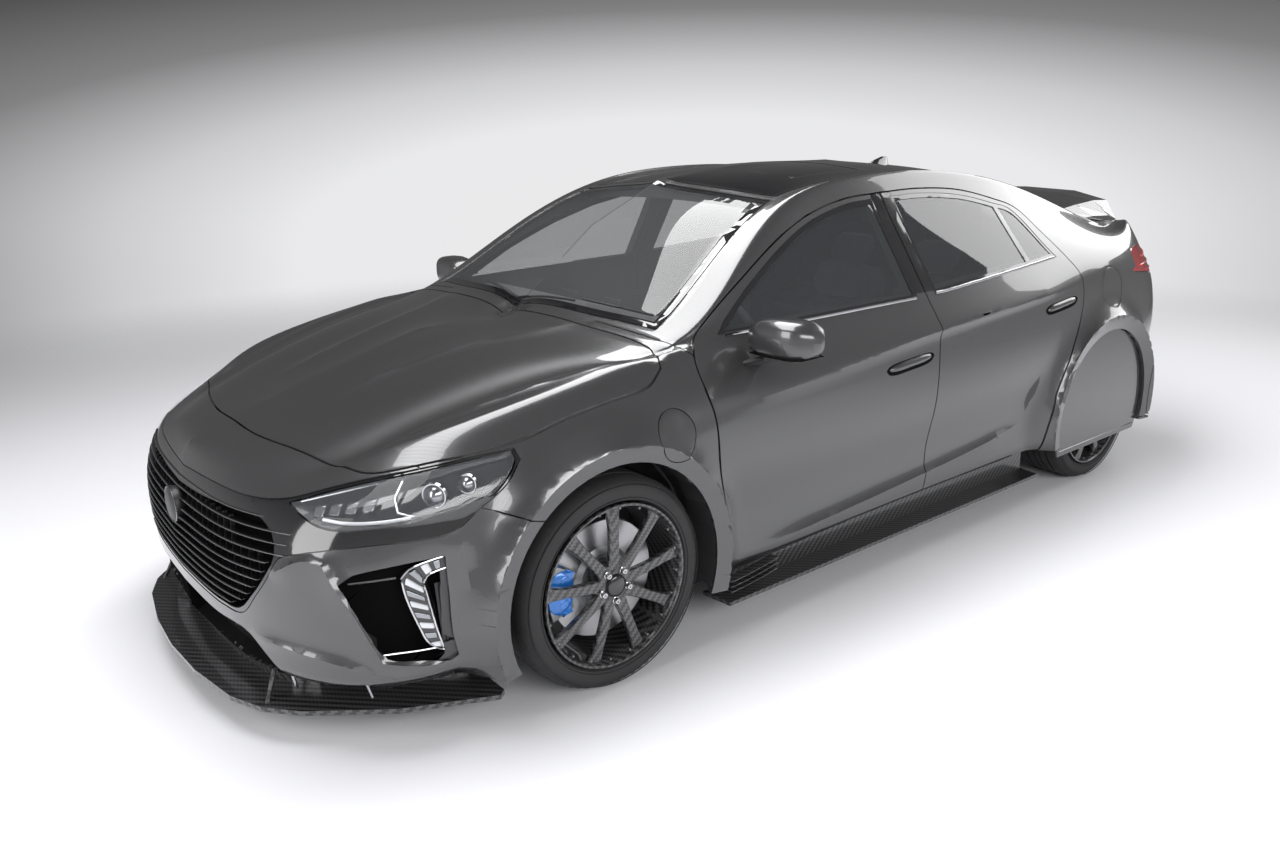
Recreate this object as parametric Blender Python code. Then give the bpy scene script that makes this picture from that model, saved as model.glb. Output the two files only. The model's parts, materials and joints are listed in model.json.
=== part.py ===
"""Low five-door liftback concept car, wide-bodied, with covered rear wheels.

Metres, +X towards the nose, +Y to the car's left, +Z up. The origin is on the ground,
under the middle of the car's bounding box. The body panels are all cut from one skin,
a subdivision surface through the car's feature lines, so they line up when closed.
"""

import math

import bmesh
import bpy
import numpy as np
from mathutils import Vector
from mathutils.bvhtree import BVHTree

# Driving dimensions of the whole car
LENGTH = 4.587
WIDTH = 1.84
HEIGHT = 1.40
WHEELBASE = 2.70
SPLITTER_LEAD = 0.047
FRONT_AXLE_SHARE = 0.5859
TAIL_X = -LENGTH / 2
BODY_HALF_LENGTH = (LENGTH - SPLITTER_LEAD) / 2
HALF_WIDTH = WIDTH / 2
FRONT_AXLE_X = TAIL_X + (1 + FRONT_AXLE_SHARE) * BODY_HALF_LENGTH
REAR_AXLE_X = FRONT_AXLE_X - WHEELBASE

# Gaps and cutters
SHUT_GAP = 0.0072
SEAT_GAP = 0.0004
OVERRUN = 0.5
SMALL_OVERRUN = 0.05

# Wall thicknesses of the skin
DOOR_WALL = 0.085
FRAME_WALL = 0.036
PANEL_WALL = 0.022
GLASS_INSET = 0.005
GLASS_WALL = 0.005

# Wheels
TYRE_RADIUS = 0.318
TYRE_WIDTH = 0.235
RIM_RADIUS = 0.248
RIM_WALL = 0.012
SPOKES = 9
HUB_RADIUS = 0.072
DISC_RADIUS = 0.178
DISC_WALL = 0.026
WHEEL_TUCK = 0.015
WHEEL_OUTER_Y = HALF_WIDTH - WHEEL_TUCK
WHEEL_Y = WHEEL_OUTER_Y - TYRE_WIDTH / 2
ARCH_RADIUS = 0.368
ARCH_DEPTH = 0.405
ARCH_INNER_Y = WHEEL_OUTER_Y - ARCH_DEPTH
ARCH_COUNT = 28
FLARE_WIDTHS = (0.060, 0.085)

# Feature lines of the body, from the sill up, as shares of the half length, half width and height.
# A column of the skin runs up the body; columns 0 to 3 cross the nose and 16 to 19 cross the tail.
PLAN_SHARES = (
    (0.991, 0.00), (0.987, 0.29), (0.972, 0.51), (0.938, 0.705), (0.875, 0.86),
    (0.765, 0.94), (0.586, 0.98), (0.420, 0.985), (0.250, 0.99), (0.070, 0.99),
    (-0.060, 0.99), (-0.260, 0.99), (-0.440, 0.985), (-0.604, 0.98), (-0.770, 0.955),
    (-0.885, 0.88), (-0.948, 0.74), (-0.978, 0.55), (-0.992, 0.30), (-1.000, 0.00),
)
KNOT_COLUMNS = (0, 4, 6, 10, 13, 15, 19)
FRONT_CORNER = 4
REAR_CORNER = 15
# Each line from the sill to the belt: its height, then how far it lies inside the plan outline.
LINE_HEIGHT_SHARES = (
    (0.121, 0.119, 0.126, 0.143, 0.143, 0.150, 0.160),
    (0.168, 0.170, 0.180, 0.186, 0.190, 0.200, 0.215),
    (0.262, 0.275, 0.285, 0.295, 0.320, 0.340, 0.345),
    (0.370, 0.390, 0.420, 0.425, 0.460, 0.480, 0.490),
    (0.455, 0.480, 0.530, 0.570, 0.610, 0.625, 0.640),
    (0.512, 0.535, 0.626, 0.678, 0.720, 0.745, 0.760),
)
LINE_INSET_SHARES = (
    (0.045, 0.085, 0.070, 0.110, 0.100, 0.120, 0.130),
    (0.012, 0.010, 0.030, 0.040, 0.040, 0.050, 0.040),
    (0.000, 0.000, 0.030, 0.032, 0.025, 0.010, 0.005),
    (0.003, 0.000, 0.000, 0.000, 0.000, 0.000, 0.020),
    (0.045, 0.060, 0.022, 0.006, 0.015, 0.050, 0.120),
    (0.125, 0.185, 0.125, 0.075, 0.100, 0.150, 0.190),
)
# The top of the car behind the nose and before the tail: belt side first, centre line last.
TOP_SHARES = (
    ((0.768, 0.655, 0.572), (0.795, 0.51, 0.582), (0.820, 0.28, 0.575), (0.833, 0.0, 0.574)),
    ((0.590, 0.740, 0.640), (0.608, 0.565, 0.656), (0.626, 0.29, 0.656), (0.639, 0.0, 0.656)),
    ((0.430, 0.832, 0.676), (0.441, 0.765, 0.688), (0.467, 0.39, 0.706), (0.476, 0.0, 0.710)),
    ((0.265, 0.760, 0.818), (0.289, 0.680, 0.833), (0.313, 0.36, 0.852), (0.322, 0.0, 0.858)),
    ((0.106, 0.668, 0.918), (0.145, 0.592, 0.940), (0.165, 0.31, 0.956), (0.172, 0.0, 0.962)),
    ((-0.053, 0.647, 0.950), (-0.035, 0.576, 0.976), (-0.022, 0.30, 0.994), (-0.018, 0.0, 1.000)),
    ((-0.260, 0.641, 0.946), (-0.247, 0.571, 0.973), (-0.233, 0.30, 0.993), (-0.229, 0.0, 1.000)),
    ((-0.450, 0.652, 0.904), (-0.441, 0.582, 0.933), (-0.432, 0.30, 0.961), (-0.427, 0.0, 0.969)),
    ((-0.626, 0.655, 0.834), (-0.626, 0.587, 0.862), (-0.626, 0.30, 0.896), (-0.626, 0.0, 0.905)),
    ((-0.784, 0.674, 0.770), (-0.793, 0.590, 0.788), (-0.806, 0.30, 0.815), (-0.811, 0.0, 0.822)),
)
FIT_ROUNDS = 6
SKIN_LEVELS = 1

# Side-view outlines, as shares of the half length and the height
FRONT_DOOR_SHARES = (
    (0.393, 0.164), (0.404, 0.300), (0.418, 0.450), (0.427, 0.580), (0.424, 0.655),
    (0.385, 0.712), (0.290, 0.795), (0.200, 0.862), (0.120, 0.905), (0.030, 0.932),
    (-0.056, 0.940), (-0.060, 0.700), (-0.054, 0.164),
)
REAR_DOOR_SHARES = (
    (-0.054, 0.164), (-0.060, 0.700), (-0.056, 0.940), (-0.160, 0.942), (-0.270, 0.930),
    (-0.370, 0.896), (-0.432, 0.862), (-0.470, 0.790), (-0.492, 0.730), (-0.506, 0.650),
    (-0.500, 0.560), (-0.462, 0.460), (-0.425, 0.360), (-0.408, 0.260), (-0.400, 0.164),
)
FRONT_WINDOW_SHARES = (
    (0.360, 0.690), (0.290, 0.762), (0.200, 0.834), (0.120, 0.880), (0.030, 0.909),
    (-0.026, 0.915), (-0.030, 0.697),
)
REAR_WINDOW_SHARES = (
    (-0.088, 0.701), (-0.086, 0.918), (-0.160, 0.919), (-0.265, 0.906), (-0.355, 0.876),
    (-0.410, 0.848), (-0.452, 0.736),
)


def x_of(share):
    """A place along the car from its share of the half length."""
    return TAIL_X + (1 + share) * BODY_HALF_LENGTH


def y_of(share):
    """A place across the car from its share of the half width."""
    return share * HALF_WIDTH


def z_of(share):
    """A height from its share of the car's height."""
    return share * HEIGHT


def place_of(shares):
    """A point of the car from its three shares."""
    return Vector((x_of(shares[0]), y_of(shares[1]), z_of(shares[2])))


def side_outline(shares):
    """Side-view points (x, z) from shares of the half length and the height."""
    return [(x_of(u), z_of(w)) for u, w in shares]


def top_outline(shares):
    """Top-view points (x, y) of a form that straddles the centre line, from its left half."""
    half = [(x_of(u), y_of(v)) for u, v in shares]
    return half + [(x, -y) for x, y in reversed(half) if y > 0]


def front_outline(shares):
    """Front-view points (y, z) of a form that straddles the centre line, from its left half."""
    half = [(y_of(v), z_of(w)) for v, w in shares]
    return half + [(-y, z) for y, z in reversed(half) if y > 0]


# Object and mesh helpers


def clear_scene():
    """Empties the scene, so that only this car is in it."""
    for obj in list(bpy.data.objects):
        bpy.data.objects.remove(obj)


def material(name, colour, roughness, metallic=0.0):
    """A plain Principled material, made once for each name."""
    found = bpy.data.materials.get(name)
    if found:
        return found
    made = bpy.data.materials.new(name)
    made.use_nodes = True
    shader = made.node_tree.nodes["Principled BSDF"]
    shader.inputs["Base Color"].default_value = (*colour, 1.0)
    shader.inputs["Roughness"].default_value = roughness
    shader.inputs["Metallic"].default_value = metallic
    return made


PAINT = ("graphite paint", (0.16, 0.16, 0.165), 0.28, 0.6)
GLOSS_BLACK = ("gloss black", (0.012, 0.012, 0.014), 0.12, 0.0)
CARBON = ("carbon fibre", (0.035, 0.035, 0.038), 0.3, 0.1)
GLASS = ("tinted glass", (0.05, 0.055, 0.06), 0.05, 0.0)
RUBBER = ("tyre rubber", (0.03, 0.03, 0.03), 0.85, 0.0)
TRIM = ("black trim", (0.02, 0.02, 0.022), 0.6, 0.0)
LAMP = ("lamp glass", (0.5, 0.52, 0.55), 0.1, 0.2)
RED_LAMP = ("red lamp", (0.5, 0.01, 0.015), 0.15, 0.0)
STEEL = ("bare steel", (0.4, 0.41, 0.42), 0.4, 0.9)
SEAT_CLOTH = ("seat cloth", (0.05, 0.05, 0.055), 0.8, 0.0)


def new_object(name, verts, faces, finish=TRIM, bendable=False):
    """A mesh object from points and faces, with its faces turned outwards."""
    mesh = bpy.data.meshes.new(name)
    mesh.from_pydata([tuple(v) for v in verts], [], [tuple(f) for f in faces])
    grid = bmesh.new()
    grid.from_mesh(mesh)
    bmesh.ops.remove_doubles(grid, verts=grid.verts, dist=MERGE / 10)
    bmesh.ops.recalc_face_normals(grid, faces=grid.faces)
    if not bendable:
        bmesh.ops.triangulate(grid, faces=grid.faces)
    grid.to_mesh(mesh)
    grid.free()
    obj = bpy.data.objects.new(name, mesh)
    bpy.context.scene.collection.objects.link(obj)
    mesh.materials.append(material(*finish))
    return obj


def bake(obj):
    """Replaces an object's mesh by the shape that its modifiers give."""
    graph = bpy.context.evaluated_depsgraph_get()
    mesh = bpy.data.meshes.new_from_object(obj.evaluated_get(graph))
    obj.modifiers.clear()
    obj.data = mesh
    return obj


def closed_volume(mesh):
    """The volume of a closed mesh, or none if it has open edges."""
    grid = bmesh.new()
    grid.from_mesh(mesh)
    whole = len(grid.faces) > 0 and all(edge.is_manifold for edge in grid.edges)
    volume = grid.calc_volume() if whole else None
    grid.free()
    return volume


def sound(volume, first, second, operation):
    """Whether a Boolean's volume is one that its two solids can give."""
    if volume is None:
        return False
    slack = first * VOLUME_SLACK_SHARE
    if operation == "UNION":
        return max(first, second) - slack <= volume <= first + second + slack
    if operation == "INTERSECT":
        return 0 < volume <= min(first, second) + slack
    return first - second - slack <= volume <= first + slack


VOLUME_SLACK_SHARE = 0.001


def tidy(obj):
    """Joins points that a Boolean left almost on top of each other and splits faces in triangles."""
    grid = bmesh.new()
    grid.from_mesh(obj.data)
    bmesh.ops.remove_doubles(grid, verts=grid.verts, dist=MERGE)
    bmesh.ops.dissolve_degenerate(grid, dist=MERGE, edges=grid.edges)
    bmesh.ops.dissolve_limit(grid, angle_limit=FLAT_ANGLE, verts=grid.verts, edges=grid.edges)
    bmesh.ops.triangulate(grid, faces=grid.faces)
    grid.to_mesh(obj.data)
    grid.free()
    return obj


FLAT_ANGLE = 0.003
MERGE = 0.00005


NUDGES = (
    (0.0, 0.0, 0.0), (0.00013, 0.00007, 0.00011), (-0.00027, 0.00019, -0.00022),
    (0.00041, -0.00033, 0.00037), (-0.00052, -0.00047, 0.00058), (0.0, 0.0, 0.0),
)


def combine(obj, other, operation, keep=False):
    """A Boolean of two objects, applied to the first; the second goes unless it is kept. Where the
    plain solver gives an unsound solid, it is tried again with the second moved by a hair."""
    before = obj.data
    first, second = closed_volume(obj.data), closed_volume(other.data)
    home = other.location.copy()
    for attempt, nudge in enumerate(NUDGES):
        obj.data = before
        other.location = home + Vector(nudge)
        cut = obj.modifiers.new("cut", "BOOLEAN")
        cut.operation = operation
        cut.solver = "EXACT"
        cut.use_self = attempt == len(NUDGES) - 1
        cut.object = other
        bpy.context.view_layer.update()
        bake(obj)
        tidy(obj)
        if sound(closed_volume(obj.data), first or 0, second or 0, operation):
            break
        print("unsound Boolean", attempt, obj.name, operation, first, second, closed_volume(obj.data))
    other.location = home
    if not keep:
        bpy.data.objects.remove(other)
    return obj


def copy_of(obj, name):
    """A second object with its own copy of the mesh."""
    twin = bpy.data.objects.new(name, obj.data.copy())
    bpy.context.scene.collection.objects.link(twin)
    return twin


def mirrored(obj, name):
    """The same piece for the other side of the car."""
    twin = copy_of(obj, name)
    for vertex in twin.data.vertices:
        vertex.co.y = -vertex.co.y
    twin.data.flip_normals()
    return twin


def set_finish(obj, finish):
    """Gives the whole object one material."""
    obj.data.materials.clear()
    obj.data.materials.append(material(*finish))
    return obj


def grown(outline, distance):
    """The outline with each side moved outwards by a distance, or inwards if it is negative."""
    points = [Vector(p) for p in outline]
    area = sum(a.x * b.y - b.x * a.y for a, b in zip(points, points[1:] + points[:1]))
    turn = 1 if area > 0 else -1
    moved = []
    for i, point in enumerate(points):
        before = (point - points[i - 1]).normalized()
        after = (points[(i + 1) % len(points)] - point).normalized()
        out_a = Vector((before.y, -before.x)) * turn
        out_b = Vector((after.y, -after.x)) * turn
        out = (out_a + out_b).normalized()
        moved.append(point + out * (distance / max(out.dot(out_a), 0.5)))
    return [tuple(p) for p in moved]


def prism(name, outline, place, low, high, taper=0.0):
    """A solid swept from one end to the other; place turns an outline point and a depth into
    a point of the car, and taper draws the low end's outline in."""
    near = [place(p, low) for p in grown(outline, -taper)]
    far = [place(p, high) for p in outline]
    count = len(outline)
    faces = [list(range(count)), list(range(count, 2 * count))]
    faces += [(i, (i + 1) % count, count + (i + 1) % count, count + i) for i in range(count)]
    return new_object(name, near + far, faces)


def from_side(point, depth):
    """Outline (x, z), depth y."""
    return (point[0], depth, point[1])


def from_top(point, depth):
    """Outline (x, y), depth z."""
    return (point[0], point[1], depth)


def from_front(point, depth):
    """Outline (y, z), depth x."""
    return (depth, point[0], point[1])


def block(name, low, high, finish=TRIM):
    """A box from its lowest to its highest corner."""
    base = [(low[0], low[1]), (high[0], low[1]), (high[0], high[1]), (low[0], high[1])]
    return set_finish(prism(name, base, from_top, low[2], high[2]), finish)


def circle(centre, radius, count, start=0.0, sweep=math.tau):
    """Points round an arc; a whole turn leaves out its last point."""
    steps = count if sweep == math.tau else count - 1
    return [
        (centre[0] + radius * math.cos(start + sweep * i / steps),
         centre[1] + radius * math.sin(start + sweep * i / steps))
        for i in range(count)
    ]


def turned(name, profile, centre, count, finish):
    """A round solid about the Y axis through centre; the closed profile is (y, radius)."""
    verts = []
    for i in range(count):
        angle = math.tau * i / count
        verts += [
            (centre[0] + r * math.cos(angle), centre[1] + y, centre[2] + r * math.sin(angle))
            for y, r in profile
        ]
    size = len(profile)
    faces = [
        (i * size + k, i * size + (k + 1) % size,
         (i + 1) % count * size + (k + 1) % size, (i + 1) % count * size + k)
        for i in range(count)
        for k in range(size)
        if profile[k][1] or profile[(k + 1) % size][1]
    ]
    return new_object(name, verts, faces, finish)


def bar(name, start, end, radius, count=8, finish=STEEL):
    """A round bar between two points."""
    start, end = Vector(start), Vector(end)
    axis = (end - start).normalized()
    side = axis.orthogonal().normalized()
    other = axis.cross(side)
    rings = []
    for point in (start, end):
        rings += [point + side * (radius * math.cos(a)) + other * (radius * math.sin(a))
                  for a in (math.tau * i / count for i in range(count))]
    faces = [list(range(count)), list(range(count, 2 * count))]
    faces += [(i, (i + 1) % count, count + (i + 1) % count, count + i) for i in range(count)]
    return new_object(name, rings, faces, finish)


# The body skin


def eased(values, columns):
    """Smooth values at every column from the ones at the knot columns."""
    knots = np.array(columns, float)
    data = np.array(values, float)
    slopes = np.gradient(data, knots)
    found = []
    for at in range(int(knots[-1]) + 1):
        k = min(int(np.searchsorted(knots, at, "right")) - 1, len(knots) - 2)
        span = knots[k + 1] - knots[k]
        t = (at - knots[k]) / span
        found.append(
            (2 * t**3 - 3 * t**2 + 1) * data[k] + (t**3 - 2 * t**2 + t) * span * slopes[k]
            + (3 * t**2 - 2 * t**3) * data[k + 1] + (t**3 - t**2) * span * slopes[k + 1]
        )
    return found


def skin_points():
    """The left half's feature points: {(line, column): point}. Lines 0 to 5 run round the
    body from sill to belt, and 6 to 9 lie over the top, line 9 on the centre line."""
    plan = [Vector((x_of(u), y_of(v))) for u, v in PLAN_SHARES]
    last = len(plan) - 1
    points = {}
    for line, (heights, insets) in enumerate(zip(LINE_HEIGHT_SHARES, LINE_INSET_SHARES)):
        height = eased(heights, KNOT_COLUMNS)
        inset = eased(insets, KNOT_COLUMNS)
        for column, at in enumerate(plan):
            along = plan[min(column + 1, last)] - plan[max(column - 1, 0)]
            inward = Vector((along.y, -along.x)).normalized()
            if column == 0:
                inward = Vector((-1, 0))
            if column == last:
                inward = Vector((1, 0))
            if inward.dot(-at) < 0:
                inward = -inward
            spot = at + inward * y_of(inset[column])
            points[line, column] = Vector((spot.x, spot.y, z_of(height[column])))
    for row, places in enumerate(TOP_SHARES):
        for k, (u, v, w) in enumerate(places):
            points[6 + k, FRONT_CORNER + 1 + row] = Vector((x_of(u), y_of(v), z_of(w)))
    for k in range(4):
        points[6 + k, FRONT_CORNER] = points[5, FRONT_CORNER - 1 - k]
        points[6 + k, REAR_CORNER] = points[5, REAR_CORNER + 1 + k]
    return points


def skin_cage():
    """The whole skin's cage: points, faces and the edges that stay sharp."""
    half = skin_points()
    verts, index = [], {}

    def vertex(line, column, side):
        spot = half[line, column]
        key = (round(spot.x, 6), round(spot.y * side, 6), round(spot.z, 6))
        if key not in index:
            index[key] = len(verts)
            verts.append([spot.x, spot.y * side, spot.z])
        return index[key]

    faces, creases = [], {}
    last = len(PLAN_SHARES) - 1
    for side in (1, -1):
        for column in range(last):
            for line in range(5):
                faces.append([vertex(line, column, side), vertex(line, column + 1, side),
                              vertex(line + 1, column + 1, side), vertex(line + 1, column, side)])
            for line, sharp in SHARP_LINES:
                edge = (vertex(line, column, side), vertex(line, column + 1, side))
                creases[tuple(sorted(edge))] = sharp
        for column in range(FRONT_CORNER, REAR_CORNER):
            for line in range(5, 9):
                faces.append([vertex(line, column, side), vertex(line, column + 1, side),
                              vertex(line + 1, column + 1, side), vertex(line + 1, column, side)])
    for column in range(last):
        ring = [vertex(0, column, 1), vertex(0, column + 1, 1),
                vertex(0, column + 1, -1), vertex(0, column, -1)]
        faces.append(list(dict.fromkeys(ring)))
    return np.array(verts), faces, creases


SHARP_LINES = ((0, 1.0), (1, 0.35), (4, 0.3), (5, 0.35))


def fitted(verts, faces, sharp):
    """The cage moved so that its smooth surface passes through the feature points."""
    neighbours = [set() for _ in verts]
    across = [[] for _ in verts]
    for face in faces:
        count = len(face)
        for k, v in enumerate(face):
            neighbours[v] |= {face[k - 1], face[(k + 1) % count]}
            across[v].append(face[(k + 2) % count])
    ring = [[] for _ in verts]
    for (a, b), strength in sharp.items():
        if strength >= 1.0:
            ring[a].append(b)
            ring[b].append(a)
    cage = verts.copy()
    for _ in range(FIT_ROUNDS):
        limit = np.empty_like(cage)
        for v in range(len(cage)):
            if len(ring[v]) == 2:
                limit[v] = (4 * cage[v] + cage[ring[v]].sum(axis=0)) / 6
                continue
            n = len(neighbours[v])
            limit[v] = (n * n * cage[v] + 4 * cage[list(neighbours[v])].sum(axis=0)
                        + cage[across[v]].sum(axis=0)) / (n * (n + 5))
        cage += verts - limit
    return cage


def build_skin(levels=SKIN_LEVELS):
    """The body's closed outer surface, baked at the level the solids need."""
    verts, faces, creases = skin_cage()
    obj = new_object("skin", fitted(verts, faces, creases), faces, bendable=True)
    layer = obj.data.attributes.new("crease_edge", "FLOAT", "EDGE")
    for edge in obj.data.edges:
        layer.data[edge.index].value = creases.get(tuple(sorted(edge.vertices)), 0.0)
    smooth = obj.modifiers.new("smooth", "SUBSURF")
    smooth.levels = levels
    smooth.render_levels = levels
    split = obj.modifiers.new("split", "TRIANGULATE")
    split.min_vertices = 4
    return bake(obj)


def build_inner():
    """The inside of the body's walls: the feature points themselves, drawn in by the wall there."""
    verts, faces, creases = skin_cage()
    obj = new_object("inner", verts, faces, bendable=True)
    normals = [v.normal.copy() for v in obj.data.vertices]
    for vertex, normal in zip(obj.data.vertices, normals):
        vertex.co -= normal * wall_at(vertex.co)
    split = obj.modifiers.new("split", "TRIANGULATE")
    split.min_vertices = 4
    return bake(obj)


def wall_at(point):
    """How thick the skin is at a point: whole doors below the belt, frames above, thin panels at the ends."""
    x, z = point.x, point.z
    door = min(max((DOOR_FRONT_X - x) / WALL_BLEND, 0), 1) * min(max((x - DOOR_REAR_X) / WALL_BLEND, 0), 1)
    low = min(max((BELT_Z - z) / WALL_BLEND, 0), 1) * min(max((z - SILL_Z) / SILL_BLEND, 0), 1)
    cabin = FRAME_WALL + (DOOR_WALL - FRAME_WALL) * low
    if z < SILL_Z + SILL_BLEND:
        cabin = min(cabin, PANEL_WALL + (z - SILL_Z) * (DOOR_WALL - PANEL_WALL) / SILL_BLEND)
    return PANEL_WALL + max(cabin - PANEL_WALL, 0) * door


DOOR_FRONT_X = x_of(0.445)
DOOR_REAR_X = x_of(-0.52)
BELT_Z = z_of(0.66)
WALL_BLEND = 0.06
SILL_Z = z_of(0.150)
SILL_BLEND = 0.16


def inside_of(skin, name, distance):
    """The skin moved inwards, by a distance or by a function of the place."""
    inner = copy_of(skin, name)
    normals = [v.normal.copy() for v in skin.data.vertices]
    for vertex, normal in zip(inner.data.vertices, normals):
        depth = distance(vertex.co) if callable(distance) else distance
        vertex.co -= normal * depth
    return inner


FLARE_COUNT = 15


def flare(name, surface, axle_x, lip_y, width, start, end):
    """The raised band round a wheel arch, from the panel out to its lip."""
    verts = []
    for i in range(FLARE_COUNT):
        angle = start + (end - start) * i / (FLARE_COUNT - 1)
        out = Vector((math.cos(angle), 0, math.sin(angle)))
        centre = Vector((axle_x, 0, TYRE_RADIUS))

        def skin_y(radius):
            """How far out the panel is at a radius from the wheel's centre."""
            at = centre + out * radius
            hit = surface.ray_cast(Vector((at.x, WIDTH, max(at.z, FLARE_LOW_Z))), Vector((0, -1, 0)))
            return hit[0].y if hit[0] else HALF_WIDTH

        edge = ARCH_RADIUS - SMALL_OVERRUN / 2
        sunk = FLARE_SINK
        root = skin_y(ARCH_RADIUS + width)
        mid = skin_y(ARCH_RADIUS + width / 2)
        profile = (
            (edge, skin_y(ARCH_RADIUS) - sunk),
            (edge, lip_y - FLARE_ROUND),
            (ARCH_RADIUS + FLARE_ROUND, lip_y),
            (ARCH_RADIUS + width / 2, max(lip_y, mid) - FLARE_ROUND / 3),
            (ARCH_RADIUS + width - FLARE_ROUND, max(root, lip_y - FLARE_STEP)),
            (ARCH_RADIUS + width, root - sunk),
        )
        for radius, y in profile:
            at = centre + out * radius
            verts.append((at.x, y, at.z))
    size = len(profile)
    faces = [list(range(size)), list(range(size * (FLARE_COUNT - 1), size * FLARE_COUNT))]
    faces += [
        (i * size + k, i * size + (k + 1) % size, (i + 1) * size + (k + 1) % size, (i + 1) * size + k)
        for i in range(FLARE_COUNT - 1)
        for k in range(size)
    ]
    return new_object(name, verts, faces)


FLARE_LOW_Z = z_of(0.150)
FLARE_SINK = 0.012
FLARE_ROUND = 0.012
FLARE_STEP = 0.022
FLARE_LOW_ANGLE = math.radians(-17)
FLARE_HIGH_ANGLE = math.radians(197)
FLARE_REACH = (0.015, 0.035)

# Cut lines of the panels, each as shares of the half length, half width and height
DRAFT = 0.34
PLUG_SINK = 0.130
PLUG_RISE = 0.120
HOOD_DRAFT = 0.32
SIDE_REACH = (0.36, 1.20)
TOP_REACH = (0.56, 1.80)
FRONT_REACH = (1.25, 2.60)
LAMP_REACH = (x_of(0.707), 2.60)
REAR_REACH = (1.60, 2.60)
ACROSS_REACH = (-1.20, 1.20)
HOOD_SHARES = (
    (0.905, 0.00), (0.899, 0.22), (0.874, 0.48), (0.845, 0.66), (0.800, 0.775), (0.720, 0.845),
    (0.630, 0.875), (0.540, 0.885), (0.482, 0.870), (0.468, 0.780), (0.485, 0.39), (0.492, 0.00),
)
WINDSHIELD_SHARES = (
    (0.470, 0.00), (0.461, 0.39), (0.436, 0.725), (0.296, 0.648), (0.156, 0.566),
    (0.174, 0.31), (0.181, 0.00),
)
ROOF_SHARES = (
    (0.164, 0.00), (0.157, 0.31), (0.138, 0.556), (-0.035, 0.536), (-0.247, 0.532),
    (-0.420, 0.545), (-0.414, 0.30), (-0.410, 0.00),
)
BACKLIGHT_SHARES = (
    (-0.455, 0.00), (-0.459, 0.30), (-0.468, 0.535), (-0.626, 0.538), (-0.770, 0.540),
    (-0.783, 0.30), (-0.788, 0.00),
)
HATCH_SIDE_SHARES = (
    (-0.430, 1.100), (-0.430, 0.800), (-0.760, 0.690), (-0.900, 0.560), (-1.100, 0.560), (-1.100, 1.100),
)
HATCH_HALF_SHARE = 0.612
FRONT_BUMPER_SHARES = (
    (0.764, 0.050), (0.764, 0.152), (0.715, 0.156), (0.715, 0.452), (0.792, 0.470), (0.800, 0.530), (0.840, 0.700),
    (1.100, 0.700), (1.100, 0.050),
)
REAR_BUMPER_SHARES = (
    (-0.780, 0.050), (-0.780, 0.455), (-0.860, 0.545), (-1.100, 0.545), (-1.100, 0.050),
)
FENDER_SHARES = (
    (0.380, 0.1635), (0.390, 0.300), (0.400, 0.450), (0.410, 0.580), (0.430, 0.640),
    (0.450, 0.688), (0.520, 0.760), (0.860, 0.760), (0.860, 0.1635),
)
HEADLAMP_SHARES = (
    (0.588, 0.480), (0.650, 0.463), (0.722, 0.454), (0.865, 0.455), (0.930, 0.480), (0.930, 0.512),
    (0.896, 0.540), (0.850, 0.534), (0.758, 0.516), (0.673, 0.499),
)
TAIL_LAMP_SHARES = (
    (0.640, 0.600), (0.860, 0.620), (0.900, 0.680), (0.840, 0.720), (0.640, 0.690),
)
GRILLE_SHARES = (
    (0.00, 0.452), (0.30, 0.450), (0.530, 0.447), (0.605, 0.424), (0.630, 0.394), (0.596, 0.346),
    (0.539, 0.302), (0.466, 0.257), (0.360, 0.245), (0.00, 0.236),
)


def draw_outwards(outline):
    """For each outline point, the step that moves both its sides out by one unit."""
    points = [Vector(p) for p in outline]
    area = sum(a.x * b.y - b.x * a.y for a, b in zip(points, points[1:] + points[:1]))
    turn = 1 if area > 0 else -1
    steps = []
    for i, point in enumerate(points):
        before = (point - points[i - 1]).normalized()
        after = (points[(i + 1) % len(points)] - point).normalized()
        out_a = Vector((before.y, -before.x)) * turn
        out_b = Vector((after.y, -after.x)) * turn
        out = (out_a + out_b).normalized()
        steps.append(out / max(out.dot(out_a), 0.6))
    return steps


VIEWS = {
    "side": (from_side, Vector((0, 1, 0))),
    "top": (from_top, Vector((0, 0, 1))),
    "front": (from_front, Vector((1, 0, 0))),
    "rear": (lambda point, depth: (-depth, point[0], point[1]), Vector((-1, 0, 0))),
}


def plug(name, outline, view, surface, reach, margin=0.0, slope=0.0):
    """A cutter through the skin. Its outline holds on the skin itself, moved out by the margin;
    below the skin the sides draw in by the slope, so that a hinged panel can swing out."""
    place, outward = VIEWS[view]
    low, high = reach
    near, far = [], []
    for point, step in zip(outline, draw_outwards(outline)):
        origin = Vector(place(point, LENGTH))
        hit = surface.ray_cast(origin, -outward)[0]
        depth = hit.dot(outward) if hit else surface.find_nearest(Vector(place(point, high)))[0].dot(outward)
        base = Vector(point)
        inner = depth - PLUG_SINK if slope else low - margin
        near.append(place(base + step * (margin - slope * (depth - inner)), inner))
        far.append(place(base + step * (margin + slope * PLUG_RISE), depth + PLUG_RISE if slope else high))
    count = len(outline)
    middles = [sum((Vector(p) for p in ring), Vector()) / count for ring in (near, far)]
    faces = []
    for i in range(count):
        a, b = i, (i + 1) % count
        faces += [(a, b, count + b), (a, count + b, count + a)]
        faces += [(2 * count, b, a), (2 * count + 1, count + a, count + b)]
    return new_object(name, near + far + middles, faces)


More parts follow.
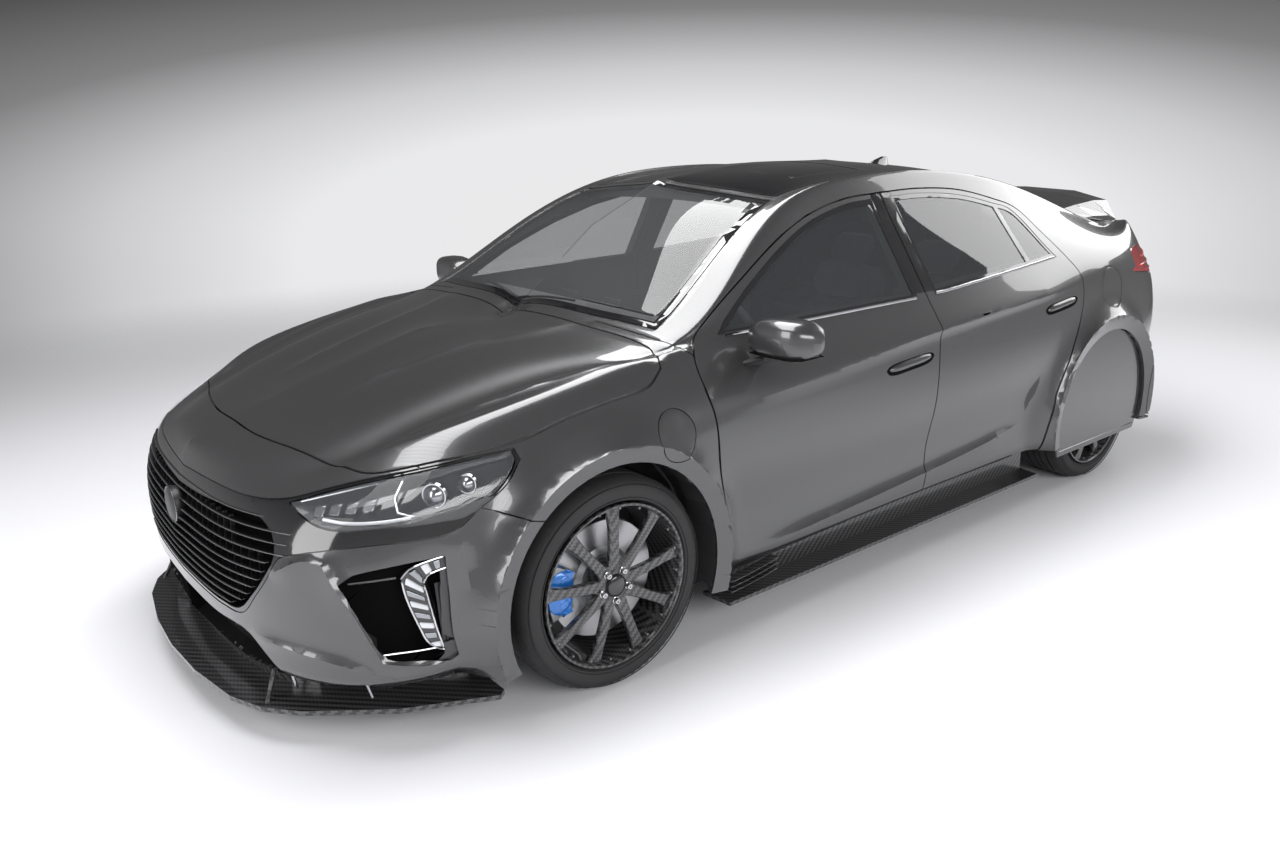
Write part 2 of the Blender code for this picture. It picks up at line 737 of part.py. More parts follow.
def largest_only(obj):
    """Keeps the biggest loose piece of a mesh."""
    grid = bmesh.new()
    grid.from_mesh(obj.data)
    grid.faces.ensure_lookup_table()
    seen, pieces = set(), []
    for start in grid.faces:
        if start.index in seen:
            continue
        piece, stack = [], [start]
        seen.add(start.index)
        while stack:
            face = stack.pop()
            piece.append(face)
            for edge in face.edges:
                for other in edge.link_faces:
                    if other.index not in seen:
                        seen.add(other.index)
                        stack.append(other)
        pieces.append((sum(f.calc_area() for f in piece), piece))
    pieces.sort(key=lambda item: item[0])
    drop = [f for _, piece in pieces[:-1] for f in piece]
    bmesh.ops.delete(grid, geom=drop, context="FACES")
    loose = [v for v in grid.verts if not v.link_faces]
    bmesh.ops.delete(grid, geom=loose, context="VERTS")
    grid.to_mesh(obj.data)
    grid.free()
    return obj


class Panels:
    """Cuts the shell into panels, one after another, with a shut gap round each."""

    def __init__(self, rest, surface):
        self.rest = rest
        self.surface = surface

    def cutter(self, outline, view, reach, margin, slope, side):
        """One plug, mirrored for the right side."""
        made = plug("cutter", outline, view, self.surface, reach, margin, slope)
        if side < 0:
            twin = mirrored(made, "cutter")
            bpy.data.objects.remove(made)
            made = twin
        return made

    def take(self, name, outline, view, reach, finish, slope=0.0, side=1, gap=SHUT_GAP):
        """Cuts a panel out of the rest and returns it."""
        panel = copy_of(self.rest, name)
        combine(panel, self.cutter(outline, view, reach, -gap / 2, slope, side), "INTERSECT")
        combine(self.rest, self.cutter(outline, view, reach, gap / 2, slope, side), "DIFFERENCE")
        largest_only(panel)
        return set_finish(panel, finish)


def pane(name, layer, window, surface, view, reach, side=1):
    """A glass pane: the part of the glass layer inside the window's outline."""
    made = copy_of(layer, name)
    cutter = plug("cutter", window, view, surface, reach, -SEAT_GAP)
    if side < 0:
        twin = mirrored(cutter, "cutter")
        bpy.data.objects.remove(cutter)
        cutter = twin
    combine(made, cutter, "INTERSECT")
    return set_finish(largest_only(made), GLASS)


def opened(panel, window, surface, view, reach, side=1):
    """Cuts a window's opening through a panel."""
    cutter = plug("cutter", window, view, surface, reach)
    if side < 0:
        twin = mirrored(cutter, "cutter")
        bpy.data.objects.remove(cutter)
        cutter = twin
    return combine(panel, cutter, "DIFFERENCE")


def joined(name, pieces, finish=None):
    """Several overlapping solids as one."""
    base = pieces[0]
    base.name = name
    for piece in pieces[1:]:
        combine(base, piece, "UNION")
    if finish:
        set_finish(base, finish)
    return base


def move_origin(obj, at):
    """Puts an object's origin on its joint without moving its shape."""
    at = Vector(at)
    for vertex in obj.data.vertices:
        vertex.co -= at
    obj.location = at
    return obj


# Wheels


def build_tyre(name, x, side):
    """One tyre, a closed ring with a rounded shoulder."""
    half = TYRE_WIDTH / 2
    profile = (
        (-half + TYRE_BEAD, RIM_RADIUS + SEAT_GAP), (-half, RIM_RADIUS + TYRE_BEAD),
        (-half, TYRE_RADIUS - TYRE_SHOULDER), (-half + TYRE_SHOULDER, TYRE_RADIUS),
        (half - TYRE_SHOULDER, TYRE_RADIUS), (half, TYRE_RADIUS - TYRE_SHOULDER),
        (half, RIM_RADIUS + TYRE_BEAD), (half - TYRE_BEAD, RIM_RADIUS + SEAT_GAP),
    )
    return turned(name, profile, (x, side * WHEEL_Y, TYRE_RADIUS), WHEEL_COUNT, RUBBER)


TYRE_BEAD = 0.012
TYRE_SHOULDER = 0.028
WHEEL_COUNT = 28
SPOKE_RECESS = 0.013
SPOKE_WALL = 0.020
SPOKE_FACE_Y = WHEEL_OUTER_Y - SPOKE_RECESS
SPOKE_BACK_Y = SPOKE_FACE_Y - SPOKE_WALL
SPOKE_ROOT = 0.021
SPOKE_TIP = 0.016
HUB_DEPTH = 0.130
HUB_BACK_Y = WHEEL_OUTER_Y - HUB_DEPTH
DISC_DEPTH = 0.079
DISC_OUTER_Y = WHEEL_OUTER_Y - DISC_DEPTH
RIM_FLANGE = 0.010
SPINDLE_RADIUS = 0.020
SPINDLE_LENGTH = 0.030
RUNNING_GAP = 0.0004
BORE_RADIUS = (SPINDLE_RADIUS + RUNNING_GAP) / math.cos(math.pi / WHEEL_COUNT)


def build_rim(name, x, side):
    """One wheel rim with its spokes, hub and brake disc, all of which turn together."""
    centre = (x, 0, TYRE_RADIUS)
    inner = WHEEL_OUTER_Y - TYRE_WIDTH + TYRE_BEAD
    outer = WHEEL_OUTER_Y - TYRE_BEAD
    barrel = turned(
        "barrel",
        ((inner, RIM_RADIUS), (outer, RIM_RADIUS), (outer, RIM_RADIUS - RIM_WALL), (inner, RIM_RADIUS - RIM_WALL)),
        centre, WHEEL_COUNT, CARBON,
    )
    bore_end = HUB_BACK_Y + SPINDLE_LENGTH + RUNNING_GAP
    hub = turned(
        "hub",
        ((bore_end, 0.0), (bore_end, BORE_RADIUS), (HUB_BACK_Y, BORE_RADIUS), (HUB_BACK_Y, HUB_RADIUS), (DISC_OUTER_Y - DISC_WALL, HUB_RADIUS),
         (DISC_OUTER_Y - DISC_WALL, DISC_RADIUS), (DISC_OUTER_Y, DISC_RADIUS), (DISC_OUTER_Y, HUB_RADIUS),
         (SPOKE_FACE_Y - RIM_FLANGE, HUB_RADIUS), (SPOKE_FACE_Y - RIM_FLANGE, 0.0)),
        centre, WHEEL_COUNT, CARBON,
    )
    pieces = [barrel, hub]
    for k in range(SPOKES):
        angle = math.pi / 2 + math.tau * k / SPOKES
        along = Vector((math.cos(angle), 0, math.sin(angle)))
        across = Vector((-math.sin(angle), 0, math.cos(angle)))
        verts = []
        for radius, half in ((HUB_RADIUS - RIM_WALL, SPOKE_ROOT), (RIM_RADIUS - RIM_WALL / 2, SPOKE_TIP)):
            for way, y in ((-1, SPOKE_BACK_Y), (1, SPOKE_BACK_Y), (1, SPOKE_FACE_Y), (-1, SPOKE_FACE_Y)):
                at = Vector(centre) + along * radius + across * (half * way)
                verts.append((at.x, y, at.z))
        faces = [(0, 1, 2, 3), (4, 5, 6, 7), (0, 1, 5, 4), (1, 2, 6, 5), (2, 3, 7, 6), (3, 0, 4, 7)]
        pieces.append(new_object("spoke", verts, faces))
    rim = joined(name, pieces, CARBON)
    if side < 0:
        twin = mirrored(rim, "twin")
        bpy.data.objects.remove(rim)
        twin.name = name
        rim = twin
    return rim


CALIPER_BRIDGE = 0.186
CALIPER_TOP = 0.216
CALIPER_LOW = 0.120
CALIPER_GAP = 0.007
CALIPER_TUCK = 0.041
CALIPER_DEPTH = 0.096
CALIPER_OUTER_Y = WHEEL_OUTER_Y - CALIPER_TUCK
CALIPER_INNER_Y = CALIPER_OUTER_Y - CALIPER_DEPTH
CALIPER_SPREAD = math.radians(24)
KNUCKLE_GAP = 0.007
KNUCKLE_DEPTH = 0.078
KNUCKLE_OUTER_Y = HUB_BACK_Y - KNUCKLE_GAP
KNUCKLE_INNER_Y = KNUCKLE_OUTER_Y - KNUCKLE_DEPTH
KNUCKLE_RADIUS = 0.058
KNUCKLE_HALF_HEIGHT = 0.105
KNUCKLE_HALF_WIDTH = 0.030


def ring_sector(name, x, low_radius, high_radius, middle, spread, y_low, y_high, count=6):
    """A block bounded by two arcs about a wheel's axis."""
    start = middle - spread
    centre = (x, TYRE_RADIUS)
    outer = circle(centre, high_radius, count, start, 2 * spread)
    inner = circle(centre, low_radius, count, start, 2 * spread)
    return prism(name, outer + inner[::-1], from_side, y_low, y_high)


def build_caliper(x, middle):
    """A brake caliper that straddles the disc."""
    disc_low = DISC_OUTER_Y - DISC_WALL
    whole = ring_sector("caliper", x, CALIPER_LOW, CALIPER_TOP, middle, CALIPER_SPREAD,
                        CALIPER_INNER_Y, CALIPER_OUTER_Y)
    slot = ring_sector("slot", x, CALIPER_LOW - OVERRUN / 8, CALIPER_BRIDGE, middle, CALIPER_SPREAD * 2,
                       disc_low - CALIPER_GAP, DISC_OUTER_Y + CALIPER_GAP, 10)
    return combine(whole, slot, "DIFFERENCE")


def build_upright(name, x, middle):
    """A wheel carrier with its caliper, for the left side."""
    plate = turned(
        name,
        ((KNUCKLE_INNER_Y, 0.0), (KNUCKLE_INNER_Y, KNUCKLE_RADIUS), (KNUCKLE_OUTER_Y, KNUCKLE_RADIUS),
         (KNUCKLE_OUTER_Y, SPINDLE_RADIUS), (HUB_BACK_Y + SPINDLE_LENGTH, SPINDLE_RADIUS),
         (HUB_BACK_Y + SPINDLE_LENGTH, 0.0)),
        (x, 0, TYRE_RADIUS), WHEEL_COUNT // 2, STEEL,
    )
    post = block("post", (x - KNUCKLE_HALF_WIDTH, KNUCKLE_INNER_Y, TYRE_RADIUS - KNUCKLE_HALF_HEIGHT),
                 (x + KNUCKLE_HALF_WIDTH, KNUCKLE_OUTER_Y - RIM_FLANGE, TYRE_RADIUS + KNUCKLE_HALF_HEIGHT))
    arm = ring_sector("arm", x, KNUCKLE_RADIUS / 2, CALIPER_TOP - RIM_WALL, middle, CALIPER_SPREAD / 2,
                      CALIPER_INNER_Y - KNUCKLE_HALF_WIDTH, CALIPER_INNER_Y + RIM_WALL / 6)
    piece = joined(name, [plate, post, arm, build_caliper(x, middle)], STEEL)
    return piece


# The whole car


def loft(name, sections, finish=TRIM):
    """A solid through a row of closed sections with the same number of points."""
    size = len(sections[0])
    verts = [p for section in sections for p in section]
    last = size * (len(sections) - 1)
    faces = [list(range(size)), list(range(last, last + size))]
    for i in range(len(sections) - 1):
        for k in range(size):
            a, b = i * size + k, i * size + (k + 1) % size
            faces += [(a, b, b + size), (a, b + size, a + size)]
    return new_object(name, verts, faces, finish)


def wheel_well(name, x, inner_y, outer_y):
    """The hollow half drum above a wheel, closed towards the car's middle."""
    centre = (x, TYRE_RADIUS)
    sweep = WELL_SWEEP
    start = math.pi / 2 - sweep / 2
    near, far = ARCH_RADIUS + WELL_GAP, ARCH_RADIUS + WELL_GAP + WELL_WALL
    outer = circle(centre, far, WELL_COUNT, start, sweep)
    inner = circle(centre, near, WELL_COUNT, start, sweep)
    drum = prism(name, outer + inner[::-1], from_side, inner_y, outer_y)
    lid = circle(centre, (near + far) / 2, WELL_COUNT, start, sweep)
    disc = prism("disc", lid, from_side, inner_y - WELL_WALL, inner_y + WELL_WALL / 2)
    return joined(name, [drum, disc])


WELL_WALL = 0.010
WELL_GAP = 0.002
WELL_COUNT = 14
WELL_TUCKS = (0.150, 0.035)
WELL_SWEEP = math.radians(218)


def floor_under(floor, low, high):
    """The height of the floor's highest point under the corners of a rectangle."""
    spots = [(x, y) for x in (low[0], high[0]) for y in (low[1], high[1])]
    hits = [floor.ray_cast(Vector((x, y, z_of(FLOOR_PROBE_SHARE))), Vector((0, 0, -1)))[0] for x, y in spots]
    return max(hit.z for hit in hits)


def foot(floor, x, y, half_x, half_y, top_z):
    """A mounting foot that stands just clear of the floor."""
    low, high = (x - half_x, y - half_y), (x + half_x, y + half_y)
    return block("foot", (*low, floor_under(floor, low, high) + SEAT_GAP), (*high, top_z), STEEL)


FLOOR_PROBE_SHARE = 0.18


def seat(name, floor, x, y, half_width, finish=SEAT_CLOTH):
    """A seat on two rails: cushion, reclined back and headrest."""
    cushion = block("cushion", (x - SEAT_DEPTH / 2, y - half_width, SEAT_LOW_Z),
                    (x + SEAT_DEPTH / 2, y + half_width, SEAT_TOP_Z))
    rails = [foot(floor, x, y + way * half_width * RAIL_SPREAD_SHARE, SEAT_DEPTH * RAIL_SPREAD_SHARE / 2,
                  RAIL_HALF_WIDTH, SEAT_LOW_Z + RAIL_HALF_WIDTH) for way in (-1, 1)]
    back = prism("back", [(x - SEAT_DEPTH / 2 - SEAT_RAKE, SEAT_BACK_TOP_Z), (x - SEAT_DEPTH / 2, SEAT_LOW_Z),
                          (x - SEAT_DEPTH / 2 + SEAT_BACK, SEAT_LOW_Z),
                          (x - SEAT_DEPTH / 2 + SEAT_BACK - SEAT_RAKE, SEAT_BACK_TOP_Z)],
                 from_side, y - half_width, y + half_width)
    head_x = x - SEAT_DEPTH / 2 - SEAT_RAKE
    heads = []
    spots = (y,) if half_width < SEAT_WIDE else (y - half_width * SEAT_HEAD_SHARE, y + half_width * SEAT_HEAD_SHARE)
    for spot in spots:
        heads.append(block("head", (head_x - SEAT_RAKE / 4, spot - HEADREST_HALF, SEAT_BACK_TOP_Z - SEAT_GAP * 20),
                           (head_x + SEAT_BACK * SEAT_HEAD_SHARE, spot + HEADREST_HALF, HEADREST_TOP_Z)))
    return joined(name, [cushion, back] + rails + heads, finish)


RAIL_SPREAD_SHARE = 0.7
RAIL_HALF_WIDTH = 0.020
SEAT_DEPTH = 0.52
SEAT_LOW_Z = z_of(0.186)
SEAT_TOP_Z = z_of(0.321)
SEAT_BACK = 0.11
SEAT_RAKE = 0.15
SEAT_BACK_TOP_Z = z_of(0.664)
HEADREST_TOP_Z = z_of(0.757)
HEADREST_HALF = 0.13
SEAT_WIDE = 0.4
SEAT_HEAD_SHARE = 0.5
FRONT_SEAT_X = x_of(0.0456)
FRONT_SEAT_Y = y_of(0.391)
FRONT_SEAT_HALF = y_of(0.272)
REAR_SEAT_X = x_of(-0.2804)
REAR_SEAT_HALF = y_of(0.524)

BULKHEAD_SHARES = ((0.4075, 0.139), (0.4207, 0.139), (0.4736, 0.646), (0.4626, 0.646))
BULKHEAD_HALF_Y = y_of(0.560)
JACK_PAD_HALF = 0.035
JACK_PAD_X = (x_of(-0.335), x_of(0.317))
JACK_PAD_Y = y_of(0.674)
JACK_PAD_Z = (z_of(0.118), z_of(0.150))
ENGINE_AHEAD = (-0.210, 0.270)
ENGINE_HALF_Y = y_of(0.456)
ENGINE_TOP_Z = z_of(0.500)
SUBFRAME_Z = (0.230, 0.275)
SUBFRAME_HALF_X = 0.060
SUBFRAME_HALF_Y = ARCH_INNER_Y - 0.020
STEER_AXIS_Y = WHEEL_OUTER_Y - 0.165
ARM_GAP = 0.092
ARM_HALF_X = 0.022
ARM_DROP = 0.048
LOW_ARM_Z = (0.186, 0.203)
BALL_RADIUS = 0.015
FOOT_HALF = (0.035, 0.045)
FOOT_SHARE = 0.7
BEAM_Z = (0.262, 0.322)
BEAM_HALF_X = 0.035
BEAM_END_Y = KNUCKLE_INNER_Y + 0.010

SPLITTER_SHARES = (
    (1.0207, 0.00), (1.0161, 0.215), (1.0015, 0.435), (0.9817, 0.554), (0.9487, 0.652), (0.8606, 0.821),
    (0.7548, 0.948), (0.7450, 0.930), (0.745, 0.70), (0.785, 0.52), (0.800, 0.00),
)
SPLITTER_EDGE_COUNT = 7
SPLITTER_Z = (0.098, 0.112)
DAM_SETBACKS = (0.125, 0.137)
ROD_FOOT_SHARE = (0.9735, 0.545)
ROD_HEAD_SHARE = (0.9450, 0.500)
ROD_RADIUS = 0.006
SKIRT_SHARES = ((0.399, 0.86), (0.394, 0.985), (-0.400, 0.985), (-0.410, 0.86))
SKIRT_Z = (0.112, 0.124)
SKIRT_RIB_SHARES = (0.872, 0.896)
RIB_TOP_SHARE = 0.175

MIRROR_PLACE_SHARES = (0.3385, 1.071, 0.661)
MIRROR_SIZE = (0.075, 0.115, 0.075)
STALK_FOOT_SHARES = (0.3583, 0.848, 0.643)
STALK_HALF = (0.035, 0.012)
SPOILER_SHARES = (
    (0.000, ((-0.720, 0.800), (-0.722, 0.846), (-0.800, 0.856), (-0.880, 0.866), (-0.952, 0.868),
             (-0.960, 0.853), (-0.900, 0.842), (-0.850, 0.800), (-0.780, 0.770))),
    (0.300, ((-0.720, 0.795), (-0.722, 0.840), (-0.800, 0.850), (-0.880, 0.860), (-0.950, 0.861),
             (-0.958, 0.846), (-0.898, 0.836), (-0.850, 0.790), (-0.780, 0.760))),
    (0.500, ((-0.725, 0.770), (-0.730, 0.818), (-0.805, 0.830), (-0.880, 0.838), (-0.940, 0.834),
             (-0.946, 0.818), (-0.890, 0.810), (-0.850, 0.770), (-0.780, 0.740))),
    (0.590, ((-0.740, 0.745), (-0.745, 0.790), (-0.815, 0.795), (-0.880, 0.790), (-0.915, 0.775),
             (-0.918, 0.757), (-0.885, 0.750), (-0.850, 0.735), (-0.790, 0.720))),
)
COVER_GAP = 0.008
COVER_WALL = 0.008
COVER_LOW_Z = z_of(0.123)
DASH_SHARES = ((0.425, 0.600), (0.430, 0.665), (0.340, 0.680), (0.280, 0.640), (0.285, 0.520), (0.340, 0.440))
DASH_HALF_Y = y_of(0.696)
BRACKET_SHARES = ((0.400, 0.610), (0.458, 0.610), (0.4625, 0.640), (0.400, 0.640))
BRACKET_Y = (y_of(0.38), y_of(0.46))
STEERING_WHEEL_SHARES = (0.2306, 0.391, 0.571)
STEERING_WHEEL_RADIUS = 0.180
STEERING_WHEEL_TUBE = 0.015
STEERING_TILT = math.radians(22)


def steering_wheel():
    """The steering wheel with its column, reaching into the dashboard."""
    cx, cy, cz = place_of(STEERING_WHEEL_SHARES)
    axis = Vector((math.cos(STEERING_TILT), 0, -math.sin(STEERING_TILT)))
    up = Vector((math.sin(STEERING_TILT), 0, math.cos(STEERING_TILT)))
    side = Vector((0, 1, 0))
    verts, faces = [], []
    turns, sides = 16, 6
    for i in range(turns):
        a = math.tau * i / turns
        out = side * math.cos(a) + up * math.sin(a)
        for k in range(sides):
            b = math.tau * k / sides
            verts.append(Vector((cx, cy, cz)) + out * (STEERING_WHEEL_RADIUS + STEERING_WHEEL_TUBE * math.cos(b))
                         + axis * (STEERING_WHEEL_TUBE * math.sin(b)))
    faces = [
        (i * sides + k, i * sides + (k + 1) % sides,
         (i + 1) % turns * sides + (k + 1) % sides, (i + 1) % turns * sides + k)
        for i in range(turns) for k in range(sides)
    ]
    ring = new_object("ring", verts, faces)
    centre = Vector((cx, cy, cz))
    spoke = bar("spoke", centre - side * STEERING_WHEEL_RADIUS, centre + side * STEERING_WHEEL_RADIUS,
                STEERING_WHEEL_TUBE, 6)
    column = bar("column", centre - axis * STEERING_WHEEL_TUBE, centre + axis * STEERING_WHEEL_RADIUS * 1.6,
                 STEERING_WHEEL_TUBE * 2, 8)
    return joined("ring", [ring, spoke, column])


def ellipsoid(name, centre, size, finish):
    """A coarse rounded body."""
    mesh = bpy.data.meshes.new(name)
    grid = bmesh.new()
    bmesh.ops.create_uvsphere(grid, u_segments=14, v_segments=8, radius=1.0)
    for vertex in grid.verts:
        vertex.co = Vector((centre[k] + vertex.co[k] * size[k] for k in range(3)))
    grid.to_mesh(mesh)
    grid.free()
    obj = bpy.data.objects.new(name, mesh)
    bpy.context.scene.collection.objects.link(obj)
    return set_finish(obj, finish)


def door_leaves(panels, door_line, edge_count, root, side):
    """The hinge leaves that carry a door: blocks in the gap before its front edge, one low, one high."""
    edge = sorted((w, u) for u, w in door_line[:edge_count])
    leaves = []
    for share in LEAF_HEIGHT_SHARES:
        x = x_of(float(np.interp(share, *zip(*edge))))
        z = z_of(share)
        skin_y = panels.surface.ray_cast(Vector((x, WIDTH, z)), Vector((0, -1, 0)))[0].y
        low, high = sorted((side * (skin_y - LEAF_DEPTHS[1]), side * (skin_y - LEAF_DEPTHS[0])))
        made = block("leaf", (x - LEAF_LENGTH, low, z - LEAF_HALF_HEIGHT), (x + root, high, z + LEAF_HALF_HEIGHT))
        cutter = panels.cutter(side_outline(door_line), "side", SIDE_REACH, SEAT_GAP - SHUT_GAP / 2, DRAFT, side)
        leaves.append(combine(made, cutter, "DIFFERENCE"))
    return leaves


def lid_leaves(surface):
    """The hinge leaves of the hood, at its rear edge, and of the hatch, at its front edge."""
    leaves = []
    for side in (1, -1):
        low_y, high_y = sorted((side * LID_LEAF_Y[0], side * LID_LEAF_Y[1]))
        for x, root, length, depths in LID_LEAVES:
            skin_z = surface.ray_cast(Vector((x, sum(LID_LEAF_Y) / 2, LENGTH)), Vector((0, 0, -1)))[0].z
            low_x, high_x = sorted((x - root, x + length))
            made = block("leaf", (low_x, low_y, skin_z - depths[1]), (high_x, high_y, skin_z - depths[0]))
            if x > 0:
                cutter = plug("cutter", top_outline(HOOD_SHARES), "top", surface, TOP_REACH,
                              SEAT_GAP - SHUT_GAP / 2, HOOD_DRAFT)
            else:
                cutter = prism("cutter", grown(side_outline(HATCH_SIDE_SHARES), SEAT_GAP - SHUT_GAP / 2),
                               from_side, -WIDTH, WIDTH)
            leaves.append(combine(made, cutter, "DIFFERENCE"))
    return leaves


FRONT_EDGE_COUNT = 5
REAR_EDGE_COUNT = 2
LEAF_HEIGHT_SHARES = (0.345, 0.520)
LEAF_DEPTHS = (0.036, 0.060)
LEAF_LENGTH = 0.030
LEAF_HALF_HEIGHT = 0.022
LEAF_ROOTS = (0.025, -0.002)
LID_LEAF_Y = (y_of(0.415), y_of(0.475))
LID_LEAVES = (
    (x_of(0.4816), 0.018, 0.016, (0.007, 0.017)),
    (x_of(-0.430), -0.018, -0.016, (0.014, 0.026)),
)


def build_dashboard():
    """The dashboard with its steering wheel, held to the bulkhead by two brackets."""
    pieces = [prism("dash", side_outline(DASH_SHARES), from_side, -DASH_HALF_Y, DASH_HALF_Y), steering_wheel()]
    for low, high in (BRACKET_Y, (-BRACKET_Y[1], -BRACKET_Y[0])):
        pieces.append(prism("bracket", side_outline(BRACKET_SHARES), from_side, low, high))
    dashboard = joined("dashboard", pieces, TRIM)
    combine(dashboard, prism("clearance", grown(side_outline(BULKHEAD_SHARES), SEAT_GAP), from_side,
                             -BULKHEAD_HALF_Y, BULKHEAD_HALF_Y), "DIFFERENCE")
    return largest_only(dashboard)


def build_splitter(clearance):
    """The front splitter: its blade, the dam that hangs it under the bumper, and two rods."""
    outline = top_outline(SPLITTER_SHARES)
    blade = prism("blade", outline, from_top, *SPLITTER_Z)
    rows = []
    for setback in DAM_SETBACKS:
        inner = grown(outline, -setback)
        rows.append(inner[1 - SPLITTER_EDGE_COUNT:] + inner[:SPLITTER_EDGE_COUNT])
    dam = prism("dam", rows[0] + rows[1][::-1], from_top, SPLITTER_Z[0] + ROD_RADIUS, z_of(RIB_TOP_SHARE))
    rods = []
    for side in (1, -1):
        start = Vector((x_of(ROD_FOOT_SHARE[0]), side * y_of(ROD_FOOT_SHARE[1]), SPLITTER_Z[0] + ROD_RADIUS))
        end = Vector((x_of(ROD_HEAD_SHARE[0]), side * y_of(ROD_HEAD_SHARE[1]), z_of(RIB_TOP_SHARE)))
        rods.append(bar("rod", start, end, ROD_RADIUS, 6))
    splitter = joined("front_splitter", [blade, dam] + rods, CARBON)
    return largest_only(combine(splitter, clearance, "DIFFERENCE", keep=True))


def build_subframe(floor):
    """The front subframe on its feet, with an arm out to the ball joint under each wheel carrier."""
    x, (low_z, high_z) = FRONT_AXLE_X, SUBFRAME_Z
    end_y = STEER_AXIS_Y - ARM_GAP
    pieces = [
        block("subframe", (x - SUBFRAME_HALF_X, -SUBFRAME_HALF_Y, low_z),
              (x + SUBFRAME_HALF_X, SUBFRAME_HALF_Y, high_z)),
        block("arm", (x - ARM_HALF_X, -end_y, low_z + WELL_WALL), (x + ARM_HALF_X, end_y, high_z - WELL_WALL)),
    ]
    for side in (1, -1):
        for reach, top in ((end_y, high_z - WELL_WALL), (STEER_AXIS_Y + BALL_RADIUS, LOW_ARM_Z[1])):
            low_y, high_y = sorted((side * (end_y - ARM_DROP), side * reach))
            pieces.append(block("arm", (x - ARM_HALF_X, low_y, LOW_ARM_Z[0]), (x + ARM_HALF_X, high_y, top)))
        pieces.append(prism("ball", circle((x, side * STEER_AXIS_Y), BALL_RADIUS, 12), from_top,
                            LOW_ARM_Z[0] + WELL_WALL / 2, TYRE_RADIUS - KNUCKLE_HALF_HEIGHT - SEAT_GAP))
        pieces.append(foot(floor, x, side * SUBFRAME_HALF_Y * FOOT_SHARE, *FOOT_HALF, low_z + WELL_WALL))
    return joined("front_subframe", pieces, STEEL)


def build_rear_axle(floor):
    """The rear axle beam on its feet, with a wheel carrier at each end."""
    x = REAR_AXLE_X
    pieces = [block("beam", (x - BEAM_HALF_X, -BEAM_END_Y, BEAM_Z[0]), (x + BEAM_HALF_X, BEAM_END_Y, BEAM_Z[1]))]
    left = build_upright("upright", x, CALIPER_ANGLES[1])
    pieces += [left, mirrored(left, "upright_right")]
    for side in (1, -1):
        pieces.append(foot(floor, x, side * ARCH_INNER_Y * FOOT_SHARE, BEAM_HALF_X - ROD_RADIUS, FOOT_HALF[1],
                           BEAM_Z[0] + WELL_WALL))
    return joined("rear_axle", pieces, STEEL)


def build_cover():
    """The panel that closes a rear wheel arch down to below the hub."""
    radius = ARCH_RADIUS - SEAT_GAP / math.cos(math.pi / ARCH_COUNT)
    low = WHEEL_OUTER_Y + COVER_GAP
    cover = prism("cover", circle((REAR_AXLE_X, TYRE_RADIUS), radius, ARCH_COUNT), from_side, low, low + COVER_WALL)
    combine(cover, block("cut", (REAR_AXLE_X - LENGTH, 0, -HEIGHT), (REAR_AXLE_X + LENGTH, WIDTH, COVER_LOW_Z)),
            "DIFFERENCE")
    return set_finish(cover, GLOSS_BLACK)


CALIPER_ANGLES = (math.radians(5), math.radians(10))


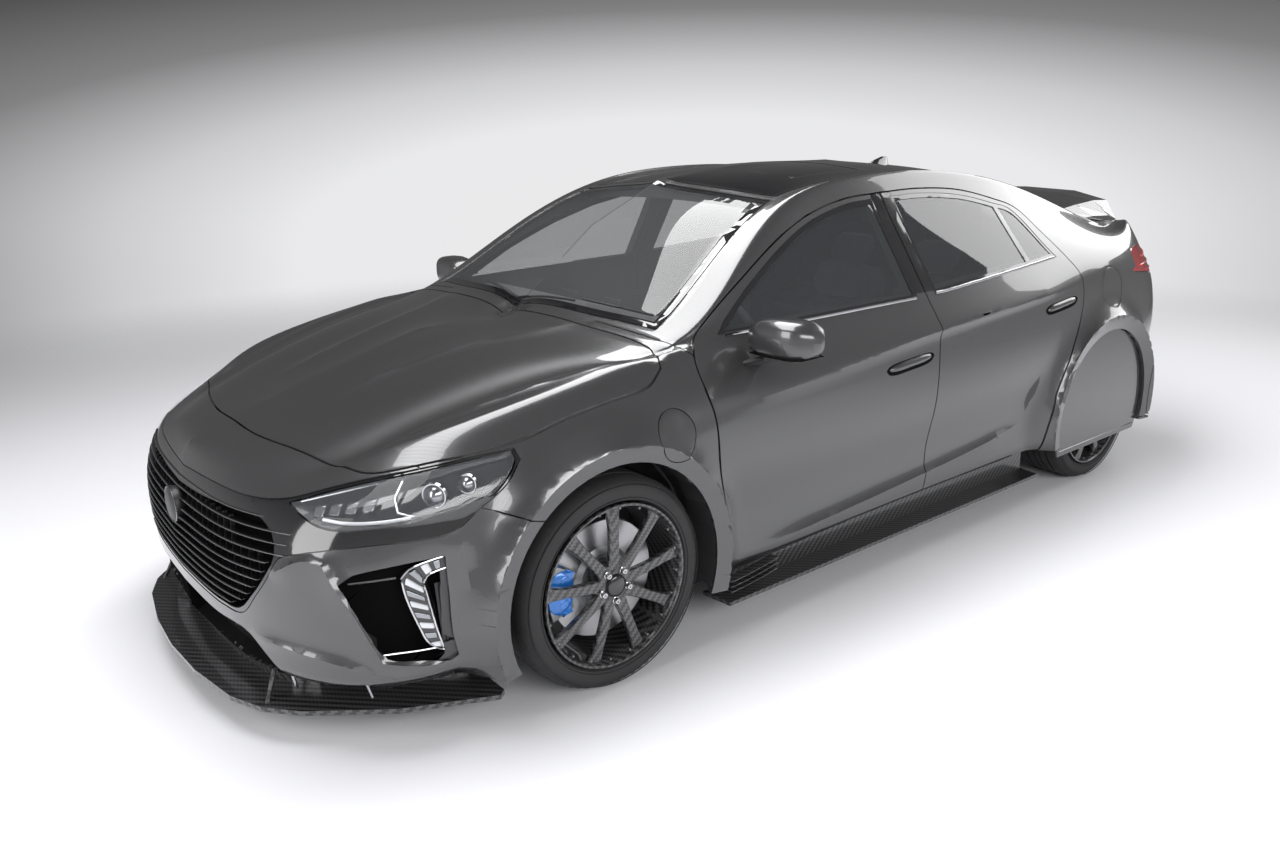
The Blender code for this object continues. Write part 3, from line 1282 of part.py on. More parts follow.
def main():
    """Builds every piece of the car."""
    clear_scene()
    skin = build_skin()
    surface = BVHTree.FromObject(skin, bpy.context.evaluated_depsgraph_get())
    glass_outer = inside_of(skin, "glass_outer", GLASS_INSET)
    glass_layer = combine(glass_outer, inside_of(skin, "glass_inner", GLASS_INSET + GLASS_WALL), "DIFFERENCE")
    inner = build_inner()

    shell = copy_of(skin, "shell")
    arches = zip((FRONT_AXLE_X, REAR_AXLE_X), FLARE_REACH, FLARE_WIDTHS)
    for x, reach, width in arches:
        left = flare("flare", surface, x, HALF_WIDTH + reach, width, FLARE_LOW_ANGLE, FLARE_HIGH_ANGLE)
        right = mirrored(left, "flare_right")
        combine(shell, left, "UNION")
        combine(shell, right, "UNION")
    combine(shell, inner, "DIFFERENCE")
    floor = BVHTree.FromObject(shell, bpy.context.evaluated_depsgraph_get())
    for x in (FRONT_AXLE_X, REAR_AXLE_X):
        for side in (1, -1):
            low, high = sorted((side * ARCH_INNER_Y, side * WIDTH))
            drum = prism("drum", circle((x, TYRE_RADIUS), ARCH_RADIUS, ARCH_COUNT), from_side, low, high)
            combine(shell, drum, "DIFFERENCE")

    panels = Panels(shell, surface)
    top = (*TOP_REACH,)
    hood = panels.take("hood", top_outline(HOOD_SHARES), "top", top, PAINT, HOOD_DRAFT)
    opened(panels.rest, top_outline(WINDSHIELD_SHARES), surface, "top", top)
    windshield = pane("windshield", glass_layer, top_outline(WINDSHIELD_SHARES), surface, "top", top)
    roof = panels.take("roof_panel", top_outline(ROOF_SHARES), "top", top, GLOSS_BLACK, gap=SEAT_GAP)
    half = y_of(HATCH_HALF_SHARE)
    hatch = copy_of(panels.rest, "hatch")
    hatch_line = side_outline(HATCH_SIDE_SHARES)
    combine(hatch, prism("cutter", grown(hatch_line, -SHUT_GAP / 2), from_side, -half + SHUT_GAP / 2,
                         half - SHUT_GAP / 2), "INTERSECT")
    combine(panels.rest, prism("cutter", grown(hatch_line, SHUT_GAP / 2), from_side, -half - SHUT_GAP / 2,
                               half + SHUT_GAP / 2), "DIFFERENCE")
    set_finish(largest_only(hatch), PAINT)
    opened(hatch, top_outline(BACKLIGHT_SHARES), surface, "top", top)
    hatch_glass = pane("hatch_glass", glass_layer, top_outline(BACKLIGHT_SHARES), surface, "top", top)

    pieces = {"hood": hood, "windshield": windshield, "roof_panel": roof, "hatch": hatch, "hatch_glass": hatch_glass}
    for side, word in ((1, "left"), (-1, "right")):
        for place, door_line, window_line in (
            ("front", FRONT_DOOR_SHARES, FRONT_WINDOW_SHARES),
            ("rear", REAR_DOOR_SHARES, REAR_WINDOW_SHARES),
        ):
            door = panels.take(f"{place}_door_{word}", side_outline(door_line), "side", SIDE_REACH, PAINT,
                               DRAFT, side)
            opened(door, side_outline(window_line), surface, "side", SIDE_REACH, side)
            pieces[f"{place}_door_{word}"] = door
            pieces[f"{place}_door_glass_{word}"] = pane(
                f"{place}_door_glass_{word}", glass_layer, side_outline(window_line), surface, "side",
                SIDE_REACH, side)
        lamp = panels.take(f"headlamp_{word}", half_front(HEADLAMP_SHARES), "front", LAMP_REACH, LAMP,
                           side=side, gap=SEAT_GAP)
        pieces[f"headlamp_{word}"] = lamp
        tail = panels.take(f"tail_lamp_{word}", half_front(TAIL_LAMP_SHARES), "rear", REAR_REACH, RED_LAMP,
                           side=side, gap=SEAT_GAP)
        pieces[f"tail_lamp_{word}"] = tail
    pieces["grille"] = panels.take("grille", front_outline(GRILLE_SHARES), "front", FRONT_REACH, GLOSS_BLACK,
                                   gap=SEAT_GAP)
    pieces["front_bumper"] = panels.take("front_bumper", side_outline(FRONT_BUMPER_SHARES), "side",
                                         ACROSS_REACH, PAINT, gap=SEAT_GAP)
    pieces["rear_bumper"] = panels.take("rear_bumper", side_outline(REAR_BUMPER_SHARES), "side",
                                        ACROSS_REACH, GLOSS_BLACK, gap=SEAT_GAP)
    for side, word in ((1, "left"), (-1, "right")):
        fender = panels.take(f"front_fender_{word}", side_outline(FENDER_SHARES), "side", FENDER_REACH, PAINT,
                             side=side, gap=SEAT_GAP)
        for made in door_leaves(panels, FRONT_DOOR_SHARES, FRONT_EDGE_COUNT, LEAF_ROOTS[0], side):
            combine(fender, made, "UNION")
        pieces[f"front_fender_{word}"] = fender

    body = largest_only(panels.rest)
    body.name = "body_shell"
    wells = []
    for x, tuck in zip((FRONT_AXLE_X, REAR_AXLE_X), WELL_TUCKS):
        well = wheel_well("well", x, ARCH_INNER_Y, WHEEL_OUTER_Y - tuck)
        inside = ARCH_INNER_Y - WELL_WALL * 2
        half_x, (low_z, high_z) = (BEAM_HALF_X, BEAM_Z) if x < 0 else (SUBFRAME_HALF_X, SUBFRAME_Z)
        combine(well, block("notch", (x - half_x - WELL_WALL, inside, low_z - WELL_WALL),
                            (x + half_x + WELL_WALL, ARCH_INNER_Y + WELL_WALL, high_z + WELL_WALL)), "DIFFERENCE")
        wells += [well, mirrored(well, "well_right")]
    bulkhead = prism("bulkhead", side_outline(BULKHEAD_SHARES), from_side, -BULKHEAD_HALF_Y, BULKHEAD_HALF_Y)
    pads = [
        block("pad", (x - JACK_PAD_HALF, y - JACK_PAD_HALF, JACK_PAD_Z[0]),
              (x + JACK_PAD_HALF, y + JACK_PAD_HALF, JACK_PAD_Z[1]))
        for x in JACK_PAD_X for y in (-JACK_PAD_Y, JACK_PAD_Y)
    ]
    leaves = [made for side in (1, -1)
              for made in door_leaves(panels, REAR_DOOR_SHARES, REAR_EDGE_COUNT, LEAF_ROOTS[1], side)]
    leaves += lid_leaves(surface)
    joined("body_shell", [body, bulkhead] + wells + pads + leaves, PAINT)
    largest_only(body)
    pieces["body_shell"] = body

    pieces["engine_block"] = block(
        "engine_block", (FRONT_AXLE_X + ENGINE_AHEAD[0], -ENGINE_HALF_Y, SUBFRAME_Z[1] + SEAT_GAP),
        (FRONT_AXLE_X + ENGINE_AHEAD[1], ENGINE_HALF_Y, ENGINE_TOP_Z), STEEL)
    pieces["dashboard"] = build_dashboard()
    pieces["front_seat_left"] = seat("front_seat_left", floor, FRONT_SEAT_X, FRONT_SEAT_Y, FRONT_SEAT_HALF)
    pieces["front_seat_right"] = seat("front_seat_right", floor, FRONT_SEAT_X, -FRONT_SEAT_Y, FRONT_SEAT_HALF)
    pieces["rear_seat"] = seat("rear_seat", floor, REAR_SEAT_X, 0, REAR_SEAT_HALF)
    clearance = inside_of(skin, "clearance", -SEAT_GAP)
    pieces["front_splitter"] = build_splitter(clearance)
    pieces["front_subframe"] = build_subframe(floor)
    pieces["rear_axle"] = build_rear_axle(floor)

    mirror_at, stalk_foot = place_of(MIRROR_PLACE_SHARES), place_of(STALK_FOOT_SHARES)
    stalk_head = mirror_at - Vector((0, MIRROR_SIZE[1] / 2, MIRROR_SIZE[2] / 2))
    for side, word in ((1, "left"), (-1, "right")):
        knuckle = build_upright("knuckle", FRONT_AXLE_X, CALIPER_ANGLES[0])
        skirt = prism("skirt", [(x_of(u), y_of(v)) for u, v in SKIRT_SHARES], from_top, *SKIRT_Z)
        rib = block("rib", (x_of(SKIRT_SHARES[2][0]), y_of(SKIRT_RIB_SHARES[0]), SKIRT_Z[0]),
                    (x_of(SKIRT_SHARES[1][0]), y_of(SKIRT_RIB_SHARES[1]), z_of(RIB_TOP_SHARE)))
        skirt = joined("skirt", [skirt, rib], CARBON)
        largest_only(combine(skirt, clearance, "DIFFERENCE", keep=True))
        cover = build_cover()
        mirror = joined("mirror", [
            ellipsoid("housing", mirror_at, MIRROR_SIZE, PAINT),
            loft("stalk", [
                [(spot.x + a * STALK_HALF[0], spot.y, spot.z + b * STALK_HALF[1])
                 for a, b in ((-1, -1), (1, -1), (1, 1), (-1, 1))]
                for spot in (stalk_foot, stalk_head)
            ])], PAINT)
        largest_only(combine(mirror, clearance, "DIFFERENCE", keep=True))
        for base, key in ((knuckle, "knuckle"), (skirt, "side_skirt"), (cover, "rear_wheel_cover"),
                          (mirror, "mirror")):
            name = f"{key}_{word}"
            if side < 0:
                twin = mirrored(base, name)
                bpy.data.objects.remove(base)
                base = twin
            base.name = name
            pieces[name] = base
        for place, x in (("front", FRONT_AXLE_X), ("rear", REAR_AXLE_X)):
            pieces[f"{place}_tyre_{word}"] = build_tyre(f"{place}_tyre_{word}", x, side)
            pieces[f"{place}_rim_{word}"] = build_rim(f"{place}_rim_{word}", x, side)

    spoiler = loft("spoiler", [
        [(x, y_of(side * v), z) for x, z in side_outline(profile)]
        for side, rows in ((-1, SPOILER_SHARES[:0:-1]), (1, SPOILER_SHARES)) for v, profile in rows
    ])
    pieces["spoiler"] = set_finish(largest_only(combine(spoiler, clearance, "DIFFERENCE")), PAINT)

    for name in ("skin", "inner", "glass_inner"):
        found = bpy.data.objects.get(name)
        if found:
            bpy.data.objects.remove(found)
    bpy.data.objects.remove(glass_layer)
    for name, piece in pieces.items():
        piece.name = name
        tidy(piece)
    for name, at in joint_places().items():
        move_origin(pieces[name], at)
    print(sum(len(piece.data.polygons) for piece in pieces.values()), "triangles")
    for obj in list(bpy.data.objects):
        if obj.name not in pieces:
            print("spare object", obj.name)
            bpy.data.objects.remove(obj)


def joint_places():
    """Where each moving piece's object has its origin: on its joint's axis."""
    places = {"hood": place_of(HOOD_HINGE_SHARES), "hatch": place_of(HATCH_HINGE_SHARES)}
    for side, word in ((1, "left"), (-1, "right")):
        for place, shares in (("front", FRONT_DOOR_HINGE_SHARES), ("rear", REAR_DOOR_HINGE_SHARES)):
            hinge = place_of(shares)
            places[f"{place}_door_{word}"] = (hinge.x, side * hinge.y, hinge.z)
        places[f"knuckle_{word}"] = (FRONT_AXLE_X, side * STEER_AXIS_Y, TYRE_RADIUS)
        for place, x in (("front", FRONT_AXLE_X), ("rear", REAR_AXLE_X)):
            for piece in ("tyre", "rim"):
                places[f"{place}_{piece}_{word}"] = (x, side * WHEEL_Y, TYRE_RADIUS)
    return places


HOOD_HINGE_SHARES = (0.4626, 0.0, 0.7071)
HATCH_HINGE_SHARES = (-0.4339, 0.0, 0.9729)
FRONT_DOOR_HINGE_SHARES = (0.4207, 1.0054, 0.4286)
REAR_DOOR_HINGE_SHARES = (-0.0573, 1.0054, 0.4286)


def half_front(shares):
    """Front-view or rear-view points (y, z) on the left side only."""
    return [(y_of(v), z_of(w)) for v, w in shares]


FENDER_REACH = (0.44, 1.20)

main()
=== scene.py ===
"""A low, wide-bodied five-door liftback with a carbon front blade and covered rear wheels.

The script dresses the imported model: one smooth skin is grown from the feature lines of the body
and cut into panels along their seams. The wheels, lamps, glass, cabin and aerodynamic parts are
built round it.
"""

import json
import logging
import math
import sys
from dataclasses import dataclass, field
from enum import Enum, IntEnum

import bmesh
import bpy
import numpy as np
from mathutils import Matrix, Vector
from mathutils.bvhtree import BVHTree

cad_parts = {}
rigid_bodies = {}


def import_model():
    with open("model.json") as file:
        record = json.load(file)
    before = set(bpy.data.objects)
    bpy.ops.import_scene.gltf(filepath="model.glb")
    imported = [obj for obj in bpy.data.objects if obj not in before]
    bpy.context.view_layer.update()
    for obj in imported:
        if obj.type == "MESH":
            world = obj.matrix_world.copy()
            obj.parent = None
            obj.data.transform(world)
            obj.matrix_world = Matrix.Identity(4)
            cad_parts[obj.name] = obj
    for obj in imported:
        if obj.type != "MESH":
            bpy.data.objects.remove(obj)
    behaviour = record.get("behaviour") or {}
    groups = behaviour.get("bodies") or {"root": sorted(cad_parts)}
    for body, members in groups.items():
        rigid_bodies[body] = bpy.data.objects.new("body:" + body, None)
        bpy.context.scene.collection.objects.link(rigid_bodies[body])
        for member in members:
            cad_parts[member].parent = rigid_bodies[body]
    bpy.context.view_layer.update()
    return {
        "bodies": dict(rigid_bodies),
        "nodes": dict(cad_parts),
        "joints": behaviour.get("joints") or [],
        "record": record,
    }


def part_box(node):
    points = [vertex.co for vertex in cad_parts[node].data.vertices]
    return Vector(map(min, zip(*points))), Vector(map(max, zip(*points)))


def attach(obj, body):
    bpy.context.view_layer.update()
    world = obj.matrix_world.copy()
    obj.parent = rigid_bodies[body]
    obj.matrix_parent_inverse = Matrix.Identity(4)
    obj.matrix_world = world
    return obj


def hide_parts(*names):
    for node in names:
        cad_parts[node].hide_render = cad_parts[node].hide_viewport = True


log = logging.getLogger("car")

# Sizes of the whole car, in metres
LENGTH = 4.587
WIDTH = 1.84
HEIGHT = 1.40
TAIL_X = -LENGTH / 2
HALF_LENGTH = 2.27
HALF_WIDTH = WIDTH / 2
FRONT_AXLE_X = TAIL_X + 1.5859 * HALF_LENGTH
REAR_AXLE_X = FRONT_AXLE_X - 2.70
HUB_Z = 0.318
ARCH_RADIUS = 0.368
WHEEL_OUTER_Y = HALF_WIDTH - 0.015
SEAM = 0.0052
FINE_SEAM = 0.004
HAIR_SEAM = 0.003
ARCH_STEPS = 64
CORE_DEPTH = 0.009
SIDES = ((1, "left"), (-1, "right"))
CALIPER_ANGLES = (math.radians(5), math.radians(10))
CALIPER_Y = 0.766
PAST_CENTRE = -0.05  # where outlines of the left half close, beyond the centre line
EVERYWHERE = (-9.0, 9.0)
LEFT_SIDE = (0.45, 9)  # spans along a view's outward axis
LEFT_GREENHOUSE = (0.4, 9)
NOSE_END = (1.6, 9)
TAIL_END = (1.7, 9)

Point2 = tuple[float, float]
Point3 = tuple[float, float, float]


def x_of(share: float) -> float:
    """Returns a place along the car from its share of the half length."""
    return TAIL_X + (1 + share) * HALF_LENGTH


def y_of(share: float) -> float:
    """Returns a place across the car from its share of the half width."""
    return share * HALF_WIDTH


def z_of(share: float) -> float:
    """Returns a height from its share of the car's height."""
    return share * HEIGHT


class View(Enum):
    """A direction in which seams are drawn: its across, up and outward axes."""

    SIDE = ((1, 0, 0), (0, 0, 1), (0, 1, 0))
    TOP = ((1, 0, 0), (0, 1, 0), (0, 0, 1))
    FRONT = ((0, 1, 0), (0, 0, 1), (1, 0, 0))
    REAR = ((0, 1, 0), (0, 0, 1), (-1, 0, 0))
    CORNER = ((-0.6, 0.8, 0), (0, 0, 1), (0.8, 0.6, 0))

    @property
    def across(self) -> Vector:
        """The view's horizontal axis."""
        return Vector(self.value[0])

    @property
    def up(self) -> Vector:
        """The view's vertical axis."""
        return Vector(self.value[1])

    @property
    def out(self) -> Vector:
        """The direction from the car to the eye."""
        return Vector(self.value[2])

    def flat(self, point: Vector) -> Point2:
        """Returns a point as the view sees it."""
        return (point.dot(self.across), point.dot(self.up))


# ---------------------------------------------------------------- finishes


class NodeTree:
    """A short hand for a node tree."""

    def __init__(self, tree: bpy.types.NodeTree) -> None:
        """Takes the tree over."""
        self.tree = tree

    def add(self, kind: str, inputs: dict | None = None, **settings: object) -> bpy.types.Node:
        """Adds a node and fills its inputs with values or links.

        Args:
            kind: the node's type without its prefix.
            inputs: values or sockets by input name or number.
            settings: properties of the node.

        Returns:
            The node.
        """
        node = self.tree.nodes.new("ShaderNode" + kind)
        for key, value in settings.items():
            setattr(node, key, value)
        for key, value in (inputs or {}).items():
            if isinstance(value, bpy.types.NodeSocket):
                self.tree.links.new(value, node.inputs[key])
            else:
                node.inputs[key].default_value = value
        return node

    def maths(self, operation: str, first: object, second: object = 0.0) -> bpy.types.NodeSocket:
        """Adds one sum and returns its result."""
        return self.add("Math", {0: first, 1: second}, operation=operation).outputs[0]

    def ramp(self, value: bpy.types.NodeSocket,
             stops: list[tuple[float, tuple]]) -> bpy.types.NodeSocket:
        """Adds a colour ramp.

        Args:
            value: the socket that drives it.
            stops: places and their colours.

        Returns:
            The colour socket.
        """
        node = self.add("ValToRGB", {0: value})
        band = node.color_ramp
        while len(band.elements) < len(stops):
            band.elements.new(0.5)
        for element, (place, colour) in zip(band.elements, stops):
            element.position = place
            element.color = (*colour, 1)
        return node.outputs[0]


class Nodes(NodeTree):
    """A short hand for one material's node tree and its Principled shader."""

    def __init__(self, name: str) -> None:
        """Starts the material of this name.

        Args:
            name: the material's name.
        """
        self.material = bpy.data.materials.new(name)
        self.material.use_nodes = True
        super().__init__(self.material.node_tree)
        self.shader = self.tree.nodes["Principled BSDF"]

    def put(self, **values: object) -> None:
        """Sets sockets of the shader by name, with spaces as underscores."""
        for key, value in values.items():
            self.shader.inputs[key.replace("_", " ")].default_value = value

    def link(self, socket: bpy.types.NodeSocket, name: str) -> None:
        """Links a socket to one of the shader's inputs."""
        self.tree.links.new(socket, self.shader.inputs[name])

    def bump(self, height: bpy.types.NodeSocket, strength: float, distance: float) -> None:
        """Adds a bump of a height socket to the shader."""
        node = self.add("Bump", {"Height": height, "Strength": strength, "Distance": distance})
        self.link(node.outputs[0], "Normal")


def shade(value: float, tint: Point3 = (1.0, 1.0, 1.03)) -> tuple[float, float, float]:
    """Returns a grey with a slight tint."""
    return (value * tint[0], value * tint[1], value * tint[2])


@dataclass(frozen=True)
class WovenFinish:
    """Lacquered woven fibre: two shades in a twill under a clear coat."""

    name: str
    dark: float
    light: float
    pitch: float
    roughness: float
    metallic: float = 0.35
    relief: float = 0.0

    def make(self) -> bpy.types.Material:
        """Returns the material.

        Returns:
            The material.
        """
        n = Nodes(self.name)
        n.put(Roughness=self.roughness, Metallic=self.metallic, Coat_Weight=1.0,
              Coat_Roughness=0.03, Coat_IOR=1.5)
        place = n.add("TexCoord").outputs["Object"]
        split = n.add("SeparateXYZ", {0: place})
        x, y, z = split.outputs
        facing = n.add("SeparateXYZ", {0: n.add("NewGeometry").outputs["Normal"]})
        level = n.maths("GREATER_THAN", n.maths("ABSOLUTE", facing.outputs[2]), 0.72)
        nose = n.maths("GREATER_THAN", n.maths("ABSOLUTE", facing.outputs[0]), 0.72)
        upright = n.maths("SUBTRACT", 1.0, level)
        across = n.add("Mix", {0: nose, 2: x, 3: y}, data_type="FLOAT").outputs[0]
        rise = n.add("Mix", {0: upright, 2: y, 3: z}, data_type="FLOAT").outputs[0]
        u = n.maths("DIVIDE", across, self.pitch)
        v = n.maths("DIVIDE", rise, self.pitch)
        step = n.maths("FLOOR", v)
        twill = n.maths("MODULO", n.maths("ADD", n.maths("ADD", n.maths("FLOOR", u), step), 4000.0),
                        4.0)
        over = n.maths("LESS_THAN", twill, 2.0)
        rib = n.maths("ABSOLUTE", n.maths("SUBTRACT", n.maths("FRACT", u), 0.5))
        rib_v = n.maths("ABSOLUTE", n.maths("SUBTRACT", n.maths("FRACT", v), 0.5))
        thread = n.add("Mix", {0: over, 2: rib, 3: rib_v}, data_type="FLOAT").outputs[0]
        tone = n.maths("SUBTRACT", n.maths("MULTIPLY", over, 0.62),
                       n.maths("MULTIPLY", thread, 0.35))
        cloud = n.add("TexNoise", {"Vector": place, "Scale": 9.0, "Detail": 3.0}).outputs[0]
        mixed = n.maths("ADD", tone, n.maths("MULTIPLY", n.maths("SUBTRACT", cloud, 0.5), 0.12))
        n.link(n.ramp(mixed, [(0.0, shade(self.dark)), (0.62, shade(self.light))]), "Base Color")
        if self.relief:
            n.bump(tone, 0.25, self.relief)
        return n.material


@dataclass(frozen=True)
class PlainFinish:
    """Paint, plastic, metal or rubber with a fine grain and soft cloudiness."""

    name: str
    colour: Point3
    roughness: float
    metallic: float = 0.0
    coat: float = 0.0
    grain: float = 0.0
    grain_scale: float = 900.0
    variation: float = 0.08
    glow: float = 0.0
    shine: float = 0.5

    def make(self) -> bpy.types.Material:
        """Returns the material.

        Returns:
            The material.
        """
        n = Nodes(self.name)
        n.put(Metallic=self.metallic, Coat_Weight=self.coat, Coat_Roughness=0.03,
              Specular_IOR_Level=self.shine)
        place = n.add("TexCoord").outputs["Object"]
        cloud = n.add("TexNoise", {"Vector": place, "Scale": 14.0, "Detail": 5.0}).outputs[0]
        low = tuple(c * (1 - self.variation) for c in self.colour)
        high = tuple(min(c * (1 + self.variation), 1.0) for c in self.colour)
        n.link(n.ramp(cloud, [(0.3, low), (0.7, high)]), "Base Color")
        rough = n.add("MapRange", {0: cloud, 3: self.roughness * 0.85,
                                   4: min(self.roughness * 1.15, 1.0)})
        n.link(rough.outputs[0], "Roughness")
        if self.grain:
            fine = n.add("TexNoise", {"Vector": place, "Scale": self.grain_scale,
                                      "Detail": 2.0}).outputs[0]
            n.bump(fine, 0.4, self.grain)
        if self.glow:
            n.put(Emission_Color=(*self.colour, 1), Emission_Strength=self.glow)
        return n.material


@dataclass(frozen=True)
class ClearFinish:
    """Glass or a clear lens, seen through by its alpha."""

    name: str
    colour: Point3
    opacity: float
    roughness: float = 0.02

    def make(self) -> bpy.types.Material:
        """Returns the material.

        Returns:
            The material.
        """
        n = Nodes(self.name)
        n.put(Roughness=self.roughness, Coat_Weight=1.0, Coat_Roughness=0.01,
              Specular_IOR_Level=0.8, Alpha=self.opacity)
        place = n.add("TexCoord").outputs["Object"]
        cloud = n.add("TexNoise", {"Vector": place, "Scale": 2.0, "Detail": 1.0}).outputs[0]
        low = tuple(c * 0.94 for c in self.colour)
        n.link(n.ramp(cloud, [(0.3, low), (0.7, self.colour)]), "Base Color")
        return n.material


@dataclass(frozen=True)
class FloorFinish:
    """A white floor that fades away at a distance from the car."""

    name: str
    colour: float
    near: float
    far: float

    def make(self) -> bpy.types.Material:
        """Returns the material.

        Returns:
            The material.
        """
        n = Nodes(self.name)
        n.put(Roughness=0.7, Specular_IOR_Level=0.2)
        place = n.add("TexCoord").outputs["Object"]
        cloud = n.add("TexNoise", {"Vector": place, "Scale": 0.4, "Detail": 1.0}).outputs[0]
        n.link(n.ramp(cloud, [(0.3, shade(self.colour * 0.985)), (0.7, shade(self.colour))]),
               "Base Color")
        away = n.add("VectorMath", {0: place}, operation="LENGTH").outputs["Value"]
        fade = n.add("MapRange", {0: away, 1: self.near, 2: self.far, 3: 1.0, 4: 0.0},
                     interpolation_type="SMOOTHSTEP")
        n.link(fade.outputs[0], "Alpha")
        return n.material


FINISHES = {
    "paint": WovenFinish("graphite_woven_paint", 0.080, 0.092, 0.0030, 0.27, 0.65),
    "carbon": WovenFinish("open_carbon_weave", 0.012, 0.085, 0.0075, 0.30, 0.2, 0.0002),
    "black": PlainFinish("gloss_black", (0.010, 0.010, 0.011), 0.10, coat=1.0),
    "roof": PlainFinish("roof_black", (0.006, 0.006, 0.007), 0.06, coat=1.0),
    "satin": PlainFinish("satin_black_trim", (0.018, 0.018, 0.019), 0.42, grain=0.0001),
    "jamb": PlainFinish("jamb_paint", (0.05, 0.05, 0.052), 0.4, 0.3, coat=0.3),
    "chrome": PlainFinish("bright_metal", (0.62, 0.62, 0.64), 0.12, 1.0),
    "steel": PlainFinish("cast_metal", (0.30, 0.31, 0.32), 0.45, 0.9, grain=0.0002,
                         grain_scale=300.0),
    "disc": PlainFinish("brake_disc_metal", (0.42, 0.42, 0.43), 0.30, 1.0, grain=0.0001,
                        grain_scale=1500.0),
    "caliper": PlainFinish("blue_caliper_paint", (0.015, 0.16, 0.55), 0.28, 0.2, coat=1.0),
    "rubber": PlainFinish("tyre_rubber", (0.022, 0.022, 0.023), 0.72, grain=0.0003,
                          grain_scale=420.0),
    "cloth": PlainFinish("seat_cloth", (0.055, 0.055, 0.060), 0.85, grain=0.0006, grain_scale=700.0,
                         variation=0.2),
    "dash": PlainFinish("dash_skin", (0.085, 0.085, 0.09), 0.6, grain=0.0004, grain_scale=500.0),
    "glass": ClearFinish("grey_glass", (0.045, 0.048, 0.052), 0.62),
    "screen": ClearFinish("clear_screen_glass", (0.14, 0.145, 0.15), 0.38),
    "lens": ClearFinish("clear_lamp_lens", (0.30, 0.31, 0.33), 0.16, 0.01),
    "red": PlainFinish("red_lens", (0.42, 0.008, 0.010), 0.10, coat=1.0, glow=0.06),
    "lit": PlainFinish("white_light_guide", (0.62, 0.64, 0.67), 0.2, coat=1.0, glow=0.12),
    "reflector": PlainFinish("lamp_reflector", (0.34, 0.35, 0.37), 0.20, 0.95),
    "red_lit": PlainFinish("red_light_strip", (0.75, 0.05, 0.04), 0.2, coat=1.0, glow=0.15),
    # Near-black, dull recess finish: black plastic made far darker and duller than the other black
    # trims, as painted shade of deep openings and pockets.
    "duct": PlainFinish("duct_black", (0.003, 0.003, 0.0032), 0.85, shine=0.08),
    "edge": PlainFinish("bright_edge_metal", (0.42, 0.42, 0.43), 0.22, 1.0),
    "floor": FloorFinish("studio_floor", 0.86, 3.2, 7.5),
}
MADE: dict[str, bpy.types.Material] = {}


def finish_of(name: str) -> bpy.types.Material:
    """Returns a finish's material, made once."""
    if name not in MADE:
        MADE[name] = FINISHES[name].make()
    return MADE[name]


# ---------------------------------------------------------------- mesh helpers


def circle(centre: Point2, radius: float, count: int, tall: float | None = None) -> list[Point2]:
    """Returns the points of a circle, or of an ellipse where its height is given.

    Args:
        centre: its middle.
        radius: its radius, or half its width.
        count: how many points it has.
        tall: half its height.

    Returns:
        The points.
    """
    rise = radius if tall is None else tall
    return [(centre[0] + radius * math.cos(math.tau * i / count),
             centre[1] + rise * math.sin(math.tau * i / count)) for i in range(count)]


def upright_ring(at: Vector, radius: float, shift: float, count: int) -> list[Vector]:
    """Returns a circle about a line across the car, shifted along that line."""
    return [at + Vector((x, shift, z)) for x, z in circle((0, 0), radius, count)]


def spoke_axes(angle: float) -> tuple[Vector, Vector]:
    """Returns a wheel's outward direction at an angle, and the direction of its turn there."""
    c, s = math.cos(angle), math.sin(angle)
    return Vector((c, 0, s)), Vector((-s, 0, c))


def squarish(value: float, power: float) -> float:
    """Returns a sine's or cosine's value with its curve drawn towards a square."""
    return math.copysign(abs(value) ** power, value)


def smooth_line(points: list, closed: bool = True, spacing: float = 0.02,
                tension: float = 0.5) -> list[Vector]:
    """Returns a line through the points, rounded between them.

    Args:
        points: the points to pass, of any dimension.
        closed: whether the line runs back to its start.
        spacing: about how far apart its points lie.
        tension: how round it is, from 0, straight.

    Returns:
        The finer line.
    """
    given = [Vector(p) for p in points]
    count = len(given)
    line: list[Vector] = []
    for i in range(count if closed else count - 1):
        a, b = given[i], given[(i + 1) % count]
        before = given[i - 1] if closed or i else a
        after = given[(i + 2) % count] if closed or i + 2 < count else b
        corner_a = turned_sharply(before, a, b)
        corner_b = turned_sharply(a, b, after)
        reach = (b - a).length
        start = (b - a) if corner_a else (b - before).normalized() * reach
        end = (b - a) if corner_b else (after - a).normalized() * reach
        steps = max(int(reach / spacing), 1)
        for k in range(steps):
            t = k / steps
            h = (2 * t**3 - 3 * t**2 + 1, t**3 - 2 * t**2 + t, 3 * t**2 - 2 * t**3, t**3 - t**2)
            line.append(a * h[0] + start * (h[1] * tension * 2) + b * h[2]
                        + end * (h[3] * tension * 2))
    if not closed:
        line.append(given[-1])
    return line


def turned_sharply(before: Vector, at: Vector, after: Vector) -> bool:
    """Tells whether a line turns by more than 50 degrees at a point.

    Args:
        before: the point before.
        at: the point.
        after: the point after.

    Returns:
        Whether it does.
    """
    a, b = at - before, after - at
    if a.length < 1e-9 or b.length < 1e-9:
        return True
    return a.normalized().dot(b.normalized()) < math.cos(math.radians(50))


def new_piece(name: str, verts: list, faces: list, finish: str,
              smooth: float = 35.0) -> bpy.types.Object:
    """Makes a mesh object.

    Args:
        name: the piece's name.
        verts: its points.
        faces: its faces.
        finish: the finish's name.
        smooth: edges under this angle, in degrees, are shaded round.

    Returns:
        The object.
    """
    mesh = bpy.data.meshes.new(name)
    mesh.from_pydata([tuple(v) for v in verts], [], faces)
    return placed(name, mesh, finish, smooth)


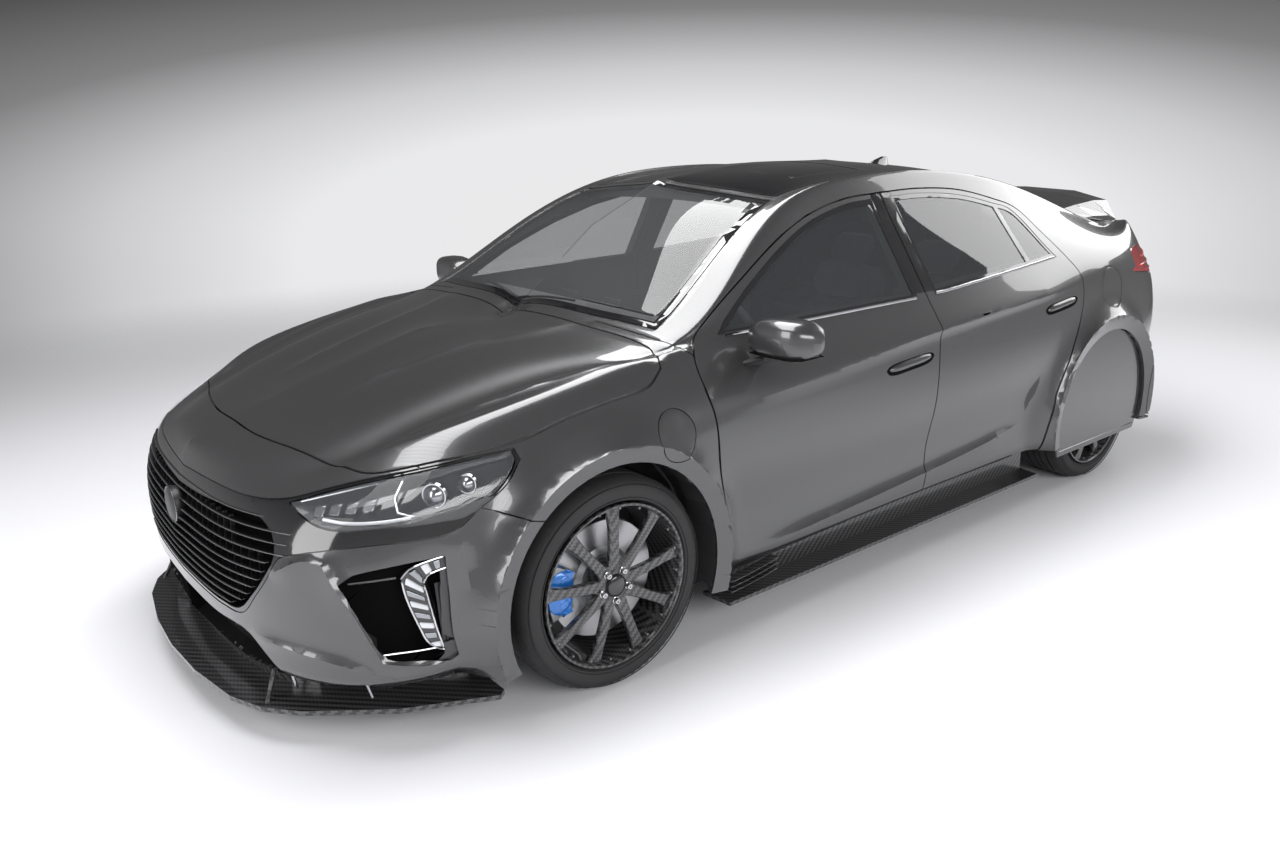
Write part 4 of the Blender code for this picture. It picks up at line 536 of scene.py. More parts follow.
def placed(name: str, mesh: bpy.types.Mesh, finish: str, smooth: float = 35.0) -> bpy.types.Object:
    """Links a mesh as an object with a finish and soft shading.

    Args:
        name: the object's name.
        mesh: its mesh.
        finish: the finish's name.
        smooth: the angle in degrees up to which edges are shaded soft.

    Returns:
        The object.
    """
    obj = bpy.data.objects.new(name, mesh)
    bpy.context.scene.collection.objects.link(obj)
    mesh.validate()
    mesh.materials.clear()
    mesh.materials.append(finish_of(finish))
    for face in mesh.polygons:
        face.use_smooth = True
    mesh.set_sharp_from_angle(angle=math.radians(smooth))
    return obj


def from_grid(name: str, grid: bmesh.types.BMesh, finish: str,
              smooth: float = 35.0) -> bpy.types.Object:
    """Turns a bmesh into an object and frees it.

    Args:
        name: the object's name.
        grid: the bmesh.
        finish: the finish's name.
        smooth: the angle in degrees up to which edges are shaded soft.

    Returns:
        The object.
    """
    mesh = bpy.data.meshes.new(name)
    bmesh.ops.recalc_face_normals(grid, faces=grid.faces)
    grid.to_mesh(mesh)
    grid.free()
    return placed(name, mesh, finish, smooth)


def mirrored(obj: bpy.types.Object, name: str) -> bpy.types.Object:
    """Returns a copy of a piece on the other side of the car.

    Args:
        obj: the piece.
        name: the copy's name.

    Returns:
        The copy.
    """
    twin = obj.copy()
    twin.data = obj.data.copy()
    twin.name = name
    bpy.context.scene.collection.objects.link(twin)
    twin.data.transform(Matrix.Scale(-1, 4, Vector((0, 1, 0))))
    twin.data.flip_normals()
    return twin


def merged(name: str, pieces: list[bpy.types.Object]) -> bpy.types.Object:
    """Joins pieces into one object that keeps each one's finish.

    Args:
        name: the object's name.
        pieces: the pieces.

    Returns:
        The object.
    """
    base = pieces[0]
    with bpy.context.temp_override(active_object=base, object=base, selected_objects=pieces,
                                   selected_editable_objects=pieces):
        bpy.ops.object.join()
    base.name = name
    return base


def lofted(name: str, rings: list[list], finish: str, caps: bool = True, closed: bool = True,
           loop: bool = False, smooth: float = 35.0) -> bpy.types.Object:
    """Skins a row of rings with the same number of points.

    Args:
        name: the piece's name.
        rings: rows of points.
        finish: the finish's name.
        caps: whether the ends are closed.
        closed: whether each ring closes on itself.
        loop: whether the last ring joins the first.
        smooth: the shading angle in degrees.

    Returns:
        The object.
    """
    size = len(rings[0])
    verts = [p for ring in rings for p in ring]
    faces: list = []
    for i in range(len(rings) if loop else len(rings) - 1):
        a, b = i * size, (i + 1) % len(rings) * size
        for k in range(size if closed else size - 1):
            m = (k + 1) % size
            faces.append((a + k, a + m, b + m, b + k))
    if caps and not loop:
        faces.append(list(range(size)))
        faces.append(list(range(len(verts) - size, len(verts))))
    obj = new_piece(name, verts, faces, finish, smooth)
    grid = bmesh.new()
    grid.from_mesh(obj.data)
    bmesh.ops.recalc_face_normals(grid, faces=grid.faces)
    grid.to_mesh(obj.data)
    grid.free()
    obj.data.set_sharp_from_angle(angle=math.radians(smooth))
    return obj


def rounded(obj: bpy.types.Object, width: float, segments: int = 2) -> bpy.types.Object:
    """Rounds a piece's sharp edges and applies the change.

    Args:
        obj: the piece.
        width: how far the edges are cut back.
        segments: the steps of the rounding.

    Returns:
        The same piece.
    """
    tool = obj.modifiers.new("round", "BEVEL")
    tool.width = width
    tool.segments = segments
    tool.limit_method = "ANGLE"
    tool.angle_limit = math.radians(35)
    return applied(obj)


def applied(obj: bpy.types.Object) -> bpy.types.Object:
    """Applies every modifier of a piece.

    Args:
        obj: the piece.

    Returns:
        The same piece.
    """
    graph = bpy.context.evaluated_depsgraph_get()
    mesh = bpy.data.meshes.new_from_object(obj.evaluated_get(graph))
    old = obj.data
    obj.modifiers.clear()
    obj.data = mesh
    bpy.data.meshes.remove(old)
    return obj


def tube(name: str, path: list, radius: float, finish: str, sides: int = 10, flat: float = 1.0,
         loop: bool = False) -> bpy.types.Object:
    """Sweeps a round or flattened section along a path.

    Args:
        name: the piece's name.
        path: the points of its centre line.
        radius: its half width.
        finish: the finish's name.
        sides: how many sides the section has.
        flat: the section's height as a share of its width.
        loop: whether the path closes on itself.

    Returns:
        The object.
    """
    points = [Vector(p) for p in path]
    rings = []
    for i, at in enumerate(points):
        after = points[(i + 1) % len(points)] if loop or i + 1 < len(points) else at
        before = points[i - 1] if loop or i else at
        along = (after - before).normalized()
        side = along.cross(Vector((0, 0, 1)))
        side = side.normalized() if side.length > 1e-4 else Vector((0, 1, 0))
        up = side.cross(along)
        rings.append([at + side * (math.cos(math.tau * k / sides) * radius)
                      + up * (math.sin(math.tau * k / sides) * radius * flat)
                      for k in range(sides)])
    return lofted(name, rings, finish, loop=loop)


def turned(name: str, profile: list[Point2], centre: Point3, finish: str, count: int = 96,
           smooth: float = 35.0) -> bpy.types.Object:
    """Turns a closed profile of radius and y about the line across the car through a centre.

    Args:
        name: the piece's name.
        profile: pairs of radius and y.
        centre: the centre's x and z, with y unused.
        finish: the finish's name.
        count: how many steps the turn has.
        smooth: the shading angle in degrees.

    Returns:
        The object.
    """
    rings = []
    for i in range(count):
        a = math.tau * i / count
        rings.append([(centre[0] + r * math.cos(a), y, centre[2] + r * math.sin(a))
                      for r, y in profile])
    return lofted(name, rings, finish, loop=True, smooth=smooth)


def slab(name: str, outline: list, view: View, low: float, high: float, finish: str,
         round_by: float = 0.0) -> bpy.types.Object:
    """Gives a flat outline a thickness along its view.

    Args:
        name: the piece's name.
        outline: points across and up in the view.
        view: the view that it is drawn in.
        low: where it starts along the outward axis.
        high: where it ends.
        finish: the finish's name.
        round_by: how far its edges are rounded.

    Returns:
        The object.
    """
    rings = [[view.across * p[0] + view.up * p[1] + view.out * depth for p in outline]
             for depth in (low, high)]
    obj = lofted(name, rings, finish)
    return rounded(obj, round_by) if round_by else obj


def box_piece(name: str, low: Point3, high: Point3, finish: str,
              round_by: float = 0.004) -> bpy.types.Object:
    """Makes a block with rounded edges between two corners."""
    outline = [(low[0], low[1]), (high[0], low[1]), (high[0], high[1]), (low[0], high[1])]
    return slab(name, outline, View.TOP, low[2], high[2], finish, round_by)


# ---------------------------------------------------------------- the skin


class Zone(IntEnum):
    """The parts that the skin is cut into."""

    FRESH = -2  # given up by a mark that is still being made
    GAP = -1  # left out
    SHELL = 0
    HOOD = 1
    SCREEN = 2
    SCREEN_EDGE = 3
    ROOF = 4
    HATCH = 5
    HATCH_GLASS = 6
    HATCH_EDGE = 7
    FRONT_DOOR = 8
    REAR_DOOR = 9
    FRONT_FRAME = 10
    REAR_FRAME = 11
    FRONT_GLASS = 12
    REAR_GLASS = 13
    FENDER = 14
    BUMPER = 15
    TAIL_BUMPER = 16
    LAMP = 17
    TAIL_LAMP = 18
    MASK = 19
    GRILLE = 20
    INTAKE = 21
    LOW_INTAKE = 22
    TAIL_BLACK = 23
    FLAP = 24
    REAR_FLAP = 25
    SUNROOF = 26
    PILLAR = 27
    REAR_PILLAR = 28


@dataclass
class Skin:
    """The smooth outer surface of the left half of the car, grown from its feature lines."""

    plan: tuple = (
        (0.991, 0.00), (0.987, 0.29), (0.972, 0.51), (0.938, 0.705), (0.875, 0.86),
        (0.765, 0.94), (0.586, 0.98), (0.420, 0.985), (0.250, 0.99), (0.070, 0.99),
        (-0.060, 0.99), (-0.260, 0.99), (-0.440, 0.985), (-0.604, 0.98), (-0.770, 0.955),
        (-0.885, 0.88), (-0.948, 0.74), (-0.978, 0.55), (-0.992, 0.30), (-1.000, 0.00),
    )
    knots: tuple = (0, 4, 6, 10, 13, 15, 19)
    heights: tuple = (
        (0.121, 0.119, 0.126, 0.143, 0.143, 0.150, 0.160),
        (0.168, 0.170, 0.180, 0.186, 0.190, 0.200, 0.215),
        (0.262, 0.275, 0.285, 0.295, 0.320, 0.340, 0.345),
        (0.370, 0.390, 0.420, 0.425, 0.460, 0.480, 0.490),
        (0.455, 0.480, 0.530, 0.570, 0.610, 0.625, 0.640),
        (0.512, 0.535, 0.626, 0.678, 0.720, 0.745, 0.760),
    )
    insets: tuple = (
        (0.045, 0.085, 0.070, 0.110, 0.100, 0.120, 0.130),
        (0.012, 0.010, 0.030, 0.040, 0.040, 0.050, 0.040),
        (0.000, 0.000, 0.030, 0.032, 0.025, 0.010, 0.005),
        (0.003, 0.000, 0.000, 0.000, 0.000, 0.000, 0.020),
        (0.045, 0.060, 0.022, 0.006, 0.015, 0.050, 0.120),
        (0.125, 0.185, 0.125, 0.075, 0.100, 0.150, 0.190),
    )
    top: tuple = (
        ((0.768, 0.655, 0.572), (0.795, 0.51, 0.582), (0.820, 0.28, 0.575), (0.833, 0.0, 0.574)),
        ((0.590, 0.740, 0.640), (0.608, 0.565, 0.656), (0.626, 0.29, 0.656), (0.639, 0.0, 0.656)),
        ((0.430, 0.832, 0.676), (0.441, 0.765, 0.688), (0.467, 0.39, 0.706), (0.476, 0.0, 0.710)),
        ((0.265, 0.760, 0.818), (0.289, 0.680, 0.833), (0.313, 0.36, 0.852), (0.322, 0.0, 0.858)),
        ((0.106, 0.668, 0.918), (0.145, 0.592, 0.940), (0.165, 0.31, 0.956), (0.172, 0.0, 0.962)),
        ((-0.053, 0.647, 0.950), (-0.035, 0.576, 0.976), (-0.022, 0.30, 0.994),
         (-0.018, 0.0, 1.000)),
        ((-0.260, 0.641, 0.946), (-0.247, 0.571, 0.973), (-0.233, 0.30, 0.993),
         (-0.229, 0.0, 1.000)),
        ((-0.450, 0.652, 0.904), (-0.441, 0.582, 0.933), (-0.432, 0.30, 0.961),
         (-0.427, 0.0, 0.969)),
        ((-0.626, 0.655, 0.834), (-0.626, 0.587, 0.862), (-0.626, 0.30, 0.896),
         (-0.626, 0.0, 0.905)),
        ((-0.784, 0.674, 0.770), (-0.793, 0.590, 0.788), (-0.806, 0.30, 0.815),
         (-0.811, 0.0, 0.822)),
    )
    sharp: tuple = ((0, 1.0), (1, 0.35), (4, 0.3), (5, 0.35))
    levels: int = 3
    front_corner: int = 4
    rear_corner: int = 15
    flares: tuple = ((FRONT_AXLE_X, HALF_WIDTH + 0.010, 0.050, 0.085),
                     (REAR_AXLE_X, HALF_WIDTH + 0.030, 0.062, 0.105))
    flare_inner_share: float = 0.55
    ridge_rise: float = 0.004
    ridge_drop: float = 0.006
    lip_dip: float = 0.012
    margin: float = 0.05
    band_half: float = 0.035
    band_end: float = 0.02
    fit_rounds: int = 6
    grid: bmesh.types.BMesh = field(default=None, repr=False)
    tree: BVHTree = field(default=None, repr=False)

    def eased(self, values: tuple) -> list[float]:
        """Returns a value at every column from the ones at the knot columns.

        Args:
            values: the values at the knot columns.

        Returns:
            The values at all columns.
        """
        knots = np.array(self.knots, float)
        data = np.array(values, float)
        slopes = np.gradient(data, knots)
        found = []
        for at in range(self.knots[-1] + 1):
            k = min(int(np.searchsorted(knots, at, "right")) - 1, len(knots) - 2)
            span = knots[k + 1] - knots[k]
            t = (at - knots[k]) / span
            found.append((2 * t**3 - 3 * t**2 + 1) * data[k]
                         + (t**3 - 2 * t**2 + t) * span * slopes[k]
                         + (3 * t**2 - 2 * t**3) * data[k + 1]
                         + (t**3 - t**2) * span * slopes[k + 1])
        return found

    def feature_points(self) -> dict:
        """Returns the left half's feature points by line and column.

        Returns:
            The points by line and column.
        """
        plan = [Vector((x_of(u), y_of(v))) for u, v in self.plan]
        last = len(plan) - 1
        points = {}
        for line, (heights, insets) in enumerate(zip(self.heights, self.insets)):
            height, inset = self.eased(heights), self.eased(insets)
            for column, at in enumerate(plan):
                along = plan[min(column + 1, last)] - plan[max(column - 1, 0)]
                inward = Vector((along.y, -along.x)).normalized()
                if column in (0, last):
                    inward = Vector((-1 if column == 0 else 1, 0))
                if inward.dot(-at) < 0:
                    inward = -inward
                spot = at + inward * y_of(inset[column])
                points[line, column] = Vector((spot.x, spot.y, z_of(height[column])))
        for row, places in enumerate(self.top):
            for k, (u, v, w) in enumerate(places):
                points[6 + k, self.front_corner + 1 + row] = Vector((x_of(u), y_of(v), z_of(w)))
        for k in range(4):
            points[6 + k, self.front_corner] = points[5, self.front_corner - 1 - k]
            points[6 + k, self.rear_corner] = points[5, self.rear_corner + 1 + k]
        return points

    def cage(self) -> tuple[np.ndarray, list, dict]:
        """Returns the whole cage: points, faces and how sharp its marked edges are.

        Returns:
            The points, the faces, and the sharpness by pair of points.
        """
        half = self.feature_points()
        verts: list = []
        index: dict = {}

        def vertex(line: int, column: int, side: int) -> int:
            """Returns the number of a cage point, made once."""
            spot = half[line, column]
            key = (round(spot.x, 6), round(spot.y * side, 6), round(spot.z, 6))
            if key not in index:
                index[key] = len(verts)
                verts.append([spot.x, spot.y * side, spot.z])
            return index[key]

        faces, creases = [], {}
        last = len(self.plan) - 1
        for side in (1, -1):
            for column in range(last):
                for line in range(9):
                    if line > 4 and not self.front_corner <= column < self.rear_corner:
                        continue
                    faces.append([vertex(line, column, side), vertex(line, column + 1, side),
                                  vertex(line + 1, column + 1, side),
                                  vertex(line + 1, column, side)])
                for line, strength in self.sharp:
                    creases[tuple(sorted((vertex(line, column, side),
                                          vertex(line, column + 1, side))))] = strength
        for column in range(last):
            ring = [vertex(0, column, 1), vertex(0, column + 1, 1), vertex(0, column + 1, -1),
                    vertex(0, column, -1)]
            faces.append(list(dict.fromkeys(ring)))
        return np.array(verts), faces, creases

    def fitted(self, verts: np.ndarray, faces: list, creases: dict) -> np.ndarray:
        """Returns the cage moved so that its smooth surface passes through the feature points.

        Args:
            verts: the points.
            faces: the faces.
            creases: the sharpness by pair of points.

        Returns:
            The moved points.
        """
        near = [set() for _ in verts]
        across: list = [[] for _ in verts]
        for face in faces:
            for k, v in enumerate(face):
                near[v] |= {face[k - 1], face[(k + 1) % len(face)]}
                across[v].append(face[(k + 2) % len(face)])
        ring: list = [[] for _ in verts]
        for (a, b), strength in creases.items():
            if strength >= 1.0:
                ring[a].append(b)
                ring[b].append(a)
        cage = verts.copy()
        for _ in range(self.fit_rounds):
            limit = np.empty_like(cage)
            for v in range(len(cage)):
                n = len(near[v])
                if len(ring[v]) == 2:
                    limit[v] = (4 * cage[v] + cage[ring[v]].sum(axis=0)) / 6
                else:
                    limit[v] = (n * n * cage[v] + 4 * cage[list(near[v])].sum(axis=0)
                                + cage[across[v]].sum(axis=0)) / (n * (n + 5))
            cage += verts - limit
        return cage

    def grow(self) -> None:
        """Builds the fine half sheet that the panels are cut from."""
        verts, faces, creases = self.cage()
        mesh = bpy.data.meshes.new("sheet")
        mesh.from_pydata(self.fitted(verts, faces, creases).tolist(), [], faces)
        obj = bpy.data.objects.new("sheet", mesh)
        bpy.context.scene.collection.objects.link(obj)
        layer = mesh.attributes.new("crease_edge", "FLOAT", "EDGE")
        for edge in mesh.edges:
            layer.data[edge.index].value = creases.get(tuple(sorted(edge.vertices)), 0.0)
        tool = obj.modifiers.new("smooth", "SUBSURF")
        tool.levels = tool.render_levels = self.levels
        applied(obj)
        self.grid = bmesh.new()
        self.grid.from_mesh(obj.data)
        bpy.data.objects.remove(obj)
        g = self.grid
        whole = g.verts[:] + g.edges[:] + g.faces[:]
        bmesh.ops.bisect_plane(g, geom=whole, plane_co=(0, 0, 0), plane_no=(0, -1, 0),
                               clear_outer=True, dist=1e-5)
        bmesh.ops.recalc_face_normals(g, faces=g.faces)
        top = max(g.faces, key=lambda f: f.calc_center_median().z)
        if top.normal.z < 0:
            bmesh.ops.reverse_faces(g, faces=g.faces)
        self.zone = g.faces.layers.int.new("zone")
        self.refresh()

    def refresh(self) -> None:
        """Makes the search tree of the sheet again."""
        self.grid.normal_update()
        self.tree = BVHTree.FromBMesh(self.grid)

    def hit(self, point: Vector, view: View) -> Vector | None:
        """Returns where the skin lies behind a point of a view."""
        start = point + view.out * (LENGTH - point.dot(view.out))
        start.y = max(start.y, 0.002)
        return self.tree.ray_cast(start, -view.out)[0]

    def bulge_arches(self) -> None:
        """Draws the skin out into a wide lip with a ridge round each wheel."""
        for axle, lip, band, blend in self.flares:
            centre = Vector((axle, 0, HUB_Z))
            for radius in (ARCH_RADIUS, ARCH_RADIUS + band):
                self.score(circle((axle, HUB_Z), radius, ARCH_STEPS), View.SIDE)
            for vert in self.grid.verts:
                if vert.co.y < HALF_WIDTH * self.flare_inner_share or vert.normal.z < -0.85:
                    continue
                away = Vector((vert.co.x - centre.x, 0, vert.co.z - centre.z)).length - ARCH_RADIUS
                if away > band + blend or away < -0.06:
                    continue
                ridge = lip + self.ridge_rise
                if away <= band:
                    share = max(away, 0) / band
                    rise = (ridge - lip + self.lip_dip) * share
                    vert.co.y = max(vert.co.y, lip - self.lip_dip + rise)
                else:
                    t = 1 - (away - band) / blend
                    vert.co.y += max(ridge - self.ridge_drop - vert.co.y, 0) * (t**2.2)
        self.refresh()

    def score(self, line: list, view: View, closed: bool = True) -> None:
        """Cuts the sheet's faces along a line of a view, without removing any.

        Args:
            line: points across and up in the view.
            view: the view that the line is drawn in.
            closed: whether the line runs back to its start.
        """
        g = self.grid
        points = [Vector(p) for p in line]
        margin = Vector((self.margin, self.margin))
        low = Vector((min(p.x for p in points), min(p.y for p in points))) - margin
        high = Vector((max(p.x for p in points), max(p.y for p in points))) + margin
        across, up, out = view.across, view.up, view.out
        near: dict = {}
        for face in g.faces:
            if face.normal.dot(out) < 0.02:
                continue
            c = face.calc_center_median()
            u, v = c.dot(across), c.dot(up)
            if low.x < u < high.x and low.y < v < high.y:
                near[face] = (u, v)
        for a, b in zip(points, points[1:] + (points[:1] if closed else [])):
            step = b - a
            size = step.length
            if size < 1e-7:
                continue
            step /= size
            chosen = []
            for face, (u, v) in near.items():
                du, dv = u - a.x, v - a.y
                along = du * step.x + dv * step.y
                near_line = abs(du * step.y - dv * step.x) < self.band_half
                if -self.band_end < along < size + self.band_end and near_line:
                    chosen.append(face)
            if not chosen:
                continue
            geom: set = set(chosen)
            for face in chosen:
                geom.update(face.edges)
                geom.update(face.verts)
            normal = across * -step.y + up * step.x
            result = bmesh.ops.bisect_plane(g, geom=list(geom), dist=1e-5,
                                            plane_co=across * a.x + up * a.y, plane_no=normal)
            for item in result["geom"]:
                if isinstance(item, bmesh.types.BMFace) and item.is_valid:
                    c = item.calc_center_median()
                    near[item] = (c.dot(across), c.dot(up))
            near = {f: at for f, at in near.items() if f.is_valid}

    def faces_in(self, line: list, view: View, only: tuple = (Zone.SHELL,),
                 reach: tuple = EVERYWHERE) -> list:
        """Returns the faces inside a closed line that belong to some zones.

        Args:
            line: points across and up in the view.
            view: the view that the line is drawn in.
            only: the zones that count.
            reach: the span along the outward axis that counts.

        Returns:
            The faces.
        """
        ring = np.array([tuple(p)[:2] for p in line])
        nxt = np.roll(ring, -1, axis=0)
        run = nxt - ring
        found = []
        across, up, out = view.across, view.up, view.out
        low, high = ring.min(axis=0), ring.max(axis=0)
        for face in self.grid.faces:
            if face[self.zone] not in only or face.normal.dot(out) < 0.0:
                continue
            c = face.calc_center_median()
            u, v, w = c.dot(across), c.dot(up), c.dot(out)
            if not (low[0] <= u <= high[0] and low[1] <= v <= high[1]
                    and reach[0] <= w <= reach[1]):
                continue
            crosses = (ring[:, 1] > v) != (nxt[:, 1] > v)
            with np.errstate(divide="ignore", invalid="ignore"):
                place = run[:, 0] * (v - ring[:, 1]) / run[:, 1] + ring[:, 0]
            if int(np.count_nonzero(crosses & (u < place))) % 2:
                found.append(face)
        return found

    def mark(self, line: list, view: View, zone: Zone, gap: float = SEAM,
             only: tuple = (Zone.SHELL,), reach: tuple = EVERYWHERE) -> None:
        """Gives the faces inside a line to a zone, with a seam round them that is left out.

        Args:
            line: points across and up in the view.
            view: the view that the line is drawn in.
            zone: the zone that gets them.
            gap: the seam's width.
            only: the zones that the faces come from.
            reach: the span along the outward axis that counts.
        """
        if gap:
            outer, inner = offset(line, gap / 2), offset(line, -gap / 2)
            self.score(outer, view)
            self.score(inner, view)
            rim = self.faces_in(outer, view, only, reach)
            for face in rim:
                face[self.zone] = Zone.FRESH
            for face in self.faces_in(inner, view, (Zone.FRESH,), reach):
                face[self.zone] = zone
            for face in rim:
                if face[self.zone] == Zone.FRESH:
                    face[self.zone] = Zone.GAP
        else:
            self.score(line, view)
            for face in self.faces_in(line, view, only, reach):
                face[self.zone] = zone

    def crease(self, line: list, view: View, height: float, above: float, below: float,
               ease: float = 0.15) -> None:
        """Raises a sharp line on the skin that fades away on both sides.

        Args:
            line: points across and up in the view, from one end to the other.
            view: the view that the line is drawn in.
            height: how far it stands out.
            above: how far it fades on its upper side.
            below: how far it fades on its lower side.
            ease: the share of the length at each end over which it rises.
        """
        self.score(line, view, closed=False)
        points = np.array([tuple(p)[:2] for p in line])
        seg = points[1:] - points[:-1]
        size = np.linalg.norm(seg, axis=1)
        total = size.sum()
        start = np.concatenate(([0], np.cumsum(size)[:-1]))
        across, up, out = view.across, view.up, view.out
        reach = max(above, below)
        low, high = points.min(axis=0) - reach, points.max(axis=0) + reach
        moves = []
        for vert in self.grid.verts:
            if vert.normal.dot(out) < 0.05:
                continue
            u, v = vert.co.dot(across), vert.co.dot(up)
            if not (low[0] < u < high[0] and low[1] < v < high[1]):
                continue
            rel = np.array((u, v)) - points[:-1]
            t = np.clip((rel * seg).sum(axis=1) / (size**2), 0, 1)
            gone = rel - seg * t[:, None]
            away = np.linalg.norm(gone, axis=1)
            k = int(away.argmin())
            over = seg[k][0] * rel[k][1] - seg[k][1] * rel[k][0] > 0
            span = above if over else below
            if away[k] >= span:
                continue
            along = (start[k] + t[k] * size[k]) / total
            fade = min(along / ease, (1 - along) / ease, 1.0) if ease else 1.0
            moves.append((vert, height * (1 - away[k] / span) ** 1.6 * fade))
        for vert, amount in moves:
            vert.co += out * amount
        self.refresh()


def offset(line: list, distance: float) -> list[Vector]:
    """Returns a closed flat outline moved outwards by a distance.

    Args:
        line: the outline.
        distance: the distance, negative for inwards.

    Returns:
        The moved outline.
    """
    points = [Vector(tuple(p)[:2]) for p in line]
    points = [p for i, p in enumerate(points) if (p - points[i - 1]).length > 1e-6]
    area = sum(a.x * b.y - b.x * a.y for a, b in zip(points, points[1:] + points[:1]))
    turn = 1 if area > 0 else -1
    moved = []
    for i, point in enumerate(points):
        before = (point - points[i - 1]).normalized()
        after = (points[(i + 1) % len(points)] - point).normalized()
        out_a = Vector((before.y, -before.x)) * turn
        out_b = Vector((after.y, -after.x)) * turn
        out = out_a + out_b
        out = out.normalized() if out.length > 1e-6 else out_a
        moved.append(point + out * (distance / max(out.dot(out_a), 0.5)))
    return moved


# ---------------------------------------------------------------- body panels

OPENED = ("front_bumper",)  # the cores whose faces behind an opening are left out
OPENINGS = (Zone.GRILLE, Zone.INTAKE, Zone.LOW_INTAKE)
OPENING_REACH = 0.08
LONG_EDGE = 0.035
NOSE_X = 1.7
CORE_REACH = 0.06
WELD = 0.0007
CALIPER_INNER = 0.115
CALIPER_MIDDLE = 0.15


def side_line(shares: tuple) -> list[Point2]:
    """Returns side-view points from shares."""
    return [(x_of(u), z_of(w)) for u, w in shares]


def top_line(shares: tuple) -> list[Point2]:
    """Returns a top-view outline from shares, closed a little beyond the centre line."""
    line = [(x_of(u), y_of(v)) for u, v in shares]
    return line + [(line[-1][0], PAST_CENTRE), (line[0][0], PAST_CENTRE)]


def at_corner(points: list) -> list[Point2]:
    """Returns points as the corner view sees them."""
    return [View.CORNER.flat(Vector(p)) for p in points]


